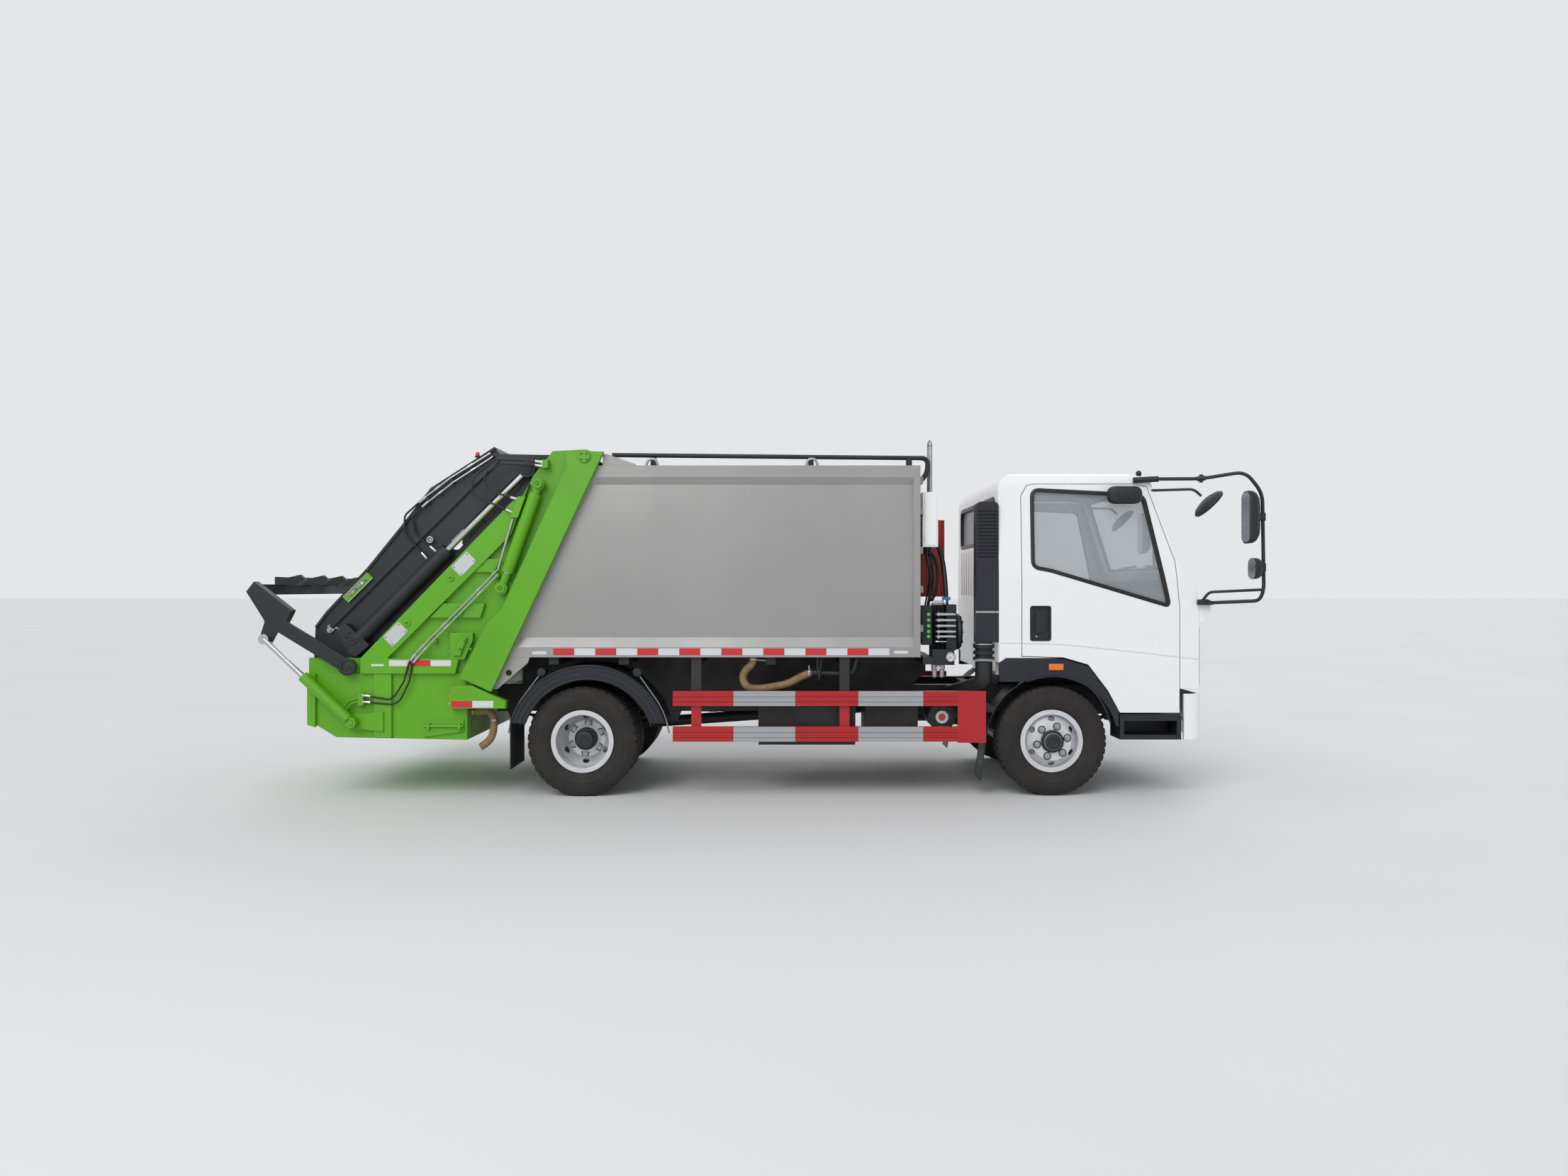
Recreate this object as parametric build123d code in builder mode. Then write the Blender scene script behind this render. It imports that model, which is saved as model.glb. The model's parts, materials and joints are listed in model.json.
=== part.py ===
"""Rear-loading garbage truck: millimetres, +X forward, +Z up, wheels standing on Z = 0.

The right side of the truck is -Y. Side outlines are drawn as (x, z) pairs on planes
parallel to XZ, and what stands on both sides is mirrored about the centre plane.
"""
from math import atan2, cos, degrees, radians, sin, sqrt, tan
import os

from build123d import *

os.makedirs("parts", exist_ok=True)

# Running clearances
fit = 0.3
running_gap = 6
panel_gap = 5

# Axles and wheels
wheelbase = 3360
front_axle_x = 2164
rear_axle_x = front_axle_x - wheelbase
tyre_radius = 392
axle_z = tyre_radius
tyre_half_width = 106
tread_half_width = 90
bead_radius = 206
bead_half_width = 76
rim_flange_radius = 224
rim_flange_thickness = 8
rim_barrel_radius = 190
disc_thickness = 12
front_wheel_y = 822
rear_outer_y = 852
twin_spacing = 245
kingpin_y = 700
kingpin_radius = 19
hub_radius = 70
drum_radius = 165
bolt_circle_radius = 111
hand_hole_circle = 160

# Chassis
rail_bottom_z = 555
rail_height = 200
rail_top_z = rail_bottom_z + rail_height
rail_web_y = 425
rail_flange = 65
rail_thickness = 8
rail_rear_x = -1930
rail_front_x = 3085
spring_y = 385
spring_width = 70
leaf_thickness = 12

# Load body
body_front_x = 1214
body_bottom_z = 997
body_top_z = 2359
body_half_width = 985
panel_recess = 27
body_inner_y = body_half_width - 55
sheet = 8
floor_thickness = 12
sill_top_z = 1069
panel_bottom_z = 1137
panel_top_z = 2225
rail_band_z = 2276
roof_crown = 34

# Slanted rear end of the body: a line through this point at this angle
seam_x = -1139
seam_z = 2451
seam_slope = 2.136
seam_gap = 12

# Rear posts and the tailgate's hinge
post_inner_y = body_half_width + 7
post_thickness = 44
hinge_x = -1160
hinge_z = 2421
hinge_pin_radius = 30

# Tailgate side structure, outwards from the dark wall
wall_inner_y = body_half_width - 123
wall_thickness = 8
panel_inner_y = body_half_width - 45
panel_thickness = 18
band_outer_y = body_half_width + 15
hopper_rear_x = -3138
hopper_front_x = -2009
hopper_bottom_z = 409
belt_bottom_z = 882
belt_top_z = 990

# Packing mechanism: carriage slope, stroke and sweeper
slope = 45
slide_stroke = 745
sweeper_hinge_x = -1983
sweeper_hinge_z = 1677
sweeper_length = 580
sweeper_closed_angle = -70
sweeper_open_travel = 100
trough_radius = 600
slide_pin_x = -1587
slide_pin_z = 2334
slide_base_x = -2812
slide_base_z = 1109
slide_cylinder_y = 925
slide_barrel_radius = 50
slide_barrel_length = 924
slide_rod_radius = 22.5
slide_rod_length = 860

# Tailgate lift cylinders
lift_upper_x = -1490
lift_upper_z = 2224
lift_lower_x = -1754
lift_lower_z = 1486
lift_cylinder_y = 1010
lift_barrel_radius = 43
lift_rod_radius = 25
lift_stroke = 516

# Bin lifter
boss_x = -2839
boss_z = 932
arm_end_x = -3360
arm_end_z = 1250
lifter_pin_x = -3416
lifter_pin_z = 1128
lifter_base_x = -2804
lifter_base_z = 542
arm_inner_y = 997
arm_thickness = 24
lifter_cylinder_y = 1046
lifter_barrel_radius = 38
lifter_rod_radius = 20

# Cab
cab_rear_x = 1780
cab_front_x = 3207
cab_half_width = 940
cab_roof_half_width = cab_half_width - 55
cab_roof_z = 2312
cab_wall = 50
cab_pivot_x = 3200
cab_pivot_z = 660
door_hinge_x = 3066
glass_thickness = 6
bumper_front_x = 3277
bumper_rear_x = 3100
bumper_wall = 24
bumper_corner = 90
bumper_front_radius = 4000
bumper_bottom_z = 408
bumper_top_z = 732


def seam_at(height):
    """X of the slanted seam between body and tailgate at a height."""
    return seam_x - (seam_z - height) / seam_slope


def along_slope(start_x, start_z, up, out=0):
    """Point reached from a start by going up the packing slope and out from it."""
    angle = radians(slope)
    return (start_x + up * cos(angle) - out * sin(angle), start_z + up * sin(angle) + out * cos(angle))


def plate(points, inner, outer, mode=Mode.ADD):
    """Plate on the right side with an (x, z) outline, between two distances from the middle."""
    with BuildSketch(Plane.XZ.offset(inner)) as outline:
        with BuildLine():
            Polyline(points, close=True)
        make_face()
    extrude(outline.sketch, amount=outer - inner, mode=mode)


def disc(x, z, radius, inner, outer, mode=Mode.ADD):
    """Round boss, pin or hole across the right side."""
    with BuildSketch(Plane.XZ.offset(inner)) as outline:
        with Locations((x, z)):
            Circle(radius)
    extrude(outline.sketch, amount=outer - inner, mode=mode)


def block(x_range, y_range, z_range, mode=Mode.ADD):
    """Box between low and high X, Y and Z."""
    centre = [(low + high) / 2 for low, high in (x_range, y_range, z_range)]
    size = [high - low for low, high in (x_range, y_range, z_range)]
    with Locations(tuple(centre)):
        Box(size[0], size[1], size[2], mode=mode)


def bar(start, end, radius, mode=Mode.ADD):
    """Round bar between two points."""
    run = Vector(*end) - Vector(*start)
    with BuildSketch(Plane(origin=start, z_dir=run)) as section:
        Circle(radius)
    extrude(section.sketch, amount=run.length, mode=mode)


def tube(points, radii, radius):
    """Round tube along straight runs joined by tangent arcs."""
    with BuildLine() as route:
        FilletPolyline(*points, radius=radii)
    first = Vector(*points[1]) - Vector(*points[0])
    with BuildSketch(Plane(origin=points[0], z_dir=first)) as section:
        Circle(radius)
    sweep(section.sketch, path=route.line)


def save(builder, name):
    """Label a finished piece and write its STEP file."""
    builder.part.label = name
    export_step(builder.part, f"parts/{name}.step")


# Chassis frame: two channel rails, cross members, cab pivot brackets, air tanks

engine_x = (1900, 2650)
engine_y = 255
engine_z = (360, 1010)
cross_members = [
    # x, height of the member, z of its middle
    (2990, 130, 650),
    (1700, 40, 725),
    (820, 60, 715),
    (-40, 60, 715),
    (-700, 60, 715),
    (-1780, 150, 660),
]
cross_width = 70
pivot_bracket_y = (365, 418)
pivot_arm_y = (330, 354)
pivot_pin_radius = 18
bumper_arm_y = (rail_web_y + fit, 450)
bumper_arm_end_x = bumper_front_x - bumper_wall - 20
tow_eye_x = 3188
tow_eye_y = 454
tow_eye_z = 490
tow_eye_thickness = 24
tow_eye_radius = 20

with BuildPart() as chassis_frame:
    plate(
        [
            (rail_rear_x, rail_bottom_z),
            (rail_front_x, rail_bottom_z),
            (rail_front_x, rail_top_z),
            (rail_rear_x, rail_top_z),
        ],
        rail_web_y - rail_flange,
        rail_web_y,
    )
    plate(
        [
            (rail_rear_x, rail_bottom_z + rail_thickness),
            (rail_front_x, rail_bottom_z + rail_thickness),
            (rail_front_x, rail_top_z - rail_thickness),
            (rail_rear_x, rail_top_z - rail_thickness),
        ],
        rail_web_y - rail_flange,
        rail_web_y - rail_thickness,
        mode=Mode.SUBTRACT,
    )
    mirror(about=Plane.XZ)
    for mount_y in (-rail_web_y + rail_thickness, engine_y + fit):
        mount_range = (mount_y, mount_y + rail_web_y - rail_thickness - engine_y - fit)
        block((engine_x[0] + 350, engine_x[0] + 450), mount_range, (600, 660))
    for member_x, member_height, member_z in cross_members:
        block(
            (member_x - cross_width / 2, member_x + cross_width / 2),
            (-(rail_web_y - rail_thickness), rail_web_y - rail_thickness),
            (member_z - member_height / 2, member_z + member_height / 2),
        )
    # Cab pivot brackets stand off the front ends of the rails, inside the bumper
    plate(
        [
            (rail_front_x - 5, rail_bottom_z + 5),
            (cab_pivot_x - 20, cab_pivot_z - 35),
            (cab_pivot_x + 28, cab_pivot_z - 20),
            (cab_pivot_x + 28, cab_pivot_z + 25),
            (rail_front_x - 5, rail_top_z - 10),
        ],
        pivot_bracket_y[0],
        pivot_bracket_y[1],
    )
    disc(cab_pivot_x, cab_pivot_z, pivot_pin_radius, pivot_arm_y[0] - 5, pivot_bracket_y[1])
    plate(
        [
            (rail_front_x - 120, rail_bottom_z + 10),
            (bumper_arm_end_x, rail_bottom_z + 10),
            (bumper_arm_end_x, rail_bottom_z + 90),
            (rail_front_x - 120, rail_bottom_z + 120),
        ],
        bumper_arm_y[0],
        bumper_arm_y[1],
    )
    plate(
        [
            (rail_front_x - 60, rail_bottom_z + 15),
            (rail_front_x - 60, tow_eye_z),
            (tow_eye_x - 30, tow_eye_z),
            (tow_eye_x - 30, tow_eye_z + tow_eye_thickness),
            (rail_front_x + 20, rail_bottom_z + 15),
        ],
        bumper_arm_y[0],
        bumper_arm_y[1],
    )
    with BuildSketch(Plane.XY.offset(tow_eye_z)) as tow_eye_plan:
        with Locations((tow_eye_x, -tow_eye_y)):
            Circle(tow_eye_radius + 15)
        with Locations((tow_eye_x - 60, -tow_eye_y)):
            Rectangle(120, 2 * tow_eye_radius + 30)
        with Locations((tow_eye_x, -tow_eye_y)):
            Circle(tow_eye_radius, mode=Mode.SUBTRACT)
    extrude(tow_eye_plan.sketch, amount=tow_eye_thickness)
    mirror(about=Plane.XZ)
save(chassis_frame, "chassis_frame")


def spring_pack(centre_x, bottom_z, half_length, rise, leaves):
    """Leaf pack seen from the side: concentric leaves, each shorter than the one above."""
    radius = (half_length**2 + rise**2) / (2 * rise)
    centre_z = bottom_z + leaves * leaf_thickness + radius - leaf_thickness
    for index in range(leaves):
        outer = radius + index * leaf_thickness
        length = half_length * (1 - 0.21 * index)
        with BuildSketch(Plane.XZ.offset(spring_y - spring_width / 2)) as leaf:
            with Locations((centre_x, centre_z)):
                Circle(outer)
                Circle(outer - leaf_thickness, mode=Mode.SUBTRACT)
            with Locations((centre_x, bottom_z + 150)):
                Rectangle(2 * length, 300, mode=Mode.INTERSECT)
        extrude(leaf.sketch, amount=spring_width)


def spring_hangers(centre_x, half_length, eye_z):
    """Brackets under the rail that hold the ends of a leaf pack."""
    for end_x in (centre_x - half_length, centre_x + half_length):
        plate(
            [
                (end_x - 60, rail_bottom_z - fit),
                (end_x + 60, rail_bottom_z - fit),
                (end_x + 28, eye_z - 30),
                (end_x - 28, eye_z - 30),
            ],
            spring_y - spring_width / 2,
            spring_y + spring_width / 2,
        )


beam_drop_z = 300
beam_half_height = 40
front_spring_half = 560
front_spring_rise = 150
rear_spring_half = 600
rear_spring_rise = 40
spring_seat_half = 60

with BuildPart() as front_axle:
    with BuildSketch(Plane.YZ.offset(front_axle_x - 35)) as beam_outline:
        with BuildLine():
            Polyline(
                (-kingpin_y, axle_z + beam_half_height),
                (-kingpin_y + 50, axle_z + beam_half_height),
                (-kingpin_y + 190, beam_drop_z + beam_half_height),
                (kingpin_y - 190, beam_drop_z + beam_half_height),
                (kingpin_y - 50, axle_z + beam_half_height),
                (kingpin_y, axle_z + beam_half_height),
                (kingpin_y, axle_z - beam_half_height),
                (kingpin_y - 70, axle_z - beam_half_height),
                (kingpin_y - 210, beam_drop_z - beam_half_height),
                (-kingpin_y + 210, beam_drop_z - beam_half_height),
                (-kingpin_y + 70, axle_z - beam_half_height),
                (-kingpin_y, axle_z - beam_half_height),
                close=True,
            )
        make_face()
    extrude(beam_outline.sketch, amount=70)
    beam_end = (front_axle_x, -kingpin_y, axle_z - beam_half_height)
    beam_end_top = (front_axle_x, -kingpin_y, axle_z + beam_half_height)
    bar(beam_end, beam_end_top, 40)
    for end_y in (-kingpin_y, kingpin_y):
        bar(
            (front_axle_x, end_y, axle_z - 100),
            (front_axle_x, end_y, axle_z + 100),
            kingpin_radius + fit,
            mode=Mode.SUBTRACT,
        )
    spring_pack(
        front_axle_x, beam_drop_z + beam_half_height, front_spring_half, front_spring_rise, 4
    )
    spring_hangers(front_axle_x, front_spring_half, 515)
    mirror(about=Plane.XZ)
save(front_axle, "front_axle")

banjo_radius = 175
axle_tube_radius = 62
rear_seat_z = axle_z + axle_tube_radius
backing_plate_y = 492
rear_spindle_radius = 40

with BuildPart() as rear_axle:
    with BuildSketch(Plane.XY.offset(axle_z)) as housing_outline:
        with BuildLine():
            Polyline(
                (rear_axle_x, -backing_plate_y),
                (rear_axle_x + axle_tube_radius, -backing_plate_y),
                (rear_axle_x + axle_tube_radius, -230),
                (rear_axle_x + banjo_radius, -80),
                (rear_axle_x + banjo_radius, 80),
                (rear_axle_x + axle_tube_radius, 230),
                (rear_axle_x + axle_tube_radius, backing_plate_y),
                (rear_axle_x, backing_plate_y),
                close=True,
            )
        make_face()
    revolve(housing_outline.sketch, axis=Axis((rear_axle_x, 0, axle_z), (0, 1, 0)))
    bar((rear_axle_x + 100, 0, axle_z), (rear_axle_x + 290, 0, axle_z + 20), 60)
    bar((rear_axle_x, 0, axle_z), (rear_axle_x, -backing_plate_y - 190, axle_z), rear_spindle_radius)
    spring_pack(rear_axle_x, rear_seat_z, rear_spring_half, rear_spring_rise, 4)
    spring_hangers(rear_axle_x, rear_spring_half, 510)
    mirror(about=Plane.XZ)
save(rear_axle, "rear_axle")

with BuildPart() as engine_block:
    block(engine_x, (-engine_y, engine_y), engine_z)
save(engine_block, "engine_block")

gearbox_front_x = engine_x[0] - fit
gearbox_rear_x = 1180
shaft_front_z = 560
shaft_rear_z = axle_z + 22
shaft_radius = 42

with BuildPart() as gearbox_and_shaft:
    with BuildSketch(Plane.YZ.offset(gearbox_rear_x)):
        with Locations((0, shaft_front_z)):
            Circle(105)
    with BuildSketch(Plane.YZ.offset(gearbox_front_x)):
        with Locations((0, shaft_front_z - 30)):
            Circle(165)
    loft()
    bar(
        (gearbox_rear_x + 5, 0, shaft_front_z),
        (rear_axle_x + 292, 0, shaft_rear_z),
        shaft_radius,
    )
save(gearbox_and_shaft, "gearbox_and_shaft")

# Sub-frame between rails and body, with outriggers that carry body, guards and valves
subframe_inner_y = 355
subframe_outer_y = 425
outrigger_xs = (1275, 676, 150, -380, -900, -1400)
outrigger_width = 72
outrigger_height = 55
subframe_rear_x = -1740
subframe_front_x = 1320
guard_post_xs = (-380, 676)
guard_post_width = 71
guard_post_outer_y = body_half_width - 30
guard_top_z = 757

with BuildPart() as sub_frame:
    plate(
        [
            (subframe_rear_x, rail_top_z),
            (subframe_front_x - 110, rail_top_z),
            (subframe_front_x, rail_top_z + 90),
            (subframe_front_x, body_bottom_z),
            (subframe_rear_x, body_bottom_z),
        ],
        subframe_inner_y,
        subframe_outer_y,
    )
    mirror(about=Plane.XZ)
    for outrigger_x in outrigger_xs:
        block(
            (outrigger_x - outrigger_width / 2, outrigger_x + outrigger_width / 2),
            (-body_inner_y, body_inner_y),
            (body_bottom_z - outrigger_height, body_bottom_z),
        )
    for post_x in guard_post_xs:
        for low_y, high_y in (
            (-guard_post_outer_y, -body_inner_y + 1),
            (body_inner_y - 1, guard_post_outer_y),
        ):
            block(
                (post_x - guard_post_width / 2, post_x + guard_post_width / 2),
                (low_y, high_y),
                (guard_top_z + fit, body_bottom_z),
            )
save(sub_frame, "sub_frame")

# Load body: floor with front wall, two pressed side walls, crowned roof with rear header
front_rib_zs = (1200, 1480, 1760, 2040, 2260)
front_rib_depth = 26

with BuildPart() as body_floor:
    block(
        (-2100, body_front_x - sheet),
        (-body_inner_y, body_inner_y),
        (body_bottom_z, body_bottom_z + floor_thickness),
    )
    plate(
        [
            (seam_at(900) + seam_gap / 2, 900),
            (seam_at(1200) + seam_gap / 2, 1200),
            (-2300, 1200),
            (-2300, 900),
        ],
        -body_inner_y - 1,
        body_inner_y + 1,
        mode=Mode.SUBTRACT,
    )
    block(
        (body_front_x - sheet, body_front_x),
        (-body_inner_y, body_inner_y),
        (body_bottom_z, body_top_z - sheet),
    )
    for rib_z in front_rib_zs:
        block(
            (body_front_x, body_front_x + front_rib_depth),
            (-body_inner_y, body_inner_y),
            (rib_z - 25, rib_z + 25),
        )
save(body_floor, "body_floor")

rear_band = 120
front_band = 50

with BuildPart() as body_sides:
    panel_y = body_half_width - panel_recess
    middle_z = (panel_bottom_z + panel_top_z) / 2
    with BuildSketch(Plane.YZ.offset(seam_at(body_bottom_z))) as wall_section:
        with BuildLine():
            Polyline(
                (-panel_y, panel_bottom_z),
                (-body_half_width, sill_top_z),
                (-body_half_width, body_bottom_z),
                (-body_inner_y, body_bottom_z),
                (-body_inner_y, panel_bottom_z - 20),
                (-panel_y + sheet, panel_bottom_z),
            )
            ThreePointArc(
                (-panel_y + sheet, panel_bottom_z),
                (-panel_y + sheet - 14, middle_z),
                (-panel_y + sheet, panel_top_z),
            )
            Polyline(
                (-panel_y + sheet, panel_top_z),
                (-body_inner_y, panel_top_z + 20),
                (-body_inner_y, body_top_z),
                (-body_half_width, body_top_z),
                (-body_half_width, rail_band_z),
                (-panel_y, panel_top_z),
            )
            ThreePointArc(
                (-panel_y, panel_top_z),
                (-panel_y - 14, middle_z),
                (-panel_y, panel_bottom_z),
            )
        make_face()
    extrude(wall_section.sketch, amount=body_front_x - seam_at(body_bottom_z))
    plate(
        [
            (seam_at(body_top_z) + rear_band, body_top_z),
            (seam_at(body_top_z), body_top_z),
            (seam_at(body_bottom_z), body_bottom_z),
            (seam_at(body_bottom_z) + rear_band, body_bottom_z),
        ],
        body_inner_y + 15,
        body_half_width,
    )
    block(
        (body_front_x - front_band, body_front_x),
        (-body_half_width, -body_inner_y),
        (body_bottom_z, body_top_z),
    )
    plate(
        [(-1800, 1000), (-1560, 1000), (-1575, 955), (-1790, 771), (-1830, 771)],
        body_half_width - 25,
        body_half_width - 1,
    )
    disc(-1709, 886, 22, body_half_width - 35, body_half_width + 5, mode=Mode.SUBTRACT)
    plate(
        [
            (-2500, 900),
            (seam_at(900) + seam_gap / 2, 900),
            (seam_at(2500) + seam_gap / 2, 2500),
            (-2500, 2500),
        ],
        body_inner_y - 1,
        body_half_width + 20,
        mode=Mode.SUBTRACT,
    )
    mirror(about=Plane.XZ)
save(body_sides, "body_sides")

header_front_x = -816
header_rear_x = -1042
header_top_z = 2440

with BuildPart() as body_roof:
    with BuildSketch(Plane.YZ.offset(-1300)) as roof_section:
        with BuildLine():
            Line((-body_inner_y, body_top_z - sheet), (-body_inner_y, body_top_z))
            ThreePointArc(
                (-body_inner_y, body_top_z),
                (0, body_top_z + roof_crown),
                (body_inner_y, body_top_z),
            )
            Line((body_inner_y, body_top_z), (body_inner_y, body_top_z - sheet))
            ThreePointArc(
                (body_inner_y, body_top_z - sheet),
                (0, body_top_z + roof_crown - sheet),
                (-body_inner_y, body_top_z - sheet),
            )
        make_face()
    extrude(roof_section.sketch, amount=body_front_x - sheet + 1300)
    plate(
        [
            (header_rear_x, body_top_z),
            (header_rear_x, header_top_z),
            (header_rear_x + 30, header_top_z),
            (header_front_x, body_top_z + 12),
            (header_front_x, body_top_z),
        ],
        -body_half_width,
        body_half_width,
    )
    plate(
        [
            (seam_at(2300) + seam_gap / 2, 2300),
            (seam_at(2430) + seam_gap / 2, 2430),
            (-1400, 2430),
            (-1400, 2300),
        ],
        -body_inner_y - 1,
        body_inner_y + 1,
        mode=Mode.SUBTRACT,
    )
save(body_roof, "body_roof")

# Ejector: a slanted pushing wall with a base frame that slides on the floor
ejector_base_x = 400
ejector_slant = 600
ejector_half_width = 915
ejector_shoe_y = 880
ejector_bottom_z = body_bottom_z + floor_thickness + fit
ejector_top_z = body_top_z - sheet - 25
ejector_plate_thickness = 40

with BuildPart() as ejector:
    slant = (ejector_top_z - ejector_bottom_z) / seam_slope
    plate(
        [
            (ejector_base_x, ejector_bottom_z),
            (ejector_base_x + ejector_plate_thickness, ejector_bottom_z),
            (ejector_base_x + ejector_plate_thickness + slant, ejector_top_z),
            (ejector_base_x + slant, ejector_top_z),
        ],
        -ejector_half_width,
        ejector_half_width,
    )
    for beam_y in (-ejector_shoe_y, -300, 260, ejector_shoe_y - 40):
        block(
            (ejector_base_x, ejector_base_x + 700),
            (beam_y, beam_y + 40),
            (ejector_bottom_z, ejector_bottom_z + 60),
        )
        plate(
            [
                (ejector_base_x + 660, ejector_bottom_z + 50),
                (ejector_base_x + 700, ejector_bottom_z + 50),
                (ejector_base_x + 480, ejector_bottom_z + 900),
                (ejector_base_x + 440, ejector_bottom_z + 900),
            ],
            -beam_y - 40,
            -beam_y,
        )
save(ejector, "ejector")

# Green rear posts with the hinge pins and the lugs of the lift cylinders
post_outline = [
    (-1293, 2459),
    (-1029, 2451),
    (-1822, 757),
    (-1992, 833),
    (-2046, 854),
    (-1853, 1239),
    (-1749, 1339),
    (-1677, 1496),
    (-1290, 2344),
]
lug_thickness = 14
post_spacer_foot_z = 1018

with BuildPart() as rear_posts:
    plate(post_outline, post_inner_y, post_inner_y + post_thickness)
    plate(
        [
            (seam_at(body_top_z) + 20, body_top_z),
            (-1072, body_top_z),
            (-1700, post_spacer_foot_z),
            (seam_at(post_spacer_foot_z) + 20, post_spacer_foot_z),
        ],
        body_half_width,
        post_inner_y,
    )
    plate(
        [
            (lift_lower_x - 48, lift_lower_z + 48),
            (lift_lower_x + 60, lift_lower_z + 52),
            (lift_lower_x + 110, lift_lower_z - 60),
            (lift_lower_x + 10, lift_lower_z - 160),
            (lift_lower_x - 48, lift_lower_z - 60),
        ],
        964,
        964 + lug_thickness,
    )
    plate(
        [
            (lift_lower_x + 75, lift_lower_z + 52),
            (lift_lower_x + 105, lift_lower_z + 52),
            (lift_lower_x + 105, lift_lower_z - 55),
            (lift_lower_x + 75, lift_lower_z - 100),
        ],
        964,
        post_inner_y,
    )
    disc(hinge_x, hinge_z, hinge_pin_radius, panel_inner_y - 20, post_inner_y + post_thickness + 6)
    disc(hinge_x, hinge_z, 48, post_inner_y - 20, post_inner_y + 1)
    mirror(about=Plane.XZ)
save(rear_posts, "rear_posts")

# Side guards: two rails, posts from the outriggers, and the front end plate
guard_outer_y = body_half_width
guard_thickness = 30
guard_rear_x = -545
guard_front_x = 1480
guard_plate_front_x = 1679
guard_rail_height = 106
guard_bottom_z = 504

with BuildPart() as side_guards:
    for rail_z in (guard_top_z, guard_bottom_z):
        plate(
            [
                (guard_rear_x, rail_z - guard_rail_height),
                (guard_front_x, rail_z - guard_rail_height),
                (guard_front_x, rail_z),
                (guard_rear_x, rail_z),
            ],
            guard_outer_y - guard_thickness,
            guard_outer_y,
        )
    for post_x in guard_post_xs:
        plate(
            [
                (post_x - guard_post_width / 2, 398),
                (post_x + guard_post_width / 2, 398),
                (post_x + guard_post_width / 2, guard_top_z),
                (post_x - guard_post_width / 2, guard_top_z),
            ],
            body_inner_y + fit,
            guard_post_outer_y,
        )
    plate(
        [
            (guard_front_x, guard_bottom_z - guard_rail_height - 8),
            (guard_plate_front_x, guard_bottom_z - guard_rail_height - 8),
            (guard_plate_front_x, guard_top_z),
            (guard_front_x, guard_top_z),
        ],
        guard_outer_y - guard_thickness,
        guard_outer_y,
    )
    mirror(about=Plane.XZ)
save(side_guards, "side_guards")

# Tanks and boxes hung on the rails
tank_x = (60, 760)
tank_y = (440, 860)
tank_z = (350, 720)
tank_corner = 70

with BuildPart() as fuel_tank:
    with BuildSketch(Plane.YZ.offset(tank_x[0])) as tank_section:
        with Locations((-(tank_y[0] + tank_y[1]) / 2, (tank_z[0] + tank_z[1]) / 2)):
            RectangleRounded(tank_y[1] - tank_y[0], tank_z[1] - tank_z[0], tank_corner)
    extrude(tank_section.sketch, amount=tank_x[1] - tank_x[0])
    for strap_x in (tank_x[0] + 120, tank_x[1] - 160):
        block((strap_x, strap_x + 50), (-tank_y[0] - 20, -rail_web_y - fit), (tank_z[0] + 100, 740))
save(fuel_tank, "fuel_tank")

battery_x = (830, 1210)
battery_z = (400, 700)
can_x = 1382
can_z = 560
can_radius = 98

with BuildPart() as side_boxes:
    block(battery_x, (-860, -rail_web_y - fit), battery_z)
    disc(can_x, can_z, can_radius, 600, 870)
    block((can_x - 30, can_x + 30), (-610, -rail_web_y - fit), (can_z - 30, can_z + 90))
    for tank_centre_x in (-150, 420):
        with BuildSketch(Plane.YZ.offset(tank_centre_x)) as end_circle:
            with Locations((600, 600)):
                Circle(110)
        extrude(end_circle.sketch, amount=480)
        block((tank_centre_x + 200, tank_centre_x + 260), (rail_web_y + fit, 560), (580, 640))
    block((1000, 1560), (rail_web_y + fit, 860), (380, 720))
    # Air duct up to the snorkel's bellows
    tube(
        [(1685, -860, 958), (1685, -860, 800), (1560, -700, 740), (1480, -560, 700)],
        [90, 90],
        62,
    )
    block((1480, 1540), (-600, -rail_web_y - fit), (640, 700))
save(side_boxes, "side_boxes")

# Mudguards, flaps and the entry steps
fender_x = -1150
fender_z = 371
fender_radius = 570
fender_thickness = 10
fender_skirt = 105
fender_inner_y = 560
fender_outer_y = body_half_width
fender_start = 16
fender_end = 164
front_guard_radius = 472
flap_thickness = 8
guard_arc_start = 122
guard_arc_end = 180
step_x = (2643, 3080)
step_z = (407, 587)
step_inner_y = 700

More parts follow.
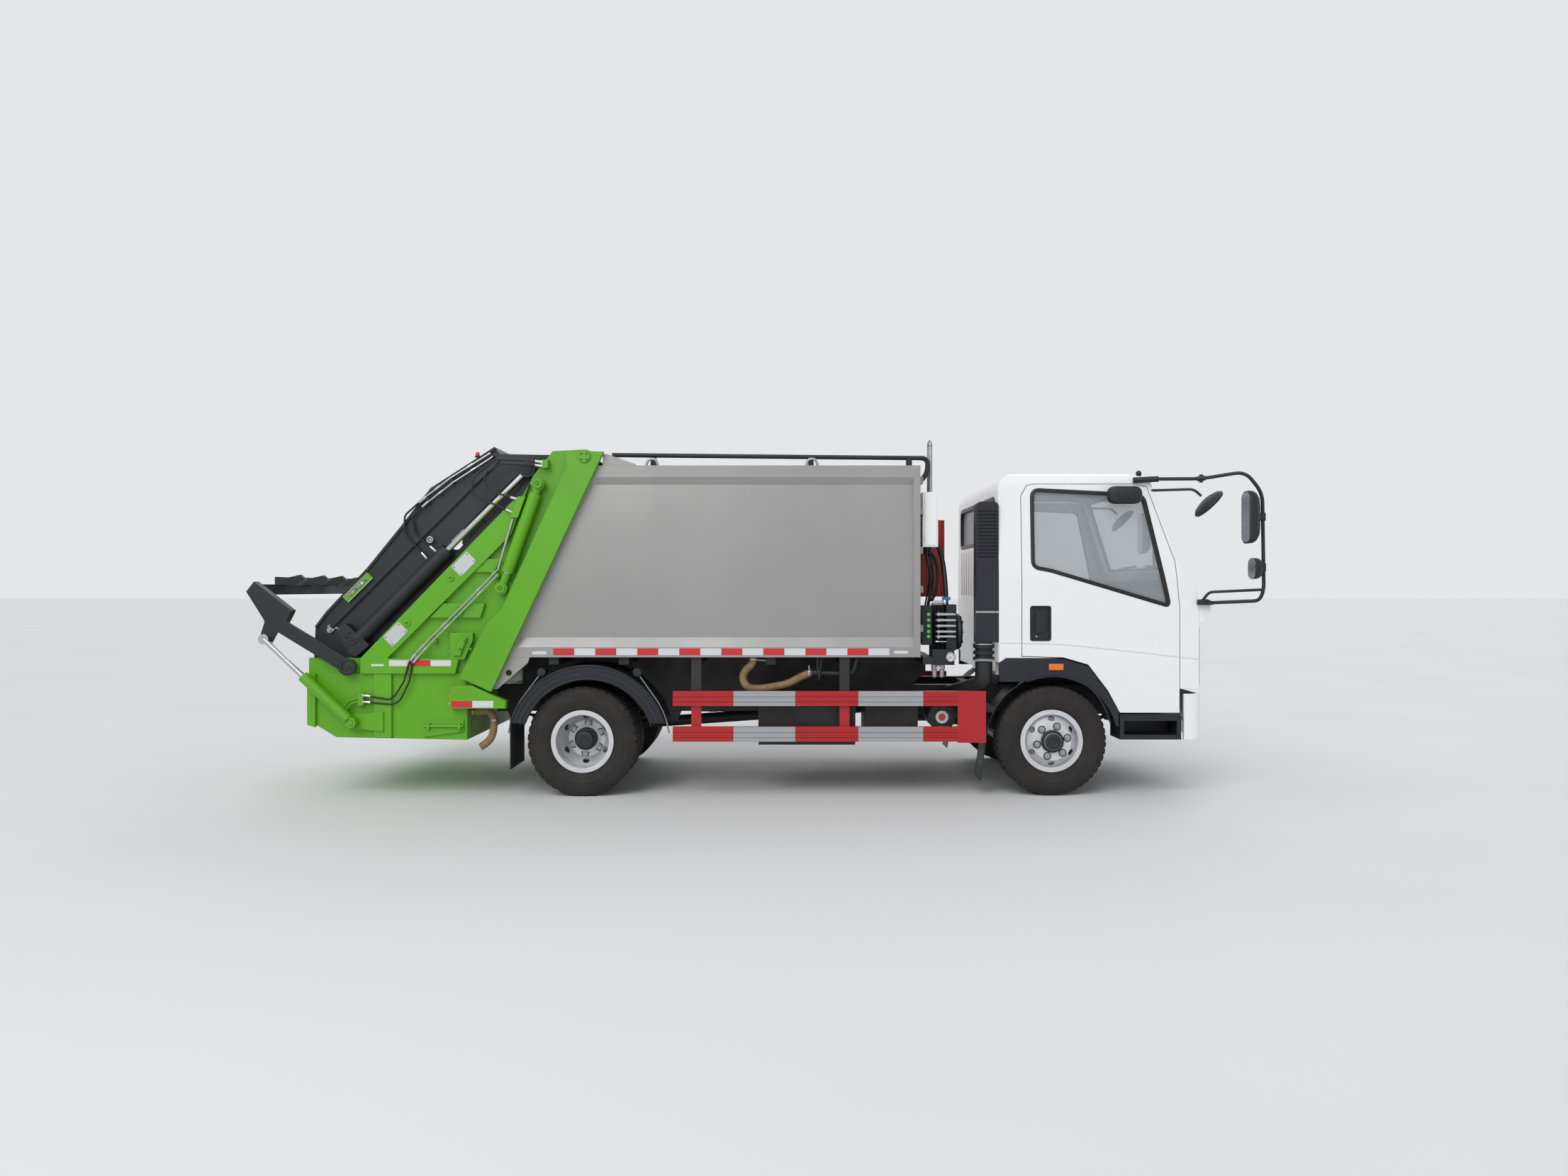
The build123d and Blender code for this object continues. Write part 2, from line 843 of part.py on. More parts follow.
with BuildPart() as mudguards:
    with BuildSketch(Plane.XZ.offset(fender_inner_y)) as fender_arc:
        with Locations((fender_x, fender_z)):
            Circle(fender_radius)
            Circle(fender_radius - fender_thickness, mode=Mode.SUBTRACT)
        with Locations((fender_x, fender_z + 550)):
            Rectangle(1400, 1100 - 2 * fender_radius * sin(radians(fender_start)), mode=Mode.INTERSECT)
    extrude(fender_arc.sketch, amount=fender_outer_y - fender_inner_y)
    with BuildSketch(Plane.XZ.offset(fender_outer_y - fender_thickness)) as skirt_arc:
        with Locations((fender_x, fender_z)):
            Circle(fender_radius)
            Circle(fender_radius - fender_skirt, mode=Mode.SUBTRACT)
        with Locations((fender_x, fender_z + 550)):
            Rectangle(1400, 1100 - 2 * fender_radius * sin(radians(fender_start)), mode=Mode.INTERSECT)
    extrude(skirt_arc.sketch, amount=fender_thickness)
    block((-1703, -1703 + flap_thickness), (-fender_outer_y + 10, -fender_inner_y), (200, 560))
    for stay_x in (fender_x - 480, fender_x + 480):
        bar((stay_x, -rail_web_y - fit, 630), (stay_x, -fender_outer_y + 8, 630), 16)
    with BuildSketch(Plane.XZ.offset(700)) as guard_arc:
        with BuildLine():
            outer_arc = CenterArc(
                (front_axle_x, axle_z - 6),
                front_guard_radius + 6,
                guard_arc_start,
                guard_arc_end - guard_arc_start,
            )
            inner_arc = CenterArc(
                (front_axle_x, axle_z - 6),
                front_guard_radius,
                guard_arc_start,
                guard_arc_end - guard_arc_start,
            )
            Line(outer_arc @ 0, inner_arc @ 0)
            Line(outer_arc @ 1, inner_arc @ 1)
        make_face()
    extrude(guard_arc.sketch, amount=235)
    plate(
        [
            (front_axle_x - front_guard_radius - 6, axle_z + 20),
            (front_axle_x - front_guard_radius + 2, axle_z + 20),
            (front_axle_x - front_guard_radius - 42, 116),
            (front_axle_x - front_guard_radius - 50, 116),
        ],
        700,
        935,
    )
    block((1640, 1752), (-930, -rail_web_y - fit), (600, 640))
    block(step_x, (-cab_half_width, -step_inner_y), step_z)
    block(
        (step_x[0] + 30, step_x[1] - 30),
        (-cab_half_width - 1, -step_inner_y - 40),
        (440, 540),
        mode=Mode.SUBTRACT,
    )
    block((2760, 2860), (-step_inner_y, -rail_web_y - fit), (rail_bottom_z + 10, rail_bottom_z + 30))
    block((2760, 2860), (-step_inner_y, -step_inner_y + 20), (500, rail_bottom_z + 30))
    mirror(about=Plane.XZ)
save(mudguards, "mudguards")

# Bumper: hollow shell wrapped round the front corners

with BuildPart() as bumper:
    with BuildSketch(Plane.XY.offset(bumper_bottom_z)) as bumper_plan:
        with BuildLine():
            FilletPolyline(
                (bumper_rear_x, -cab_half_width),
                (bumper_front_x - 40, -cab_half_width),
                (bumper_front_x, 0),
                (bumper_front_x - 40, cab_half_width),
                (bumper_rear_x, cab_half_width),
                radius=[bumper_corner, bumper_front_radius, bumper_corner],
            )
            Line((bumper_rear_x, cab_half_width), (bumper_rear_x, -cab_half_width))
        make_face()
    extrude(bumper_plan.sketch, amount=bumper_top_z - bumper_bottom_z)
    with BuildSketch(Plane.XY.offset(bumper_bottom_z)) as bumper_space:
        with BuildLine():
            FilletPolyline(
                (bumper_rear_x - 10, -cab_half_width + bumper_wall),
                (bumper_front_x - 40 - bumper_wall, -cab_half_width + bumper_wall),
                (bumper_front_x - bumper_wall, 0),
                (bumper_front_x - 40 - bumper_wall, cab_half_width - bumper_wall),
                (bumper_rear_x - 10, cab_half_width - bumper_wall),
                radius=[bumper_corner - bumper_wall, bumper_front_radius, bumper_corner - bumper_wall],
            )
            Line(
                (bumper_rear_x - 10, cab_half_width - bumper_wall),
                (bumper_rear_x - 10, -cab_half_width + bumper_wall),
            )
        make_face()
    extrude(bumper_space.sketch, amount=bumper_top_z - bumper_bottom_z, mode=Mode.SUBTRACT)
    block((3100, 3400), (-480, 480), (450, 560), mode=Mode.SUBTRACT)
    for lamp_y in (-680, 680):
        block((3100, 3400), (lamp_y - 90, lamp_y + 90), (470, 560), mode=Mode.SUBTRACT)
save(bumper, "bumper")

# Hydraulic tank, control box, valves and roof pipe behind the cab
rib_face_x = body_front_x + front_rib_depth

with BuildPart() as oil_tank:
    block((rib_face_x, 1470), (-420, 420), (1423, 2005))
    fillet(oil_tank.edges().filter_by(Axis.Z), radius=40)
save(oil_tank, "oil_tank")

control_box_top_z = 2178
stand_pipe_x = 1312
stand_pipe_top_z = 2558

with BuildPart() as control_box:
    block((rib_face_x, 1350), (-900, -640), (1784, control_box_top_z))
save(control_box, "control_box")

valve_pipe_zs = (1299, 1257, 1216, 1175, 1139)
conduit_z = 2430
conduit_y = -820

with BuildPart() as hydraulic_valves:
    block((rib_face_x, 1312), (-860, -700), (1078, 1362))
    block((1418, 1490), (-850, -720), (1040, 1370))
    for pipe_z in valve_pipe_zs:
        bar((1311, -800, pipe_z), (1419, -800, pipe_z), 8)
    block((1275 + outrigger_width / 2 + fit, 1467), (-905, -700), (937, 1048))
    disc(1436, 996, 36, 904, 918)
    bar((-1000, conduit_y, conduit_z + 22), (1240, conduit_y, conduit_z), 16)
    for clip_x in (-700, 440, 1150):
        block((clip_x - 20, clip_x + 20), (conduit_y - 20, conduit_y + 20), (2368.2, conduit_z + 4))
    tube(
        [
            (stand_pipe_x, -770, control_box_top_z + fit),
            (stand_pipe_x, -770, stand_pipe_top_z),
            (stand_pipe_x, -680, stand_pipe_top_z),
            (stand_pipe_x, -680, control_box_top_z + fit),
        ],
        [40, 40],
        13,
    )
save(hydraulic_valves, "hydraulic_valves")

# Corrugated drain hoses, made as plain tubes along their real routes
with BuildPart() as drain_hoses:
    tube(
        [
            (25, -900, body_bottom_z - fit),
            (25, -900, 930),
            (-50, -900, 860),
            (-20, -900, 765),
            (110, -900, 770),
            (290, -900, 810),
            (420, -900, 880),
        ],
        [30, 45, 45, 45, 80],
        30,
    )
    bar((430, -900, 880), (510, -900, 880), 38)
    block((470, 500), (-930, -870), (880, body_bottom_z - fit))
save(drain_hoses, "drain_hoses")


# Wheels
def tyre_profile():
    """Half section of a tyre: radius across, width along, drawn for a revolve about Y."""
    with BuildSketch(Plane.XY) as section:
        with BuildLine():
            Polyline(
                (bead_radius, -bead_half_width),
                (rim_flange_radius + 1, -bead_half_width),
                (rim_flange_radius + 6, -bead_half_width - 8),
                (275, -tyre_half_width + 4),
                (325, -tyre_half_width),
                (tyre_radius - 22, -tread_half_width - 4),
                (tyre_radius - 4, -tread_half_width + 8),
                (tyre_radius, -tread_half_width + 26),
                (tyre_radius, tread_half_width - 26),
                (tyre_radius - 4, tread_half_width - 8),
                (tyre_radius - 22, tread_half_width + 4),
                (325, tyre_half_width),
                (275, tyre_half_width - 4),
                (rim_flange_radius + 6, bead_half_width + 8),
                (rim_flange_radius + 1, bead_half_width),
                (bead_radius, bead_half_width),
                (bead_radius, -bead_half_width),
            )
        make_face()
    return section.sketch


def rim_profile(mount, outside):
    """Half section of a rim: barrel, two flanges and a dished disc mounted at an offset."""
    lip = bead_half_width + fit
    edge = lip + rim_flange_thickness
    with BuildSketch(Plane.XY) as section:
        with BuildLine():
            Polyline(
                (rim_flange_radius, -edge),
                (rim_flange_radius, -lip),
                (bead_radius - fit, -lip),
                (bead_radius - fit, lip),
                (rim_flange_radius, lip),
                (rim_flange_radius, edge),
                (rim_barrel_radius, edge),
                (rim_barrel_radius, -edge),
                close=True,
            )
        make_face()
        with BuildLine():
            Polyline(
                (hub_radius + 0.0, mount),
                (138, mount),
                (rim_barrel_radius - 6, mount - outside * 48),
                (rim_barrel_radius + 4, mount - outside * 62),
                (rim_barrel_radius + 4, mount - outside * 76),
                (rim_barrel_radius - 14, mount - outside * 58),
                (132, mount - outside * disc_thickness),
                (hub_radius + 0.0, mount - outside * disc_thickness),
                close=True,
            )
        make_face()
    return section.sketch


with BuildPart() as single_tyre:
    revolve(tyre_profile(), axis=Axis.Y)

front_mount = 95
front_cap = 128
spindle_radius = 28

with BuildPart() as front_wheel_shape:
    revolve(rim_profile(-front_mount, -1), axis=Axis.Y)
    disc(0, 0, hub_radius, -20, front_cap - 25)
    disc(0, 0, 60, front_cap - 26, front_cap)
    disc(0, 0, drum_radius, -56, 30)
    disc(0, 0, hub_radius + 30, 30, front_mount - disc_thickness)
    with BuildSketch(Plane.XZ.offset(20)) as hand_holes:
        with PolarLocations(hand_hole_circle, 6, start_angle=30):
            Ellipse(17, 24)
    extrude(hand_holes.sketch, amount=front_mount, mode=Mode.SUBTRACT)
    disc(0, 0, spindle_radius + fit, -60, 25, mode=Mode.SUBTRACT)

# The twin wheels mount back to back at the middle of their spacing
rear_mount = twin_spacing / 2

with BuildPart() as rear_wheel_shape:
    revolve(rim_profile(rear_mount - 0.5, 1), axis=Axis.Y)
    with BuildSketch(Plane.XZ.offset(-rear_mount - 5)) as rear_hand_holes:
        with PolarLocations(hand_hole_circle, 6, start_angle=30):
            Ellipse(17, 24)
    extrude(rear_hand_holes.sketch, amount=rear_mount, mode=Mode.SUBTRACT)

rear_inner_y = rear_outer_y - twin_spacing

for side_name, side in (("right", -1), ("left", 1)):
    turn = 0 if side < 0 else 180
    with BuildPart() as front_tyre:
        with Locations((front_axle_x, side * front_wheel_y, axle_z)):
            add(single_tyre.part)
    save(front_tyre, f"front_tyre_{side_name}")
    with BuildPart() as front_rim:
        with Locations(Location((front_axle_x, side * front_wheel_y, axle_z), (0, 0, turn))):
            add(front_wheel_shape.part)
    save(front_rim, f"front_rim_{side_name}")
    with BuildPart() as rear_tyres:
        for tyre_y in (rear_outer_y, rear_inner_y):
            with Locations((rear_axle_x, side * tyre_y, axle_z)):
                add(single_tyre.part)
    save(rear_tyres, f"rear_tyres_{side_name}")
    with BuildPart() as rear_rims:
        with Locations(Location((rear_axle_x, side * rear_outer_y, axle_z), (0, 0, turn))):
            add(rear_wheel_shape.part)
        with Locations(Location((rear_axle_x, side * rear_inner_y, axle_z), (0, 0, turn + 180))):
            add(rear_wheel_shape.part)
        middle_y = (rear_outer_y + rear_inner_y) / 2
        for radius, start, end in (
            (drum_radius, backing_plate_y + running_gap, middle_y - 20),
            (hub_radius + 30, middle_y - 21, middle_y + 20),
            (hub_radius, middle_y, middle_y + 80),
            (55, middle_y + 79, middle_y + 130),
        ):
            with BuildSketch(Plane.XZ.offset(-side * start)) as hub_step:
                with Locations((rear_axle_x, axle_z)):
                    Circle(radius)
            extrude(hub_step.sketch, amount=-side * (end - start))
        with BuildSketch(Plane.XZ.offset(-side * backing_plate_y)) as hub_bore:
            with Locations((rear_axle_x, axle_z)):
                Circle(rear_spindle_radius + fit)
        extrude(hub_bore.sketch, amount=-side * 200, mode=Mode.SUBTRACT)
    save(rear_rims, f"rear_rims_{side_name}")

# Steering knuckles: fork round the beam's end, kingpin boss, spindle and steering arm
knuckle_fork_z = 62
fork_gap = fit

for side_name, side in (("right", -1), ("left", 1)):
    with BuildPart() as knuckle:
        for sign in (-1, 1):
            low = axle_z + sign * (beam_half_height + fork_gap)
            high = axle_z + sign * (beam_half_height + 34)
            with BuildSketch(Plane.XY.offset(low)) as fork:
                with Locations((front_axle_x, side * (kingpin_y + 5))):
                    SlotOverall(110, 84, rotation=90)
            extrude(fork.sketch, amount=high - low)
        bar(
            (front_axle_x, side * kingpin_y, axle_z - beam_half_height - 40),
            (front_axle_x, side * kingpin_y, axle_z + beam_half_height + 40),
            kingpin_radius,
        )
        for radius, start, end in ((drum_radius - 4, 46, 60), (spindle_radius, 59, 140)):
            with BuildSketch(Plane.XZ.offset(-side * (kingpin_y + start))) as backing:
                with Locations((front_axle_x, axle_z)):
                    Circle(radius)
            extrude(backing.sketch, amount=-side * (end - start))
        block(
            (front_axle_x - 160, front_axle_x - 20),
            tuple(sorted((side * (kingpin_y - 50), side * (kingpin_y - 14)))),
            (axle_z - beam_half_height - 34, axle_z - beam_half_height - 14),
        )
    save(knuckle, f"knuckle_{side_name}")

# Tailgate: green side panels with band, ribs, belt and box frames
panel_front = [(seam_at(z) - seam_gap / 2, z) for z in (2366, 780)]
panel_outline = [
    (hinge_x + 50, hinge_z + 28),
    (hinge_x, hinge_z + 55),
    (-1402, 2464),
    (-1543, 2287),
    (-1604, 2146),
    (-1683, 2101),
    (-2757, belt_top_z),
    (hopper_rear_x, belt_top_z),
    (hopper_rear_x, 510),
    (-3073, 510),
    (-2938, 428),
    (hopper_front_x, hopper_bottom_z),
    (hopper_front_x, 780),
    panel_front[1],
    panel_front[0],
    (hinge_x + 50, hinge_z - 28),
]
band_points = [
    (-2757, belt_top_z),
    (-1683, 2101),
    (-1604, 2146),
    (-1561, 2227),
    (-1690, 1866),
    (-2567, belt_top_z),
]
panel_ribs = [
    # upper left, upper right, lower right, lower left corners
    ((-1900, 1696), (-1770, 1696), (-1810, 1601), (-1960, 1601)),
    ((-2172, 1380), (-1880, 1380), (-1910, 1277), (-2270, 1277)),
]
box_strips = [
    [
        (hopper_rear_x, 510),
        (hopper_rear_x + 12, 510),
        (hopper_rear_x + 12, belt_top_z),
        (hopper_rear_x, belt_top_z),
    ],
    [
        (-3138, 510),
        (-3073, 510),
        (-2938, 428),
        (-2009, 409),
        (-2009, 421),
        (-2935, 440),
        (-3069, 522),
        (-3138, 522),
    ],
    [(-2021, 409), (-2009, 409), (-2009, 770), (-2021, 770)],
    [(-2748, belt_top_z), (-3138, belt_top_z), (-3138, belt_top_z - 12), (-2748, belt_top_z - 12)],
    [(-2757, belt_top_z), (-1683, 2101), (-1674, 2093), (-2748, belt_top_z - 8)],
    [panel_front[1], panel_front[0], (panel_front[0][0] - 13, 2366), (panel_front[1][0] - 13, 780)],
]
panel_outer_y = panel_inner_y + panel_thickness
valve_outer_y = 1030
pipe_y = 1012
pipe_radius = 6
hose_radius = 7
hose_low_y = 998
pipe_clips = ((-1800, 1585), (-2060, 1320), (-2245, 1125))
button_panel = [(-2744, 1599), (-2704, 1559), (-2878, 1385), (-2918, 1425)]
hopper_side_y = 990
frame_depth = 30

with BuildPart() as tailgate_frames:
    plate(panel_outline, panel_inner_y, panel_outer_y)
    plate(band_points, panel_outer_y, band_outer_y)
    for corners in panel_ribs:
        plate(list(corners), panel_outer_y, band_outer_y - 12)
    plate(
        [(-2757, belt_top_z), (-2060, belt_top_z), (-2085, belt_bottom_z), (-2757, belt_bottom_z)],
        panel_outer_y,
        band_outer_y,
    )
    plate(
        [
            (hopper_rear_x, belt_bottom_z),
            (hopper_rear_x, 510),
            (-3073, 510),
            (-2938, 428),
            (hopper_front_x, hopper_bottom_z),
            (hopper_front_x, belt_bottom_z),
        ],
        panel_outer_y,
        hopper_side_y - 22,
    )
    for post_left, post_right in ((-3138, -3080), (-2665, -2540)):
        plate(
            [
                (post_left, belt_bottom_z),
                (post_left, 520 if post_left < -3000 else 430),
                (post_right, 500 if post_left < -3000 else 426),
                (post_right, belt_bottom_z),
            ],
            hopper_side_y - 22,
            hopper_side_y,
        )
    for strip in box_strips:
        plate(strip, wall_inner_y + wall_thickness + fit, panel_inner_y)
    disc(lift_upper_x, lift_upper_z, 20, panel_outer_y, lift_cylinder_y + 22)
    disc(boss_x, boss_z, 34, panel_outer_y, arm_inner_y + arm_thickness)
    plate(
        [
            (lifter_base_x - 45, lifter_base_z - 45),
            (lifter_base_x + 210, lifter_base_z - 70),
            (lifter_base_x + 210, lifter_base_z + 70),
            (lifter_base_x - 45, lifter_base_z + 45),
        ],
        hopper_side_y - 22,
        1002,
    )
    disc(lifter_base_x, lifter_base_z, 20, 1000, lifter_cylinder_y + 28)
    # Lamp box beside the hopper's front, valve block, lock and latch
    plate([(-2117, 800), (-1956, 800), (-1720, 690), (-1720, 638), (-2117, 638)], hopper_side_y - 23, 1032)
    plate([(-1690, 1985), (-1636, 1985), (-1580, 2136), (-1634, 2136)], panel_inner_y + 1, valve_outer_y)
    plate(
        [(-2121, 982), (-2020, 982), (-1960, 1120), (-1960, 1171), (-2121, 1171)],
        panel_inner_y + 1,
        band_outer_y,
    )
    plate([(-2095, 1010), (-2045, 1010), (-1995, 1140), (-2045, 1140)], band_outer_y - 1, band_outer_y + 22)
    plate([(-2311, 430), (-2030, 470), (-2030, 551), (-2311, 540)], hopper_side_y - 23, hopper_side_y - 8)
    for lug_x in (-2290, -2070):
        block((lug_x, lug_x + 24), (-1006, -hopper_side_y + 9), (488, 530))
    bar((-2310, -994, 509), (-2030, -994, 509), 9)
    for clip_x, clip_z in pipe_clips:
        plate(
            [
                (clip_x - 34, clip_z + 10),
                (clip_x - 10, clip_z + 34),
                (clip_x + 34, clip_z - 10),
                (clip_x + 10, clip_z - 34),
            ],
            panel_inner_y + 1,
            pipe_y - pipe_radius - fit,
        )
    block((-2775, -2735), (-hose_low_y - 6, -hopper_side_y + 24), (655, 745))
    plate(
        [(-1465, 2338), (-1425, 2338), (-1425, 2396), (-1465, 2396)],
        panel_inner_y + 1,
        valve_outer_y - 10,
    )
    plate(button_panel, wall_inner_y + wall_thickness + fit, 905)
    disc(hinge_x, hinge_z, hinge_pin_radius + fit, panel_inner_y - 1, panel_outer_y + 1, mode=Mode.SUBTRACT)
    mirror(about=Plane.XZ)
save(tailgate_frames, "tailgate_frames")

# Dark side walls with the slot of the slide pin and the guide rails inside
wall_outer_y = wall_inner_y + wall_thickness
wall_outline = [
    (seam_at(2448) - seam_gap / 2, 2448),
    (-1500, 2448),
    (-1801, 2454),
    (-1837, 2504),
    (-2296, 2208),
    (-2506, 1938),
    (-2750, 1637),
    (-3046, 1321),
    (-3128, 1213),
    (hopper_rear_x, belt_top_z),
    (hopper_rear_x, 510),
    (-3073, 510),
    (-2938, 428),
    (hopper_front_x, hopper_bottom_z),
    (hopper_front_x, 740),
    (seam_at(960) - seam_gap / 2 - 20, 960),
]
wall_rear_edge = [(-1837, 2504), (-2296, 2208), (-2506, 1938), (-2750, 1637), (-3046, 1321), (-3128, 1213)]
wall_rail_depth = 20
border_width = 18
border_depth = 14
top_pipe_y = 900
top_clips = ((-1862, 2445), (-2145, 2262), (-2318, 2126))
slot_half_width = 42
guide_out = (slide_pin_x - sweeper_hinge_x) * -sin(radians(slope)) + (
    slide_pin_z - sweeper_hinge_z
) * cos(radians(slope))
guide_up = (slide_pin_x - sweeper_hinge_x) * cos(radians(slope)) + (
    slide_pin_z - sweeper_hinge_z
) * sin(radians(slope))
guide_inner_y = 840
shoe_half_height = 46
guide_width = 26
guide_low = guide_up - slide_stroke - 640
guide_high = guide_up + 60


def slope_point(up, out):
    """Point of the packing mechanism, measured from the raised sweeper hinge."""
    return along_slope(sweeper_hinge_x, sweeper_hinge_z, up, out)


with BuildPart() as tailgate_walls:
    plate(wall_outline, wall_inner_y, wall_outer_y)
    slot_ends = (guide_up - slide_stroke, guide_up)
    plate(
        [
            slope_point(slot_ends[0], guide_out - slot_half_width),
            slope_point(slot_ends[1], guide_out - slot_half_width),
            slope_point(slot_ends[1], guide_out + slot_half_width),
            slope_point(slot_ends[0], guide_out + slot_half_width),
        ],
        wall_inner_y - 1,
        wall_outer_y + 1,
        mode=Mode.SUBTRACT,
    )
    for slot_end in slot_ends:
        end_x, end_z = slope_point(slot_end, guide_out)
        disc(end_x, end_z, slot_half_width, wall_inner_y - 1, wall_outer_y + 1, mode=Mode.SUBTRACT)
    for side_of_shoe in (-1, 1):
        near = guide_out + side_of_shoe * (shoe_half_height + fit)
        far = near + side_of_shoe * guide_width
        plate(
            [
                slope_point(guide_low + 350, near),
                slope_point(guide_high, near),
                slope_point(guide_high, far),
                slope_point(guide_low + 350, far),
            ],
            guide_inner_y,
            wall_inner_y,
        )
    plate(
        [(-1828, 2425), (-1802, 2399), (-2997, 1204), (-3023, 1230)],
        wall_outer_y - 1,
        wall_outer_y + wall_rail_depth,
    )
    plate(
        wall_rear_edge + [
            (x + border_width * 0.75, z - border_width * 0.65)
            for x, z in reversed(wall_rear_edge)
        ],
        wall_outer_y - 1,
        wall_outer_y + border_depth,
    )
    for clip_x, clip_z in top_clips:
        plate(
            [
                (clip_x - 26, clip_z + 10),
                (clip_x - 4, clip_z + 28),
                (clip_x + 26, clip_z - 10),
                (clip_x + 4, clip_z - 28),
            ],
            wall_outer_y - 1,
            top_pipe_y - pipe_radius - fit,
        )
    mirror(about=Plane.XZ)
    # Cover over the packing mechanism: top plate and sloped rear plate between the walls
    plate(
        [
            (seam_at(2448) - seam_gap / 2, 2448),
            (seam_at(2440) - seam_gap / 2, 2440),
            (-1806, 2440),
            (-1838, 2494),
            (-2291, 2202),
            (-2394, 2070),
            (-2400, 2075),
            (-2296, 2208),
            (-1837, 2504),
            (-1801, 2448),
        ],
        -wall_inner_y,
        wall_inner_y,
    )
save(tailgate_walls, "tailgate_walls")

slide_hose_y = 902
slide_ports = ((-2319.2, 1705.2, 29), (-2253, 1755, 21))
ear_hose_y = 1008

with BuildPart() as slide_barrels:
    head_x, head_z = along_slope(slide_base_x, slide_base_z, slide_barrel_length)
    bar(
        (slide_base_x, -slide_cylinder_y, slide_base_z),
        (head_x, -slide_cylinder_y, head_z),
        slide_barrel_radius,
    )
    head_start = along_slope(slide_base_x, slide_base_z, slide_barrel_length - 60)
    bar(
        (head_start[0], -slide_cylinder_y, head_start[1]),
        (head_x, -slide_cylinder_y, head_z),
        slide_barrel_radius + 4,
    )
    bore_start = along_slope(slide_base_x, slide_base_z, 90)
    bore_end = along_slope(slide_base_x, slide_base_z, slide_barrel_length + 5)
    bar(
        (bore_start[0], -slide_cylinder_y, bore_start[1]),
        (bore_end[0], -slide_cylinder_y, bore_end[1]),
        slide_rod_radius + fit,
        mode=Mode.SUBTRACT,
    )
    disc(slide_base_x, slide_base_z, 62, wall_outer_y, slide_cylinder_y + 30)
    plate(
        [
            along_slope(slide_base_x, slide_base_z, -70, -70),
            along_slope(slide_base_x, slide_base_z, 70, -70),
            along_slope(slide_base_x, slide_base_z, 70, 70),
            along_slope(slide_base_x, slide_base_z, -70, 70),
        ],
        wall_outer_y,
        wall_outer_y + 12,
    )
    for port_x, port_z, port_step in slide_ports:
        bar((port_x, -slide_hose_y, port_z), (port_x + port_step, -slide_hose_y, port_z - port_step), 10)
    mirror(about=Plane.XZ)
save(slide_barrels, "slide_barrels")

# Chrome pipes along the tailgate's sides, in pairs with unions half way
lower_pipes = [
    [(-1771, 1630), (-2065, 1328), (-2261, 1132), (-2367, 1018)],
    [(-1775, 1587), (-2045, 1312), (-2238, 1116), (-2345, 1000)],
]
top_pipes = [
    [(-1861, 2457), (-2148, 2278), (-2333, 2137)],
    [(-1842, 2432), (-2124, 2250), (-2311, 2104)],
]
union_length = 44

with BuildPart() as tailgate_pipes:
    for runs, run_y, bend in ((lower_pipes, pipe_y, 40), (top_pipes, top_pipe_y, 60)):
        for run in runs:
            tube([(x, -run_y, z) for x, z in run], [bend] * (len(run) - 2), pipe_radius)
            for (near_x, near_z), (far_x, far_z) in zip(run, run[1:]):
                length = sqrt((far_x - near_x) ** 2 + (far_z - near_z) ** 2)
                step_x = (far_x - near_x) / length
                step_z = (far_z - near_z) / length
                middle_x = (near_x + far_x) / 2
                middle_z = (near_z + far_z) / 2
                bar(
                    (middle_x - step_x * union_length / 2, -run_y, middle_z - step_z * union_length / 2),
                    (middle_x + step_x * union_length / 2, -run_y, middle_z + step_z * union_length / 2),
                    pipe_radius + 3.5,
                )
    bar((-1673, -pipe_y, 1980), (-1778, -pipe_y, 1624), 9)
    mirror(about=Plane.XZ)
save(tailgate_pipes, "tailgate_pipes")

# Black hoses, made whole along their routes: down to the bin lifter, over the wall, and at the ear
with BuildPart() as tailgate_hoses:
    tube(
        [(-2367.8, -pipe_y, 1017), (-2408, -pipe_y, 961), (-2445, -pipe_y, 825), (-2531, -hose_low_y, 695),
         (-2733.5, -hose_low_y, 728)],
        [40, 60, 70],
        pipe_radius,
    )
    tube(
        [(-2345.6, -pipe_y, 999.3), (-2386, -pipe_y, 951), (-2404, -pipe_y, 830), (-2490, -hose_low_y, 660),
         (-2733.5, -hose_low_y, 682)],
        [40, 60, 90],
        pipe_radius,
    )
    tube(
        [
            (x, -slide_hose_y, z)
            for x, z in ((-2333.9, 2136.3), (-2475, 2010), (-2478, 1880), (-2320, 1706))
        ],
        [60, 60],
        hose_radius,
    )
    tube(
        [
            (x, -slide_hose_y, z)
            for x, z in ((-2311.8, 2103.4), (-2428, 2000), (-2400, 1880), (-2254, 1756))
        ],
        [60, 60],
        hose_radius,
    )
    tube(
        [
            (-1466.5, -ear_hose_y, 2380),
            (-1560, -ear_hose_y, 2392),
            (-1800, -ear_hose_y, 2402),
            (-1955, -ear_hose_y, 2270),
            (-1965, -ear_hose_y, 2150),
            (-1676.3, -ear_hose_y, 2024.5),
        ],
        [90, 90, 60, 60],
        hose_radius,
    )
    tube(
        [
            (-1466.5, -ear_hose_y, 2352),
            (-1545, -ear_hose_y, 2362),
            (-1760, -ear_hose_y, 2372),
            (-1885, -ear_hose_y, 2290),
            (-1850, -ear_hose_y, 2180),
            (-1642, -ear_hose_y, 2117),
        ],
        [90, 90, 60, 60],
        hose_radius,
    )
    mirror(about=Plane.XZ)
save(tailgate_hoses, "tailgate_hoses")

# Drain hose under the hopper's front
with BuildPart() as hopper_hose:
    tube(
        [(hopper_front_x + fit, -900, 615), (-1950, -900, 615), (-1952, -900, 470), (-1985, -900, 385)],
        [40, 60],
        29,
    )
save(hopper_hose, "hopper_hose")

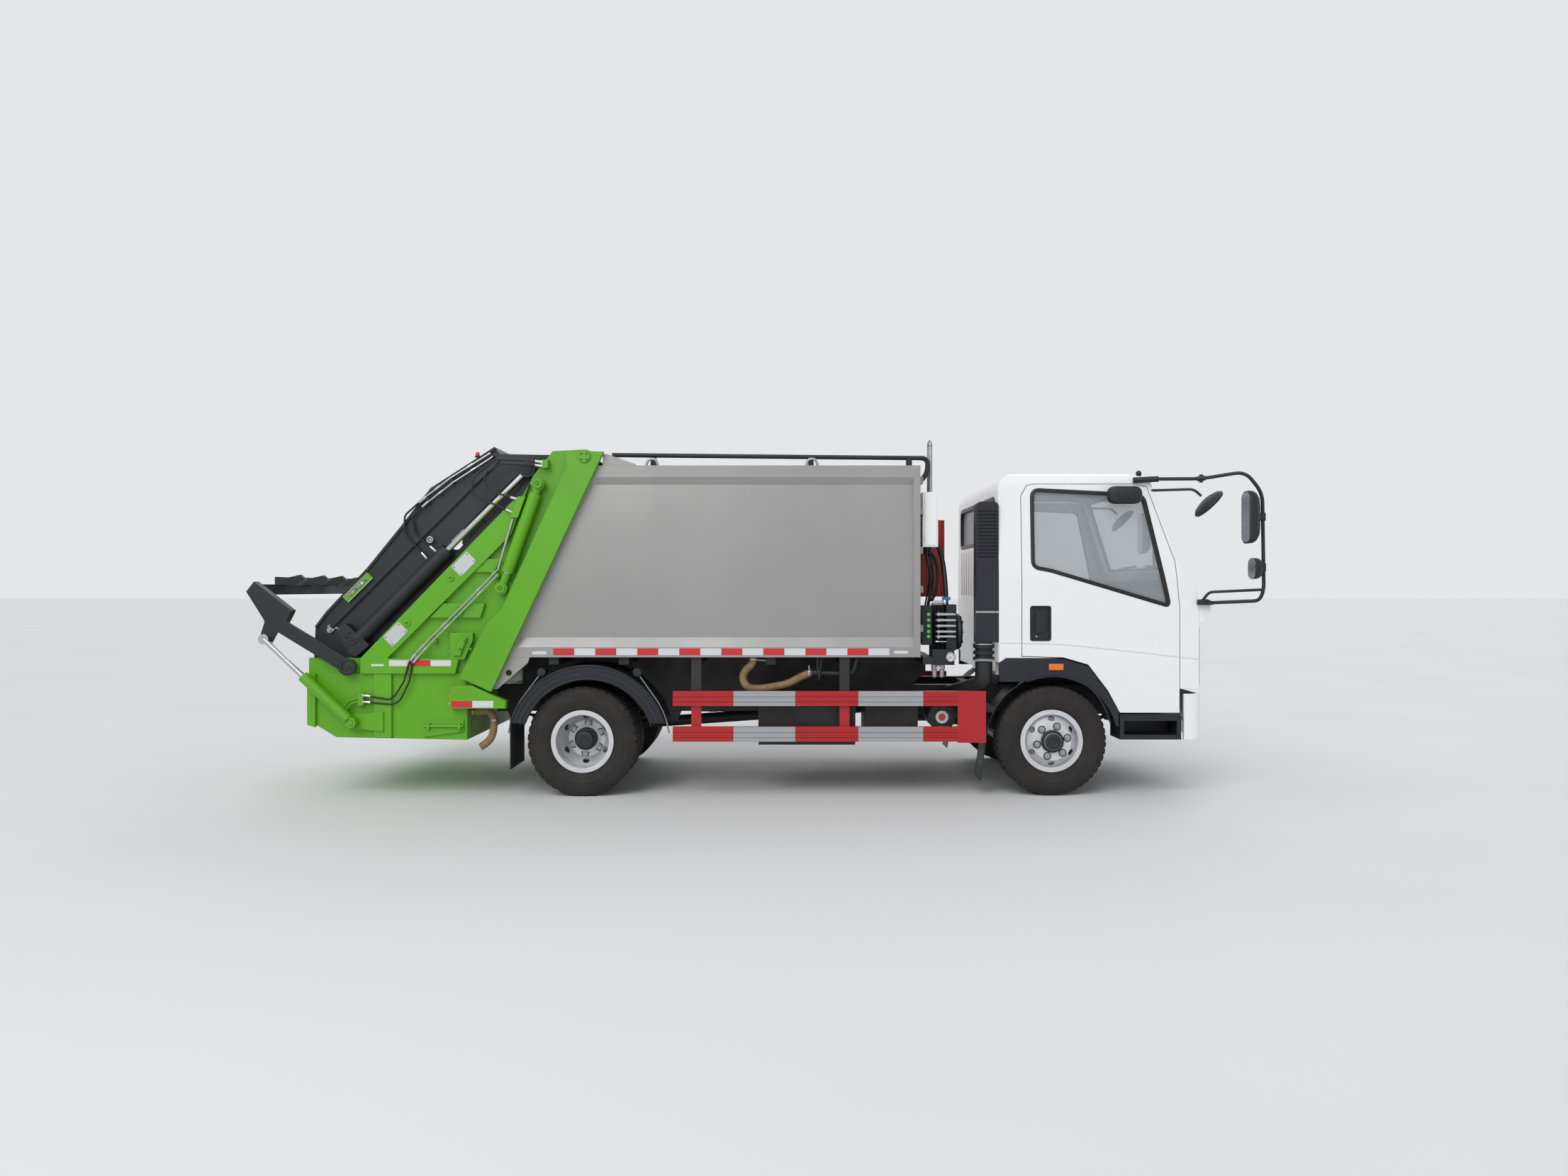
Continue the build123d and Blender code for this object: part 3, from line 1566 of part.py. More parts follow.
# Hopper: trough sheet, ramp, rear wall, ribs beneath
trough_x, trough_z = along_slope(sweeper_hinge_x, sweeper_hinge_z, -slide_stroke)
ramp_x = trough_x + trough_radius * sin(radians(slope))
ramp_z = trough_z - trough_radius * cos(radians(slope))
ramp_offset = ramp_z - ramp_x
ramp_top_x = (seam_x - (seam_z - ramp_offset) / seam_slope) / (1 - 1 / seam_slope) - seam_gap
ramp_top_z = ramp_top_x + ramp_offset
hopper_half = wall_inner_y - fit
lip_x = trough_x - sqrt(trough_radius**2 - (trough_z - belt_top_z) ** 2)

with BuildPart() as hopper:
    with BuildSketch(Plane.XZ.offset(-hopper_half)) as trough_outline:
        with BuildLine():
            Polyline(
                (lip_x, belt_top_z),
                (hopper_rear_x, belt_top_z),
                (hopper_rear_x, 510),
                (-3073, 510),
                (-2938, 428),
                (hopper_front_x, hopper_bottom_z),
                (hopper_front_x, 700),
                (ramp_top_x, ramp_top_z - 14),
                (ramp_top_x, ramp_top_z),
                (ramp_x, ramp_z),
            )
            ThreePointArc(
                (ramp_x, ramp_z),
                (trough_x, trough_z - trough_radius),
                (lip_x, belt_top_z),
            )
        make_face()
    extrude(trough_outline.sketch, amount=2 * hopper_half)
    for low_y, high_y in ((-840, -300), (-280, 280), (300, 840)):
        with BuildSketch(Plane.XZ.offset(-high_y)) as rib_space:
            with BuildLine():
                Polyline(
                    (hopper_rear_x + 10, belt_top_z - 40),
                    (hopper_rear_x + 10, 516),
                    (-3070, 518),
                    (-2936, 436),
                    (hopper_front_x - 10, hopper_bottom_z + 8),
                    (hopper_front_x - 10, ramp_z - 60),
                    close=True,
                )
            make_face()
            with Locations((trough_x, trough_z)):
                Circle(trough_radius + 10, mode=Mode.SUBTRACT)
        extrude(rib_space.sketch, amount=high_y - low_y, mode=Mode.SUBTRACT)
save(hopper, "hopper")

# Carriage: box-section slide plate with shoes, hinge lugs and the slide pins
carriage_half = 815
shoe_ups = ((120, 250), (620, 760))

with BuildPart() as slide_plate:
    plate(
        [
            slope_point(20, 60),
            slope_point(790, 60),
            slope_point(790, 250),
            slope_point(120, 250),
            slope_point(20, 170),
        ],
        -carriage_half,
        carriage_half,
    )
    plate(
        [
            slope_point(60, 95),
            slope_point(750, 95),
            slope_point(750, 215),
            slope_point(130, 215),
            slope_point(60, 160),
        ],
        -carriage_half + 20,
        carriage_half - 20,
        mode=Mode.SUBTRACT,
    )
    for low_up, high_up in shoe_ups:
        for side_y in (-1, 1):
            low_y, high_y = sorted((side_y * (carriage_half - 1), side_y * (wall_inner_y - fit)))
            plate(
                [
                    slope_point(low_up, guide_out - shoe_half_height),
                    slope_point(high_up, guide_out - shoe_half_height),
                    slope_point(high_up, guide_out + shoe_half_height),
                    slope_point(low_up, guide_out + shoe_half_height),
                ],
                low_y,
                high_y,
            )
    for lug_y in (-760, -240, 200, 720):
        plate(
            [
                slope_point(-30, 30),
                slope_point(-30, -30),
                slope_point(30, -45),
                slope_point(80, 62),
                slope_point(20, 80),
            ],
            lug_y,
            lug_y + 40,
        )
    disc(sweeper_hinge_x, sweeper_hinge_z, 24 + fit, -800, 800, mode=Mode.SUBTRACT)
save(slide_plate, "slide_plate")

with BuildPart() as slide_rods:
    rod_tail = along_slope(slide_pin_x, slide_pin_z, -slide_rod_length)
    bar(
        (slide_pin_x, -slide_cylinder_y, slide_pin_z),
        (rod_tail[0], -slide_cylinder_y, rod_tail[1]),
        slide_rod_radius,
    )
    disc(slide_pin_x, slide_pin_z, 56, slide_cylinder_y - 26, slide_cylinder_y + 26)
    disc(slide_pin_x, slide_pin_z, 32, wall_inner_y, slide_cylinder_y + 36)
    mirror(about=Plane.XZ)
save(slide_rods, "slide_rods")


# Sweeper: curved blade hung from the carriage's lugs
def from_hinge(distance, angle):
    """Point at a distance and angle from the raised sweeper hinge."""
    turn = radians(angle)
    return (sweeper_hinge_x + distance * cos(turn), sweeper_hinge_z + distance * sin(turn))


sweeper_half = 830
blade_angle = sweeper_closed_angle

with BuildPart() as sweeper:
    with BuildSketch(Plane.XZ.offset(-sweeper_half)) as blade_outline:
        with BuildLine():
            Line(from_hinge(48, blade_angle + 75), from_hinge(48, blade_angle - 75))
            ThreePointArc(
                from_hinge(48, blade_angle - 75),
                from_hinge(330, blade_angle - 14),
                from_hinge(sweeper_length, blade_angle - 1.2),
            )
            Line(from_hinge(sweeper_length, blade_angle - 1.2), from_hinge(sweeper_length, blade_angle))
            ThreePointArc(
                from_hinge(sweeper_length, blade_angle),
                from_hinge(330, blade_angle - 4),
                from_hinge(48, blade_angle + 75),
            )
        make_face()
    extrude(blade_outline.sketch, amount=2 * sweeper_half)
    disc(sweeper_hinge_x, sweeper_hinge_z, 50, -sweeper_half, sweeper_half)
    for lug_y in (-760, -240, 200, 720):
        disc(
            sweeper_hinge_x,
            sweeper_hinge_z,
            116,
            -lug_y - 40 - running_gap,
            -lug_y + running_gap,
            mode=Mode.SUBTRACT,
        )
    disc(sweeper_hinge_x, sweeper_hinge_z, 24, -780, 780)
save(sweeper, "sweeper")

# Tailgate lift cylinders
lift_length = sqrt((lift_upper_x - lift_lower_x) ** 2 + (lift_upper_z - lift_lower_z) ** 2)
lift_run = ((lift_lower_x - lift_upper_x) / lift_length, (lift_lower_z - lift_upper_z) / lift_length)


def along_lift(distance):
    """Point on the lift cylinder's line, measured from its upper eye."""
    return (lift_upper_x + lift_run[0] * distance, -lift_cylinder_y, lift_upper_z + lift_run[1] * distance)


lift_barrel_end = 664
eye_half_width = 20

with BuildPart() as lift_barrels:
    bar(along_lift(70), along_lift(lift_barrel_end), lift_barrel_radius)
    bar(along_lift(30), along_lift(72), 30)
    disc(lift_upper_x, lift_upper_z, 44, lift_cylinder_y - eye_half_width, lift_cylinder_y + eye_half_width)
    bar(along_lift(90), along_lift(lift_barrel_end + 5), lift_rod_radius + fit, mode=Mode.SUBTRACT)
    disc(lift_upper_x, lift_upper_z, 20 + fit, 900, 1100, mode=Mode.SUBTRACT)
    mirror(about=Plane.XZ)
save(lift_barrels, "lift_barrels")

lift_rod_start = 100

with BuildPart() as lift_rods:
    bar(along_lift(lift_rod_start), along_lift(lift_length), lift_rod_radius)
    disc(lift_lower_x, lift_lower_z, 44, lift_cylinder_y - 24, lift_cylinder_y + 24)
    mirror(about=Plane.XZ)
save(lift_rods, "lift_rods")

# Bin lifter: arms, end bushings and the hook frame behind the hopper
arm_width = 96
arm_length = sqrt((arm_end_x - boss_x) ** 2 + (arm_end_z - boss_z) ** 2)
arm_run = ((arm_end_x - boss_x) / arm_length, (arm_end_z - boss_z) / arm_length)
arm_side = (-arm_run[1], arm_run[0])


def arm_point(along, across):
    """Point beside the lifter arm's middle line, measured from its boss."""
    return (
        boss_x + arm_run[0] * along + arm_side[0] * across,
        boss_z + arm_run[1] * along + arm_side[1] * across,
    )


cross_tube_x = -3500
cross_tube_z = 1478
cross_tube_size = 75
hook_ys = (-620, -200, 160, 580)

with BuildPart() as lifter_frame:
    for side_y in (-1, 1):
        low_y, high_y = sorted((side_y * arm_inner_y, side_y * (arm_inner_y + arm_thickness)))
        plate(
            [
                arm_point(-20, -arm_width / 2),
                arm_point(arm_length, -arm_width / 2),
                arm_point(arm_length, arm_width / 2),
                arm_point(-20, arm_width / 2),
            ],
            low_y,
            high_y,
        )
        disc(boss_x, boss_z, 58, low_y, high_y)
        disc(arm_end_x, arm_end_z, 68, low_y, high_y)
        plate(
            [
                (arm_end_x + 40, arm_end_z - 40),
                (lifter_pin_x + 38, lifter_pin_z - 26),
                (lifter_pin_x - 36, lifter_pin_z - 30),
                (lifter_pin_x - 36, lifter_pin_z + 40),
                (arm_end_x - 62, arm_end_z + 10),
            ],
            low_y,
            high_y,
        )
        beam_low, beam_high = sorted((side_y * 945, side_y * (arm_inner_y + arm_thickness)))
        plate(
            [
                (-3556, 1464),
                (-3500, 1535),
                (-3235, 1330),
                (-3300, 1200),
                (-3400, 1215),
            ],
            beam_low,
            beam_high,
        )
        disc(boss_x, boss_z, 34 + fit, low_y - 1, high_y + 1, mode=Mode.SUBTRACT)
    block(
        (cross_tube_x - cross_tube_size / 2, cross_tube_x + cross_tube_size / 2),
        (-946, 946),
        (cross_tube_z - cross_tube_size / 2, cross_tube_z + cross_tube_size / 2),
    )
    for hook_y in hook_ys:
        plate(
            [
                (cross_tube_x - 40, cross_tube_z + 30),
                (cross_tube_x + 120, cross_tube_z + 30),
                (cross_tube_x + 190, cross_tube_z + 75),
                (cross_tube_x + 150, cross_tube_z + 110),
                (cross_tube_x + 60, cross_tube_z + 90),
                (cross_tube_x - 40, cross_tube_z + 95),
            ],
            hook_y,
            hook_y + 30,
        )
save(lifter_frame, "lifter_frame")

lifter_length = sqrt((lifter_pin_x - lifter_base_x) ** 2 + (lifter_pin_z - lifter_base_z) ** 2)
lifter_run = (
    (lifter_pin_x - lifter_base_x) / lifter_length,
    (lifter_pin_z - lifter_base_z) / lifter_length,
)


def along_lifter(distance):
    """Point on the bin lifter's cylinder line, measured from its base pin."""
    return (
        lifter_base_x + lifter_run[0] * distance,
        -lifter_cylinder_y,
        lifter_base_z + lifter_run[1] * distance,
    )


lifter_barrel_end = 470
lifter_rod_start = 240

with BuildPart() as lifter_barrels:
    bar(along_lifter(30), along_lifter(lifter_barrel_end), lifter_barrel_radius)
    disc(lifter_base_x, lifter_base_z, 40, lifter_cylinder_y - 24, lifter_cylinder_y + 24)
    bar(along_lifter(54), along_lifter(lifter_barrel_end + 5), lifter_rod_radius + fit, mode=Mode.SUBTRACT)
    disc(lifter_base_x, lifter_base_z, 20 + fit, 900, 1100, mode=Mode.SUBTRACT)
    mirror(about=Plane.XZ)
save(lifter_barrels, "lifter_barrels")

with BuildPart() as lifter_rods:
    bar(along_lifter(lifter_rod_start), along_lifter(lifter_length), lifter_rod_radius)
    disc(lifter_pin_x, lifter_pin_z, 36, lifter_cylinder_y - 18, lifter_cylinder_y + 18)
    mirror(about=Plane.XZ)
save(lifter_rods, "lifter_rods")

# Cab shell
cab_side_points = [
    (cab_rear_x, 900),
    (cab_rear_x, cab_roof_z),
    (2725, cab_roof_z),
    (2867, 2282),
    (3102, 1572),
    (3182, 1500),
    (cab_front_x, 1373),
    (cab_front_x, 771),
    (3079, 771),
    (3079, 590),
    (2500, 590),
    (2500, 900),
]


def cab_body(inset):
    """Cab solid drawn inwards by an inset: side profile crossed with front profile."""
    with BuildPart() as form:
        with BuildSketch(Plane.XZ) as side_view:
            with BuildLine():
                Polyline(
                    (cab_rear_x + inset, 400),
                    (cab_rear_x + inset, cab_roof_z - inset),
                    (2725 + inset * 0.1, cab_roof_z - inset),
                    (2867 - inset * 0.75, 2282 - inset),
                    (3102 - inset * 0.85, 1572 - inset * 0.5),
                    (3182 - inset * 0.85, 1500 - inset * 0.6),
                    (cab_front_x - inset, 1373 - inset * 0.1),
                    (cab_front_x - inset, 400),
                    close=True,
                )
            make_face()
            upper_rear = side_view.vertices().sort_by(Axis.X)[:2].sort_by(Axis.Y)[-1]
            fillet(upper_rear, radius=120 - inset)
        extrude(side_view.sketch, amount=cab_half_width + 10, both=True)
        with BuildSketch(Plane.YZ) as front_view:
            with BuildLine():
                Polyline(
                    (-cab_half_width + inset, 390),
                    (-cab_half_width + inset, 1560),
                    (-cab_roof_half_width + inset, cab_roof_z - inset + 6),
                    (cab_roof_half_width - inset, cab_roof_z - inset + 6),
                    (cab_half_width - inset, 1560),
                    (cab_half_width - inset, 390),
                    close=True,
                )
            make_face()
            top_corners = front_view.vertices().group_by(Axis.Y)[-1]
            fillet(top_corners, radius=100 - inset)
        extrude(front_view.sketch, amount=3300, mode=Mode.INTERSECT)
    return form.part


cab_outer = cab_body(0)
cab_inner = cab_body(cab_wall)

door_outline = [
    (1941, 998),
    (1941, 2147),
    (1985, 2228),
    (2036, 2238),
    (2744, 2238),
    (2850, 2218),
    (3042, 1677),
    (3073, 1347),
    (3073, 594),
    (2641, 594),
    (2554, 754),
    (2414, 938),
    (2240, 988),
]
window_outline = [
    (2031, 1642),
    (2031, 2186),
    (2815, 2147),
    (2981, 1398),
    (2981, 1373),
    (2137, 1626),
]
screen_plane = Plane(origin=(3102, 0, 1572), x_dir=(0, 1, 0), z_dir=(710, 0, 235))
windscreen_outline = [(-800, 60), (800, 60), (760, 690), (-760, 690)]
rear_pane_z = (1840, 2135)
mirror_foot = [(3178, 1368), (3290, 1368), (3290, 1320), (3235, 1245), (3178, 1245)]

with BuildPart() as cab_shell:
    add(cab_outer)
    add(cab_inner, mode=Mode.SUBTRACT)
    for side_y in (-1, 1):
        low_y, high_y = sorted((side_y * (cab_half_width - 130), side_y * (cab_half_width + 20)))
        plate(door_outline, low_y, high_y, mode=Mode.SUBTRACT)
        plate(
            [
                (1700, 390),
                (1700, 900),
                (1830, 989),
                (2300, 989),
                (3073, 989),
                (3073, 771),
                (3300, 771),
                (3300, 390),
            ],
            low_y,
            high_y,
            mode=Mode.SUBTRACT,
        )
    block((1700, 3300), (-810, 810), (380, 860), mode=Mode.SUBTRACT)
    block((cab_rear_x - 10, cab_rear_x + cab_wall + 1), (-760, 760), rear_pane_z, mode=Mode.SUBTRACT)
    for rib_index in range(-6, 7):
        rib_y = rib_index * 115
        block((cab_rear_x - 14, cab_rear_x + 1), (rib_y - 28, rib_y + 28), (1430, 1790))
    plate([(2235, 2310), (2300, 2374), (2500, 2372), (2565, 2310)], -300, 300)
    with BuildSketch(screen_plane) as screen_hole:
        with BuildLine():
            Polyline(windscreen_outline, close=True)
        make_face()
    extrude(screen_hole.sketch, amount=90, both=True, mode=Mode.SUBTRACT)
    for low_y, high_y in ((870, 938), (-938, -870)):
        plate(mirror_foot, low_y, high_y)
save(cab_shell, "cab_shell")

with BuildPart() as cab_floor:
    block((cab_rear_x + cab_wall + fit, 3156), (-884, 884), (862, 880))
    block((3080, 3156), (-889.7, 889.7), (862, 880))
    block((1840, 2720), (-330, 330), (878, 1100 - fit))
    block((1820, 2700), (-300, 300), (840, 1060), mode=Mode.SUBTRACT)
    for arm_low, arm_high in (pivot_arm_y, (-pivot_arm_y[1], -pivot_arm_y[0])):
        plate(
            [
                (cab_pivot_x - 20, cab_pivot_z - 25),
                (cab_pivot_x + 26, cab_pivot_z - 10),
                (cab_pivot_x + 16, cab_pivot_z + 30),
                (2990, 870),
                (2880, 870),
            ],
            arm_low,
            arm_high,
        )
        disc(
            cab_pivot_x,
            cab_pivot_z,
            pivot_pin_radius + fit,
            arm_low - 1,
            arm_high + 1,
            mode=Mode.SUBTRACT,
        )
    for low_y, high_y in ((-770, -340), (340, 760)):
        block((1850, 2440), (low_y, high_y), (870, 1100 - fit))
save(cab_floor, "cab_floor")


def door_shape(side):
    """Door cut from the cab's wall, with its window opening and handle recess."""
    low_y, high_y = sorted((side * (cab_half_width - 130), side * (cab_half_width + 20)))
    glass_low, glass_high = sorted((side * (cab_half_width - 140), side * (cab_half_width + 30)))
    with BuildPart() as form:
        add(cab_outer)
        add(cab_inner, mode=Mode.SUBTRACT)
        with BuildSketch(Plane.XZ.offset(low_y)) as outline:
            with BuildLine():
                Polyline(door_outline, close=True)
            make_face()
            offset(amount=-panel_gap, kind=Kind.INTERSECTION)
        extrude(outline.sketch, amount=high_y - low_y, mode=Mode.INTERSECT)
        plate(window_outline, glass_low, glass_high, mode=Mode.SUBTRACT)
        recess = sorted((side * (cab_half_width - 18), side * (cab_half_width + 5)))
        plate(
            [(2007, 1116), (2146, 1116), (2146, 1356), (2007, 1356)],
            recess[0],
            recess[1],
            mode=Mode.SUBTRACT,
        )
    return form.part


def door_glass_shape(side):
    """Side window pane set in the middle of the door's thickness."""
    low_y, high_y = sorted((side * (cab_half_width - 130), side * (cab_half_width + 20)))
    with BuildPart() as form:
        add(cab_body(20))
        add(cab_body(20 + glass_thickness), mode=Mode.SUBTRACT)
        with BuildSketch(Plane.XZ.offset(low_y)) as outline:
            with BuildLine():
                Polyline(window_outline, close=True)
            make_face()
            offset(amount=-fit, kind=Kind.INTERSECTION)
        extrude(outline.sketch, amount=high_y - low_y, mode=Mode.INTERSECT)
    return form.part


for side_name, side in (("right", 1), ("left", -1)):
    with BuildPart() as door:
        add(door_shape(side))
    save(door, f"door_{side_name}")
    with BuildPart() as door_glass:
        add(door_glass_shape(side))
    save(door_glass, f"door_glass_{side_name}")

# Blind-spot mirror that hangs from the right door's upper frame
with BuildPart() as door_mirror:
    with Locations((2665, -cab_half_width - 45, 2150)):
        Box(250, 66, 130)
    fillet(door_mirror.edges(), radius=28)
    bar((2640, -cab_half_width + 45.6, 2200), (2640, -cab_half_width - 45, 2200), 10)
save(door_mirror, "door_mirror")

with BuildPart() as cab_glass:
    with BuildSketch(screen_plane.offset(-16)) as screen_pane:
        with BuildLine():
            Polyline(windscreen_outline, close=True)
        make_face()
        offset(amount=-fit, kind=Kind.INTERSECTION)
    extrude(screen_pane.sketch, amount=-glass_thickness)
    block(
        (1800, 1800 + glass_thickness),
        (-760 + fit, 760 - fit),
        (rear_pane_z[0] + fit, rear_pane_z[1] - fit),
    )
save(cab_glass, "cab_glass")

# Wheel arch mouldings with the liner over the front wheels
arch_radius = 466
arch_z = axle_z - 6

with BuildPart() as wheel_arches:
    plate(
        [
            (1785, 850),
            (1785, 953),
            (1830, 988.7),
            (1936, 988.7),
            (2239, 982),
            (2411, 932),
            (2549, 749),
            (2634, 594),
            (2634, 500),
            (1785, 500),
        ],
        cab_half_width - 40,
        cab_half_width + 4,
    )
    disc(front_axle_x, arch_z, arch_radius, cab_half_width - 50, cab_half_width + 20, mode=Mode.SUBTRACT)
    block((1700, 1995), (-cab_half_width - 20, -cab_half_width + 50), (390, 820), mode=Mode.SUBTRACT)
    mirror(about=Plane.XZ)
save(wheel_arches, "wheel_arches")

# Snorkel with louvred head and bellows on the cab's rear corner
snorkel_x = 1620
bellows_x = 1684

with BuildPart() as snorkel:
    block((snorkel_x, cab_rear_x - fit), (-930, -815), (1100, 2106))
    fillet(snorkel.edges().filter_by(Axis.Y).group_by(Axis.Z)[-1], radius=32)
    for louvre_index in range(14):
        louvre_z = 2030 - louvre_index * 25
        block(
            (snorkel_x + 14, cab_rear_x - 14),
            (-935, -920),
            (louvre_z, louvre_z + 13),
            mode=Mode.SUBTRACT,
        )
    for fold_index in range(6):
        fold_z = 970 + fold_index * 22
        with BuildSketch(Plane.XY.offset(fold_z)) as fold:
            with Locations((bellows_x, -865)):
                Circle(76 if fold_index % 2 == 0 else 62)
        extrude(fold.sketch, amount=23)
save(snorkel, "snorkel")

# Front panel, lamps, dashboard, seats, steering wheel
with BuildPart() as front_panel:
    block((cab_front_x, cab_front_x + 18), (-600, 600), (820, 1180))
    for slat_index in range(5):
        slat_z = 850 + slat_index * 62
        block((cab_front_x + 6, cab_front_x + 20), (-560, 560), (slat_z, slat_z + 40), mode=Mode.SUBTRACT)
save(front_panel, "front_panel")

with BuildPart() as headlamps:
    plate(
        [(cab_front_x, 790), (cab_front_x + 20, 800), (cab_front_x + 20, 1200), (cab_front_x, 1235)],
        640,
        900,
    )
    mirror(about=Plane.XZ)
save(headlamps, "headlamps")

with BuildPart() as dashboard:
    plate(
        [
            (2760, 1190),
            (2800, 1330),
            (2960, 1370),
            (3040, 1370),
            (3120, 1250),
            (3120, 880),
            (2900, 880),
            (2850, 1100),
        ],
        -850,
        850,
    )
    bar((2800, 500, 1150), (2620, 500, 1300), 24)
    wheel_plane = Plane(origin=(2595, 500, 1322), z_dir=(-180, 0, 150))
    with BuildSketch(
        Plane(origin=(2595, 500 - 205, 1322), x_dir=(0, 1, 0), z_dir=(150, 0, 180)),
    ) as rim_ring:
        Circle(14)
    revolve(rim_ring.sketch, axis=Axis((2595, 500, 1322), (-180, 0, 150)))
    bar((2620, 500, 1300), (2590, 500, 1326), 45)
    for spoke_angle in (90, 210, 330):
        end = wheel_plane.from_local_coords(
            Vector(200 * cos(radians(spoke_angle)), 200 * sin(radians(spoke_angle)), 0),
        )
        bar((2600, 500, 1318), (end.X, end.Y, end.Z), 10)
save(dashboard, "dashboard")

seat_table = [
    # lowest y, highest y
    (-770, -350),
    (-340, 120),
    (300, 760),
]

with BuildPart() as seats:
    for low_y, high_y in seat_table:
        block((1990, 2440), (low_y, high_y), (1100, 1220))
        block((1880, 1990 - fit), (low_y, high_y), (1180, 1800))
save(seats, "seats")

# Mirrors: bent tubes and heads on both sides
mirror_tube_radius = 13

with BuildPart() as mirrors:
    tube(
        [
            (2800, -905, 2270),
            (3196, -1010, 2262),
            (3460, -1130, 2300),
            (3570, -1150, 2150),
            (3582, -1150, 1480),
            (3560, -1130, 1400),
            (3290, -980, 1385),
        ],
        [60, 60, 60, 30, 40],
        mirror_tube_radius,
    )
    block((2745, 2870), (-915, -870), (2243, 2290))
    block((3204, 3300), (-990, -875), (mirror_foot[0][1] + fit, 1410))
    tube([(3583, -1150, 1478), (3262, -985, 1460), (3225, -960, 1400)], [30], 10)
    block((3450, 3525), (-1230, -1070), (1797, 2164))
    block((3500, 3560), (-1220, -1080), (1551, 1698))
    # Look-down mirror on its own arm from the screen pillar
    tube([(2880, -880, 2185), (3150, -990, 2185), (3215, -1010, 2110)], [30], 10)
    bar((3261, -1021, 2095), (3239, -999, 2076), 96)
    for clamp_z in (1630, 1870, 2090):
        block((3515, 3578), (-1158, -1142), (clamp_z - 12, clamp_z + 12))
    mirror(about=Plane.XZ)
    add(cab_outer, mode=Mode.SUBTRACT)
save(mirrors, "mirrors")
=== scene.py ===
"""Blender scene of the rear-loading garbage truck, in metres, on the CAD model's frame."""
import json
import math

import bmesh
import bpy
from mathutils import Matrix, Vector


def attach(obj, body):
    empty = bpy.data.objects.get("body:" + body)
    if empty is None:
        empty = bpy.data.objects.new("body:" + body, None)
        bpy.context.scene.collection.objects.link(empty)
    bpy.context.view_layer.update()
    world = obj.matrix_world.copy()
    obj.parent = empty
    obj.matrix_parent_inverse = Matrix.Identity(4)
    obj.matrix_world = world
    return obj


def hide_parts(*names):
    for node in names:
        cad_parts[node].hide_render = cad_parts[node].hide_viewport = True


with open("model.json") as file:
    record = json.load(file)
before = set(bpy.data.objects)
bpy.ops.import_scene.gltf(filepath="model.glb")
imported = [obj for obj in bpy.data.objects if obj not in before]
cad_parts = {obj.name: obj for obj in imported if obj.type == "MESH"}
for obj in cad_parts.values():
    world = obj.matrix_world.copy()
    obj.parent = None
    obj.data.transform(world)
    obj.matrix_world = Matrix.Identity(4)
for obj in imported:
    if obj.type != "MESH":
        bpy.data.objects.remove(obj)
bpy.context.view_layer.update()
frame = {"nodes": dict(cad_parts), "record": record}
nodes = frame["nodes"]
SIDES = (("right", -1), ("left", 1))

# Places repeated from the CAD model
FRONT_AXLE_X = 2.164
REAR_AXLE_X = -1.196
AXLE_Z = 0.392
FRONT_WHEEL_Y = 0.822
REAR_OUTER_Y = 0.852
TWIN_SPACING = 0.245
BOLT_CIRCLE = 0.111
BODY_SIDE_Y = 0.985
BAND_Y = 1.0
WALL_Y = 0.87
CAB_SIDE_Y = 0.94
CAB_ROOF_SIDE_Y = 0.885
CAB_WAIST_Z = 1.56
CAB_TOP_Z = 2.318
PACKING_SLOPE = math.radians(45)
# How far a part that lies on a face sinks into it
SINK = 0.0005


# Shader groups shared by the materials

def connect(tree, source, output, target, socket):
    """Join one node's output to another one's socket."""
    tree.links.new(source.outputs[output], target.inputs[socket])


def new_group(name, inputs, output, output_type):
    """Empty shader group with named inputs, one output and object coordinates."""
    group = bpy.data.node_groups.new(name, "ShaderNodeTree")
    for socket_name, socket_type in inputs:
        group.interface.new_socket(socket_name, in_out="INPUT", socket_type=socket_type)
    group.interface.new_socket(output, in_out="OUTPUT", socket_type=output_type)
    return group, group.nodes.new("NodeGroupInput"), group.nodes.new("NodeGroupOutput")


def group_noise(group, given, detail):
    """Noise on object coordinates, stretched and scaled by the group's inputs."""
    place = group.nodes.new("ShaderNodeTexCoord")
    mapping = group.nodes.new("ShaderNodeMapping")
    noise = group.nodes.new("ShaderNodeTexNoise")
    noise.inputs["Detail"].default_value = detail
    connect(group, place, "Object", mapping, "Vector")
    connect(group, given, "Stretch", mapping, "Scale")
    connect(group, given, "Scale", noise, "Scale")
    connect(group, mapping, "Vector", noise, "Vector")
    return noise


def make_drift_group():
    """A value that wanders softly between a low and a high one."""
    inputs = [(name, "NodeSocketFloat") for name in ("Scale", "Low", "High")]
    group, given, out = new_group(
        "value drift", inputs + [("Stretch", "NodeSocketVector")], "Value", "NodeSocketFloat"
    )
    noise = group_noise(group, given, 3)
    spread = group.nodes.new("ShaderNodeMapRange")
    spread.inputs["From Min"].default_value = 0.3
    spread.inputs["From Max"].default_value = 0.7
    connect(group, noise, "Fac", spread, "Value")
    connect(group, given, "Low", spread, "To Min")
    connect(group, given, "High", spread, "To Max")
    connect(group, spread, "Result", out, "Value")
    return group


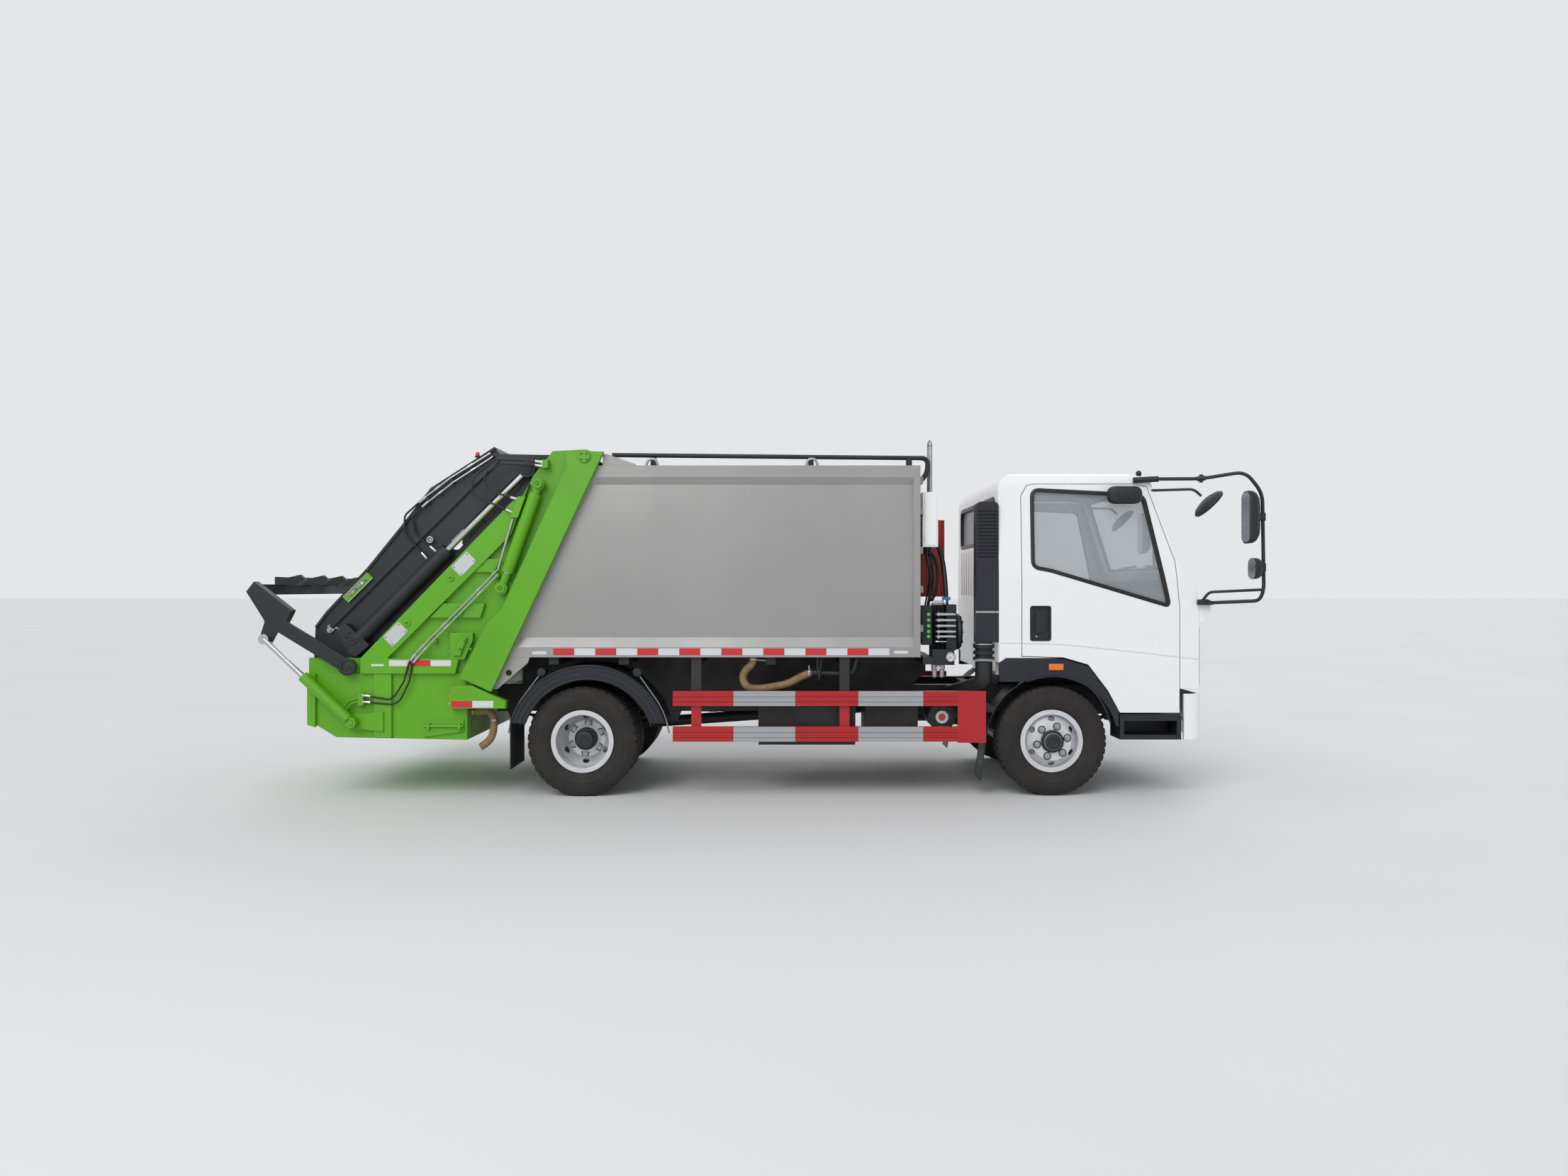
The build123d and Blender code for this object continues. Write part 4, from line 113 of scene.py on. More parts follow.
def make_tint_group():
    """A colour that drifts towards a second one in soft patches."""
    inputs = [("Color", "NodeSocketColor"), ("Tint", "NodeSocketColor")]
    inputs += [("Scale", "NodeSocketFloat"), ("Amount", "NodeSocketFloat"), ("Stretch", "NodeSocketVector")]
    group, given, out = new_group("colour drift", inputs, "Color", "NodeSocketColor")
    noise = group_noise(group, given, 5)
    spread = group.nodes.new("ShaderNodeMapRange")
    mix = group.nodes.new("ShaderNodeMix")
    spread.inputs["From Min"].default_value = 0.35
    spread.inputs["From Max"].default_value = 0.75
    mix.data_type = "RGBA"
    connect(group, noise, "Fac", spread, "Value")
    connect(group, given, "Amount", spread, "To Max")
    connect(group, spread, "Result", mix, "Factor")
    connect(group, given, "Color", mix, 6)
    connect(group, given, "Tint", mix, 7)
    connect(group, mix, 2, out, "Color")
    return group


def make_grain_group():
    """Surface grain as a normal, with edges rounded off by a radius."""
    inputs = [(name, "NodeSocketFloat") for name in ("Scale", "Strength", "Distance", "Edge")]
    group, given, out = new_group(
        "grain", inputs + [("Stretch", "NodeSocketVector")], "Normal", "NodeSocketVector"
    )
    noise = group_noise(group, given, 2)
    edge = group.nodes.new("ShaderNodeBevel")
    bump = group.nodes.new("ShaderNodeBump")
    edge.samples = 4
    connect(group, given, "Edge", edge, "Radius")
    connect(group, given, "Strength", bump, "Strength")
    connect(group, given, "Distance", bump, "Distance")
    connect(group, noise, "Fac", bump, "Height")
    connect(group, edge, "Normal", bump, "Normal")
    connect(group, bump, "Normal", out, "Normal")
    return group


def make_edge_highlight_group():
    """Painted highlight: a colour that turns to a second, lighter one along sharp edges, in broken patches,
    standing for light caught on rounded edges.
    """
    inputs = [("Color", "NodeSocketColor"), ("Worn", "NodeSocketColor")]
    inputs += [("Scale", "NodeSocketFloat"), ("Edge", "NodeSocketFloat"), ("Amount", "NodeSocketFloat")]
    group, given, out = new_group(
        "painted edge highlight", inputs + [("Stretch", "NodeSocketVector")], "Color", "NodeSocketColor"
    )
    noise = group_noise(group, given, 4)
    edge = group.nodes.new("ShaderNodeBevel")
    surface = group.nodes.new("ShaderNodeNewGeometry")
    facing = group.nodes.new("ShaderNodeVectorMath")
    turned = group.nodes.new("ShaderNodeMapRange")
    patch = group.nodes.new("ShaderNodeMath")
    amount = group.nodes.new("ShaderNodeMath")
    mix = group.nodes.new("ShaderNodeMix")
    edge.samples = 4
    facing.operation = "DOT_PRODUCT"
    turned.inputs["From Min"].default_value = 1.0
    turned.inputs["From Max"].default_value = 0.85
    patch.operation = "MULTIPLY"
    amount.operation = "MULTIPLY"
    mix.data_type = "RGBA"
    connect(group, given, "Edge", edge, "Radius")
    connect(group, edge, "Normal", facing, 0)
    connect(group, surface, "Normal", facing, 1)
    connect(group, facing, "Value", turned, "Value")
    connect(group, turned, "Result", patch, 0)
    connect(group, noise, "Fac", patch, 1)
    connect(group, patch, "Value", amount, 0)
    connect(group, given, "Amount", amount, 1)
    connect(group, amount, "Value", mix, "Factor")
    connect(group, given, "Color", mix, 6)
    connect(group, given, "Worn", mix, 7)
    connect(group, mix, 2, out, "Color")
    return group


value_drift = make_drift_group()
colour_drift = make_tint_group()
surface_grain = make_grain_group()
painted_edge_highlight = make_edge_highlight_group()


# Materials

def add_group(material, group, **values):
    """Place a shared group in a material with its own values."""
    node = material.node_tree.nodes.new("ShaderNodeGroup")
    node.node_tree = group
    for name, value in values.items():
        node.inputs[name.capitalize()].default_value = value
    return node


def new_material(name, color, roughness, metallic=0.0, coat=0.0, sheen=0.0, alpha=1.0):
    """Principled material with its constants on the shader's own sockets."""
    material = bpy.data.materials.new(name)
    material.use_nodes = True
    shader = material.node_tree.nodes["Principled BSDF"]
    shader.inputs["Base Color"].default_value = (*color, 1)
    shader.inputs["Roughness"].default_value = roughness
    shader.inputs["Metallic"].default_value = metallic
    shader.inputs["Coat Weight"].default_value = coat
    shader.inputs["Coat Roughness"].default_value = COAT_ROUGHNESS
    shader.inputs["Sheen Weight"].default_value = sheen
    shader.inputs["Alpha"].default_value = alpha
    return material


# Patch scale, edge radius and amount of the painted edge highlight
EDGE_HIGHLIGHT = {"scale": 30, "edge": 0.004, "amount": 0.9}
COAT_ROUGHNESS = 0.08


def finish_surface(material, tint, patch, rough, grain, worn=None, stretch=(1, 1, 1)):
    """Give a material colour drift, roughness drift, grain and, where asked, a painted highlight along its
    sharp edges.

    patch is the drift's scale and amount, rough the lowest and highest roughness,
    and grain its scale, strength, height and edge radius."""
    tree = material.node_tree
    shader = tree.nodes["Principled BSDF"]
    color = shader.inputs["Base Color"].default_value[:]
    drift = add_group(
        material, colour_drift, color=color, tint=(*tint, 1), scale=patch[0], amount=patch[1], stretch=stretch
    )
    color_out = drift.outputs["Color"]
    # Painted highlight: a lighter colour along sharp edges, standing for light caught on rounded edges
    if worn:
        lit_edges = add_group(material, painted_edge_highlight, worn=(*worn, 1), stretch=(1, 1, 1), **EDGE_HIGHLIGHT)
        tree.links.new(color_out, lit_edges.inputs["Color"])
        color_out = lit_edges.outputs["Color"]
    tree.links.new(color_out, shader.inputs["Base Color"])
    value = add_group(material, value_drift, scale=patch[0] * 2, low=rough[0], high=rough[1], stretch=stretch)
    connect(tree, value, "Value", shader, "Roughness")
    normal = add_group(
        material,
        surface_grain,
        scale=grain[0],
        strength=grain[1],
        distance=grain[2],
        edge=grain[3],
        stretch=stretch,
    )
    connect(tree, normal, "Normal", shader, "Normal")
    return material


def surface(name, color, roughness, *drifts, worn=None, stretch=(1, 1, 1), **constants):
    """New material with its surface finished; the drifts are those of finish_surface."""
    material = new_material(name, color, roughness, **constants)
    return finish_surface(material, *drifts, worn=worn, stretch=stretch)


def add_weave(material, threads, depth):
    """Woven threads as two crossed waves that feed the grain's bump."""
    tree = material.node_tree
    shader = tree.nodes["Principled BSDF"]
    place = tree.nodes.new("ShaderNodeTexCoord")
    bump = tree.nodes.new("ShaderNodeBump")
    heights = []
    for direction in ("Y", "Z"):
        wave = tree.nodes.new("ShaderNodeTexWave")
        wave.bands_direction = direction
        wave.inputs["Scale"].default_value = threads
        connect(tree, place, "Object", wave, "Vector")
        heights.append(wave.outputs["Fac"])
    both = tree.nodes.new("ShaderNodeMath")
    both.operation = "MAXIMUM"
    bump.inputs["Strength"].default_value = 0.6
    bump.inputs["Distance"].default_value = depth
    tree.links.new(heights[0], both.inputs[0])
    tree.links.new(heights[1], both.inputs[1])
    connect(tree, both, "Value", bump, "Height")
    for link in shader.inputs["Normal"].links:
        tree.links.new(link.from_socket, bump.inputs["Normal"])
    connect(tree, bump, "Normal", shader, "Normal")


FINE_PEEL = (420, 0.05, 0.0003, 0.004)
MOULDED_GRAIN = (900, 0.25, 0.0004, 0.003)
METAL_GRAIN = (200, 0.04, 0.0001, 0.0015)
ROUGH_PEEL = (300, 0.1, 0.0004, 0.005)
TAPE_GRAIN = (900, 0.2, 0.0002, 0.0004)
LENS_GRAIN = (160, 0.4, 0.001, 0.001)

white_paint = surface(
    "white paint", (0.87, 0.875, 0.88), 0.25, (0.84, 0.845, 0.85), (1.4, 0.4), (0.22, 0.32), FINE_PEEL,
    coat=0.6,
)
silver_paint = surface(
    "silver paint", (0.345, 0.335, 0.33), 0.4, (0.29, 0.285, 0.28), (1.1, 0.8), (0.36, 0.5), FINE_PEEL,
    stretch=(1, 1, 0.5), metallic=0.25, coat=0.15,
)
green_paint = surface(
    "green paint", (0.108, 0.385, 0.0), 0.44, (0.085, 0.32, 0.0), (2.2, 0.7), (0.36, 0.48), ROUGH_PEEL,
    coat=0.06,
)
# Dark paint with a painted highlight: its lighter second colour along sharp edges stands for light caught on
# them
dark_paint = surface(
    "dark paint", (0.008, 0.009, 0.0145), 0.46, (0.014, 0.0155, 0.021), (2.5, 0.8), (0.4, 0.55), ROUGH_PEEL,
    worn=(0.09, 0.09, 0.095),
)
red_paint = surface(
    "red paint", (0.44, 0.006, 0.009), 0.38, (0.36, 0.005, 0.008), (2, 0.7), (0.32, 0.44), FINE_PEEL,
    coat=0.12,
)
orange_paint = surface(
    "orange paint", (0.5, 0.035, 0.012), 0.4, (0.4, 0.026, 0.01), (3, 0.6), (0.34, 0.46), FINE_PEEL, coat=0.1
)
# Frame paint with a painted highlight: its lighter second colour along sharp edges stands for light caught on
# them
frame_paint = surface(
    "frame paint", (0.01, 0.011, 0.013), 0.55, (0.028, 0.026, 0.024), (5, 0.8), (0.42, 0.65),
    (160, 0.2, 0.0008, 0.003), worn=(0.06, 0.057, 0.052),
)
black_plastic = surface(
    "black plastic", (0.008, 0.009, 0.0155), 0.5, (0.013, 0.0145, 0.022), (3, 0.6), (0.44, 0.6), MOULDED_GRAIN
)
rubber_black = surface(
    "hose rubber", (0.004, 0.004, 0.0045), 0.42, (0.011, 0.011, 0.012), (9, 0.6), (0.36, 0.5),
    (500, 0.2, 0.0003, 0.001),
)
tyre_rubber = surface(
    "tyre rubber", (0.013, 0.0115, 0.0112), 0.8, (0.03, 0.023, 0.019), (7, 0.55), (0.68, 0.88),
    (230, 0.3, 0.0007, 0.0015),
)
chrome = surface(
    "chrome", (0.56, 0.565, 0.58), 0.16, (0.46, 0.46, 0.47), (14, 0.4), (0.12, 0.22), METAL_GRAIN,
    metallic=1.0,
)
zinc_steel = surface(
    "zinc steel", (0.42, 0.43, 0.44), 0.35, (0.3, 0.3, 0.3), (60, 0.7), (0.28, 0.48), METAL_GRAIN,
    metallic=0.85,
)
rim_paint = surface(
    "rim paint", (0.68, 0.69, 0.71), 0.35, (0.54, 0.54, 0.55), (8, 0.6), (0.28, 0.45), FINE_PEEL,
    metallic=0.35, coat=0.2,
)
tan_rubber = surface(
    "tan hose", (0.36, 0.24, 0.12), 0.45, (0.22, 0.14, 0.06), (12, 0.7), (0.35, 0.55),
    (300, 0.2, 0.0005, 0.001),
)
dash_plastic = surface(
    "dashboard plastic", (0.045, 0.047, 0.053), 0.6, (0.06, 0.06, 0.066), (4, 0.5), (0.5, 0.68), MOULDED_GRAIN
)
seat_fabric = surface(
    "seat fabric", (0.03, 0.032, 0.038), 0.9, (0.05, 0.052, 0.06), (18, 0.6), (0.82, 0.95),
    (900, 0.3, 0.0006, 0.001), sheen=0.3,
)
add_weave(seat_fabric, 220, 0.0006)
glass = surface(
    "window glass", (0.52, 0.57, 0.6), 0.03, (0.46, 0.51, 0.54), (0.8, 0.5), (0.02, 0.05),
    (3, 0.01, 0.0002, 0.001), alpha=0.32,
)
tape_white = surface(
    "white tape", (0.66, 0.68, 0.7), 0.4, (0.56, 0.58, 0.6), (220, 0.6), (0.3, 0.5), TAPE_GRAIN
)
tape_red = surface(
    "red tape", (0.62, 0.02, 0.03), 0.4, (0.48, 0.014, 0.02), (220, 0.6), (0.3, 0.5), TAPE_GRAIN
)
tape_grey = surface(
    "grey tape", (0.36, 0.375, 0.39), 0.35, (0.3, 0.31, 0.32), (60, 0.6), (0.3, 0.45),
    (600, 0.15, 0.0002, 0.003),
)
amber_lens = surface(
    "amber lens", (0.85, 0.2, 0.01), 0.2, (0.6, 0.1, 0.005), (90, 0.6), (0.12, 0.25), LENS_GRAIN, coat=0.5
)
red_lens = surface(
    "red lens", (0.55, 0.01, 0.012), 0.2, (0.34, 0.006, 0.008), (90, 0.6), (0.12, 0.25), LENS_GRAIN, coat=0.5
)
clear_lens = surface(
    "clear lens", (0.55, 0.58, 0.62), 0.1, (0.36, 0.39, 0.43), (40, 0.6), (0.06, 0.16),
    (120, 0.3, 0.001, 0.002), metallic=0.4, coat=1.0,
)
plate_metal = surface(
    "plate metal", (0.56, 0.59, 0.6), 0.4, (0.45, 0.47, 0.48), (25, 0.6), (0.3, 0.5), METAL_GRAIN,
    stretch=(1, 1, 6), metallic=0.35,
)
mirror_metal = surface(
    "mirror glass", (0.4, 0.43, 0.46), 0.08, (0.34, 0.37, 0.4), (4, 0.4), (0.2, 0.28),
    (4, 0.01, 0.0001, 0.0005), metallic=1.0,
)


def button_material(name, color):
    """Coloured plastic of a push button or valve knob."""
    material = new_material(name, color, 0.3, coat=0.3)
    return finish_surface(
        material, tuple(part * 0.7 for part in color), (80, 0.5), (0.22, 0.4), MOULDED_GRAIN
    )


teal_button = button_material("teal button", (0.01, 0.2, 0.16))
white_button = button_material("white button", (0.7, 0.72, 0.74))
grey_button = button_material("grey button", (0.2, 0.3, 0.38))
blue_button = button_material("blue button", (0.03, 0.15, 0.42))
yellow_button = button_material("yellow button", (0.62, 0.4, 0.04))
pink_button = button_material("pink button", (0.6, 0.08, 0.09))
green_button = button_material("green button", (0.1, 0.5, 0.06))
floor_pale = surface(
    "pale floor", (0.72, 0.72, 0.715), 0.8, (0.68, 0.68, 0.675), (0.35, 0.5), (0.7, 0.85),
    (40, 0.05, 0.001, 0.001),
)

slot_looks = {
    "white_paint": white_paint,
    "silver_paint": silver_paint,
    "green_paint": green_paint,
    "dark_paint": dark_paint,
    "red_paint": red_paint,
    "orange_paint": orange_paint,
    "frame_paint": frame_paint,
    "cast_engine": frame_paint,
    "black_plastic": black_plastic,
    "lamp_plastic": clear_lens,
    "tan_rubber": tan_rubber,
    "hose_rubber": rubber_black,
    "chrome_pipes": chrome,
    "chrome_rods": chrome,
    "window_glass": glass,
    "seat_fabric": seat_fabric,
    "tyre_rubber": tyre_rubber,
    "rim_paint": rim_paint,
}
node_slots = {part["node"]: part["material_slot"] for part in frame["record"]["subparts"]}
for node_name, node in nodes.items():
    for material_slot in node.material_slots:
        material_slot.material = slot_looks[node_slots[node_name]]
nodes["dashboard"].material_slots[0].material = dash_plastic
nodes["hydraulic_valves"].material_slots[0].material = black_plastic


# Mesh helpers

SHARP_ANGLE = math.radians(35)


def make_piece(name, body, slot, material, build, smooth=False, bevel=0.0):
    """Piece filled in by a build function, riding on a body with the given material; the slot is not used."""
    work = bmesh.new()
    build(work)
    bmesh.ops.recalc_face_normals(work, faces=work.faces)
    mesh = bpy.data.meshes.new(name)
    work.to_mesh(mesh)
    work.free()
    return place_mesh(mesh, name, body, material, smooth, bevel)


def on_each_side(body, slot, look=None, **finish):
    """Make a piece on each side from the function below, which gives the piece its name.

    A star in the body's name stands for the side."""
    def make_pair(build):
        for side_name, side in SIDES:
            name = f"{build.__name__}_{side_name}"
            ridden = body.replace("*", side_name)
            make_piece(name, ridden, slot, look or slot_looks[slot], lambda work: build(work, side), **finish)
        return build

    return make_pair


def once(body, slot, look=None, **finish):
    """Make one piece from the function below, which gives the piece its name."""
    def make_one(build):
        make_piece(build.__name__, body, slot, look or slot_looks[slot], build, **finish)
        return build

    return make_one


def place_mesh(mesh, name, body, material, smooth=False, bevel=0.0):
    """Object for a mesh, riding on a body with the given material."""
    piece = bpy.data.objects.new(name, mesh)
    bpy.context.scene.collection.objects.link(piece)
    mesh.materials.append(material)
    if smooth:
        mesh.shade_smooth()
        mesh.set_sharp_from_angle(angle=SHARP_ANGLE)
    if bevel:
        edge = piece.modifiers.new("soft edges", "BEVEL")
        edge.width = bevel
        edge.segments = 2
        edge.limit_method = "ANGLE"
    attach(piece, body)
    return piece


def add_box(work, low, high):
    """Box between two corners."""
    size = [abs(b - a) for a, b in zip(low, high)]
    centre = [(a + b) / 2 for a, b in zip(low, high)]
    bmesh.ops.create_cube(work, size=1, matrix=Matrix.Translation(centre) @ Matrix.Diagonal((*size, 1)))


def add_plate(work, outline, near, far):
    """Prism with an (x, z) outline between two Y places."""
    first = [work.verts.new((x, near, z)) for x, z in outline]
    second = [work.verts.new((x, far, z)) for x, z in outline]
    work.faces.new(first)
    work.faces.new(list(reversed(second)))
    for index in range(len(outline)):
        after = (index + 1) % len(outline)
        work.faces.new((first[index], second[index], second[after], first[after]))


def join_rings(work, rings):
    """Faces between neighbouring rings, the last of them joined to the first."""
    count = len(rings[0])
    for step, here in enumerate(rings):
        after = rings[(step + 1) % len(rings)]
        for index in range(count):
            follow = (index + 1) % count
            work.faces.new((here[index], here[follow], after[follow], after[index]))


def cap_rings(work, rings):
    """Faces along rings, closed at both ends."""
    count = len(rings[0])
    for first, second in zip(rings, rings[1:]):
        for index in range(count):
            after = (index + 1) % count
            work.faces.new((first[index], first[after], second[after], second[index]))
    work.faces.new(list(reversed(rings[0])))
    work.faces.new(rings[-1])


def add_turned(work, profile, origin, axis, steps=24):
    """Turned part: an outline of (radius, distance along) spun round an axis from an origin."""
    origin, axis = Vector(origin), Vector(axis).normalized()
    across = axis.orthogonal().normalized()
    other = axis.cross(across)
    rings = []
    for step in range(steps):
        angle = 2 * math.pi * step / steps
        outward = across * math.cos(angle) + other * math.sin(angle)
        rings.append([work.verts.new(origin + outward * radius + axis * along) for radius, along in profile])
    join_rings(work, rings)


def add_disc(work, origin, axis, radius, height, steps=24):
    """Round cap with a soft rim."""
    soft = min(height, radius) * 0.25
    hub = radius * 0.02
    profile = [(hub, 0), (radius, 0), (radius, height - soft), (radius - soft, height), (hub, height)]
    add_turned(work, profile, origin, axis, steps)


def add_rod(work, start, end, radius, sides=16):
    """Straight round bar."""
    start, end = Vector(start), Vector(end)
    run = end - start
    turn = run.to_track_quat("Z", "Y").to_matrix().to_4x4()
    matrix = Matrix.Translation((start + end) / 2) @ turn
    bmesh.ops.create_cone(
        work, cap_ends=True, segments=sides, radius1=radius, radius2=radius, depth=run.length, matrix=matrix
    )


# Heights and radii of a bolt's parts, as shares of its size
WASHER_HEIGHT = 0.18
HEAD_HEIGHT = 0.75
HEAD_RADIUS = 0.8
THREAD_HEIGHT = 1.05
THREAD_RADIUS = 0.42


def add_bolt(work, place, axis, size):
    """Washer, hexagon head and thread end, standing on a surface."""
    place, axis = Vector(place), Vector(axis).normalized()
    add_rod(work, place - axis * 0.001, place + axis * size * WASHER_HEIGHT, size, sides=16)
    add_rod(work, place, place + axis * size * HEAD_HEIGHT, size * HEAD_RADIUS, sides=6)
    add_rod(work, place, place + axis * size * THREAD_HEIGHT, size * THREAD_RADIUS, sides=10)


def round_corners(points, corner, steps=5):
    """Points of a polyline whose inner corners are rounded."""
    points = [Vector(point) for point in points]
    route = [points[0]]
    for before, here, after in zip(points, points[1:], points[2:]):
        route += corner_arc(before, here, after, corner, steps)
    route.append(points[-1])
    return route


def round_outline(points, corner, steps=5):
    """Closed outline with every corner rounded."""
    points = [Vector(point) for point in points]
    outline = []
    for index, here in enumerate(points):
        outline += corner_arc(points[index - 1], here, points[(index + 1) % len(points)], corner, steps)
    return outline


# Longest part of a straight run that a rounded corner may take
CORNER_SHARE = 0.48


def corner_arc(before, here, after, corner, steps):
    """Soft curve that replaces one corner."""
    towards, away = before - here, after - here
    reach = min(corner, towards.length * CORNER_SHARE, away.length * CORNER_SHARE)
    first = here + towards.normalized() * reach
    last = here + away.normalized() * reach
    curve = []
    for step in range(steps + 1):
        t = step / steps
        curve.append(first * (1 - t) ** 2 + here * (2 * t * (1 - t)) + last * t**2)
    return curve


def spline_route(points):
    """Points along the NURBS curve of a hose's control points."""
    curve = bpy.data.curves.new("route", "CURVE")
    curve.dimensions = "3D"
    spline = curve.splines.new("NURBS")
    spline.points.add(len(points) - 1)
    for point, place in zip(spline.points, points):
        point.co = (*place, 1)
    spline.order_u = 3
    spline.use_endpoint_u = True
    spline.resolution_u = 12
    holder = bpy.data.objects.new("route", curve)
    line = bpy.data.meshes.new_from_object(holder)
    route = [vertex.co.copy() for vertex in line.vertices]
    bpy.data.meshes.remove(line)
    bpy.data.objects.remove(holder)
    bpy.data.curves.remove(curve)
    return route


def corrugate(route, radius, depth, pitch):
    """Points and radii of a ribbed hose along a route, four rings to each rib."""
    places = []
    travelled = 0.0
    for start, end in zip(route, route[1:]):
        length = (end - start).length
        count = max(1, round(length / (pitch / 4)))
        for index in range(count):
            along = travelled + length * index / count
            width = radius - depth / 2 + depth / 2 * math.cos(2 * math.pi * along / pitch)
            places.append((start.lerp(end, index / count), width))
        travelled += length
    places.append((route[-1], radius))
    return places


def add_tube(work, places, sides=12):
    """Tube through points that each have a radius."""
    rings = []
    normal = None
    for index, (point, width) in enumerate(places):
        ahead = places[min(index + 1, len(places) - 1)][0]
        behind = places[max(index - 1, 0)][0]
        run = (ahead - behind).normalized()
        if normal is None:
            normal = run.orthogonal().normalized()
        normal = (normal - run * normal.dot(run)).normalized()
        other = run.cross(normal)
        ring = []
        for side in range(sides):
            angle = 2 * math.pi * side / sides
            outward = normal * math.cos(angle) + other * math.sin(angle)
            ring.append(work.verts.new(point + outward * width))
        rings.append(ring)
    cap_rings(work, rings)


def add_pipe(work, points, radius, corner=0.03, sides=12):
    """Plain tube along straight runs with rounded corners."""
    add_tube(work, [(place, radius) for place in round_corners(points, corner)], sides)


def add_band(work, outline, profile, place):
    """Closed band along a flat outline; the profile gives (distance outward, height)."""
    count = len(outline)
    area = sum(outline[i - 1].x * outline[i].y - outline[i].x * outline[i - 1].y for i in range(count))
    turn = 1 if area > 0 else -1
    rings = []
    for index, here in enumerate(outline):
        run = (outline[(index + 1) % count] - outline[index - 1]).normalized()
        outward = Vector((run.y, -run.x)) * turn
        ring = []
        for distance, height in profile:
            spot = here + outward * distance
            ring.append(work.verts.new(place(spot.x, spot.y, height)))
        rings.append(ring)
    join_rings(work, rings)


def add_shell(work, sections):
    """Closed form lofted through rings of the same number of points."""
    cap_rings(work, [[work.verts.new(point) for point in section] for section in sections])


def rounded_rectangle(width, height, corner, steps=5):
    """Flat outline of a rectangle with round corners, about its middle."""
    corners = [
        (-width / 2, -height / 2), (width / 2, -height / 2), (width / 2, height / 2), (-width / 2, height / 2)
    ]
    return round_outline(corners, corner, steps)


def sloped(centre, along, across):
    """Place in (x, z) moved along the packing slope and square to it."""
    cosine, sine = math.cos(PACKING_SLOPE), math.sin(PACKING_SLOPE)
    return (centre[0] + along * cosine - across * sine, centre[1] + along * sine + across * cosine)


# Wheels: tyres with moulded treads, nuts, hub caps and valves

tyre_wall = [
    (0.206, -0.075),
    (0.2255, -0.076),
    (0.231, -0.083),
    (0.236, -0.086),
    (0.239, -0.0905),
    (0.262, -0.0985),
    (0.29, -0.104),
    (0.293, -0.1058),
    (0.297, -0.1058),
    (0.3, -0.1045),
    (0.33, -0.1035),
    (0.345, -0.1005),
    (0.348, -0.1015),
    (0.352, -0.0995),
    (0.366, -0.094),
    (0.372, -0.0915),
]
TREAD_TOP = 0.3918
TREAD_FLOOR = 0.3815
tread_ribs = ((-0.078, -0.05), (-0.043, -0.016), (-0.009, 0.009), (0.016, 0.043), (0.05, 0.078))
RIB_SLOPE = 0.0008
SHOULDER_Y = 0.083
SHOULDER_DROP = 0.0025


def tread_row(step):
    """Tread points for one step round the tyre: ribs with grooves, notched at the shoulders."""
    notch = step % 4 == 0
    edge = TREAD_FLOOR if notch else TREAD_TOP - SHOULDER_DROP
    row = [(edge, -SHOULDER_Y)]
    for start, end in tread_ribs:
        shoulder = min(abs(start), abs(end)) > 0.045
        top = TREAD_FLOOR + SHOULDER_DROP if notch and shoulder else TREAD_TOP
        row += [(TREAD_FLOOR, start - RIB_SLOPE), (top, start + RIB_SLOPE)]
        row += [(top, end - RIB_SLOPE), (TREAD_FLOOR, end + RIB_SLOPE)]
    return row + [(edge, SHOULDER_Y)]


def add_tyre(work, centre, steps):
    """Tyre with side walls and tread, closed at the beads."""
    far_wall = [(radius, -out) for radius, out in reversed(tyre_wall)]
    rings = []
    for step in range(steps):
        angle = 2 * math.pi * step / steps
        ring = []
        for radius, out in tyre_wall + tread_row(step) + far_wall:
            spot = Vector((radius * math.cos(angle), out, radius * math.sin(angle)))
            ring.append(work.verts.new(spot + Vector(centre)))
        rings.append(ring)
    join_rings(work, rings)


NUT_COUNT = 6
NUT_SIZE = 0.022
TYRE_STEPS = {"front": 192, "rear": 160}
wheel_table = (
    # wheel, axle X, Y of the nuts' face, Y of the hub's face, hub radius, angle of the first nut
    ("front", FRONT_AXLE_X, 0.917, 0.95, 0.052, 12),
    ("rear", REAR_AXLE_X, 0.7415, 0.86, 0.056, 24),
)
tyre_rows = {"front": (FRONT_WHEEL_Y,), "rear": (REAR_OUTER_Y, REAR_OUTER_Y - TWIN_SPACING)}

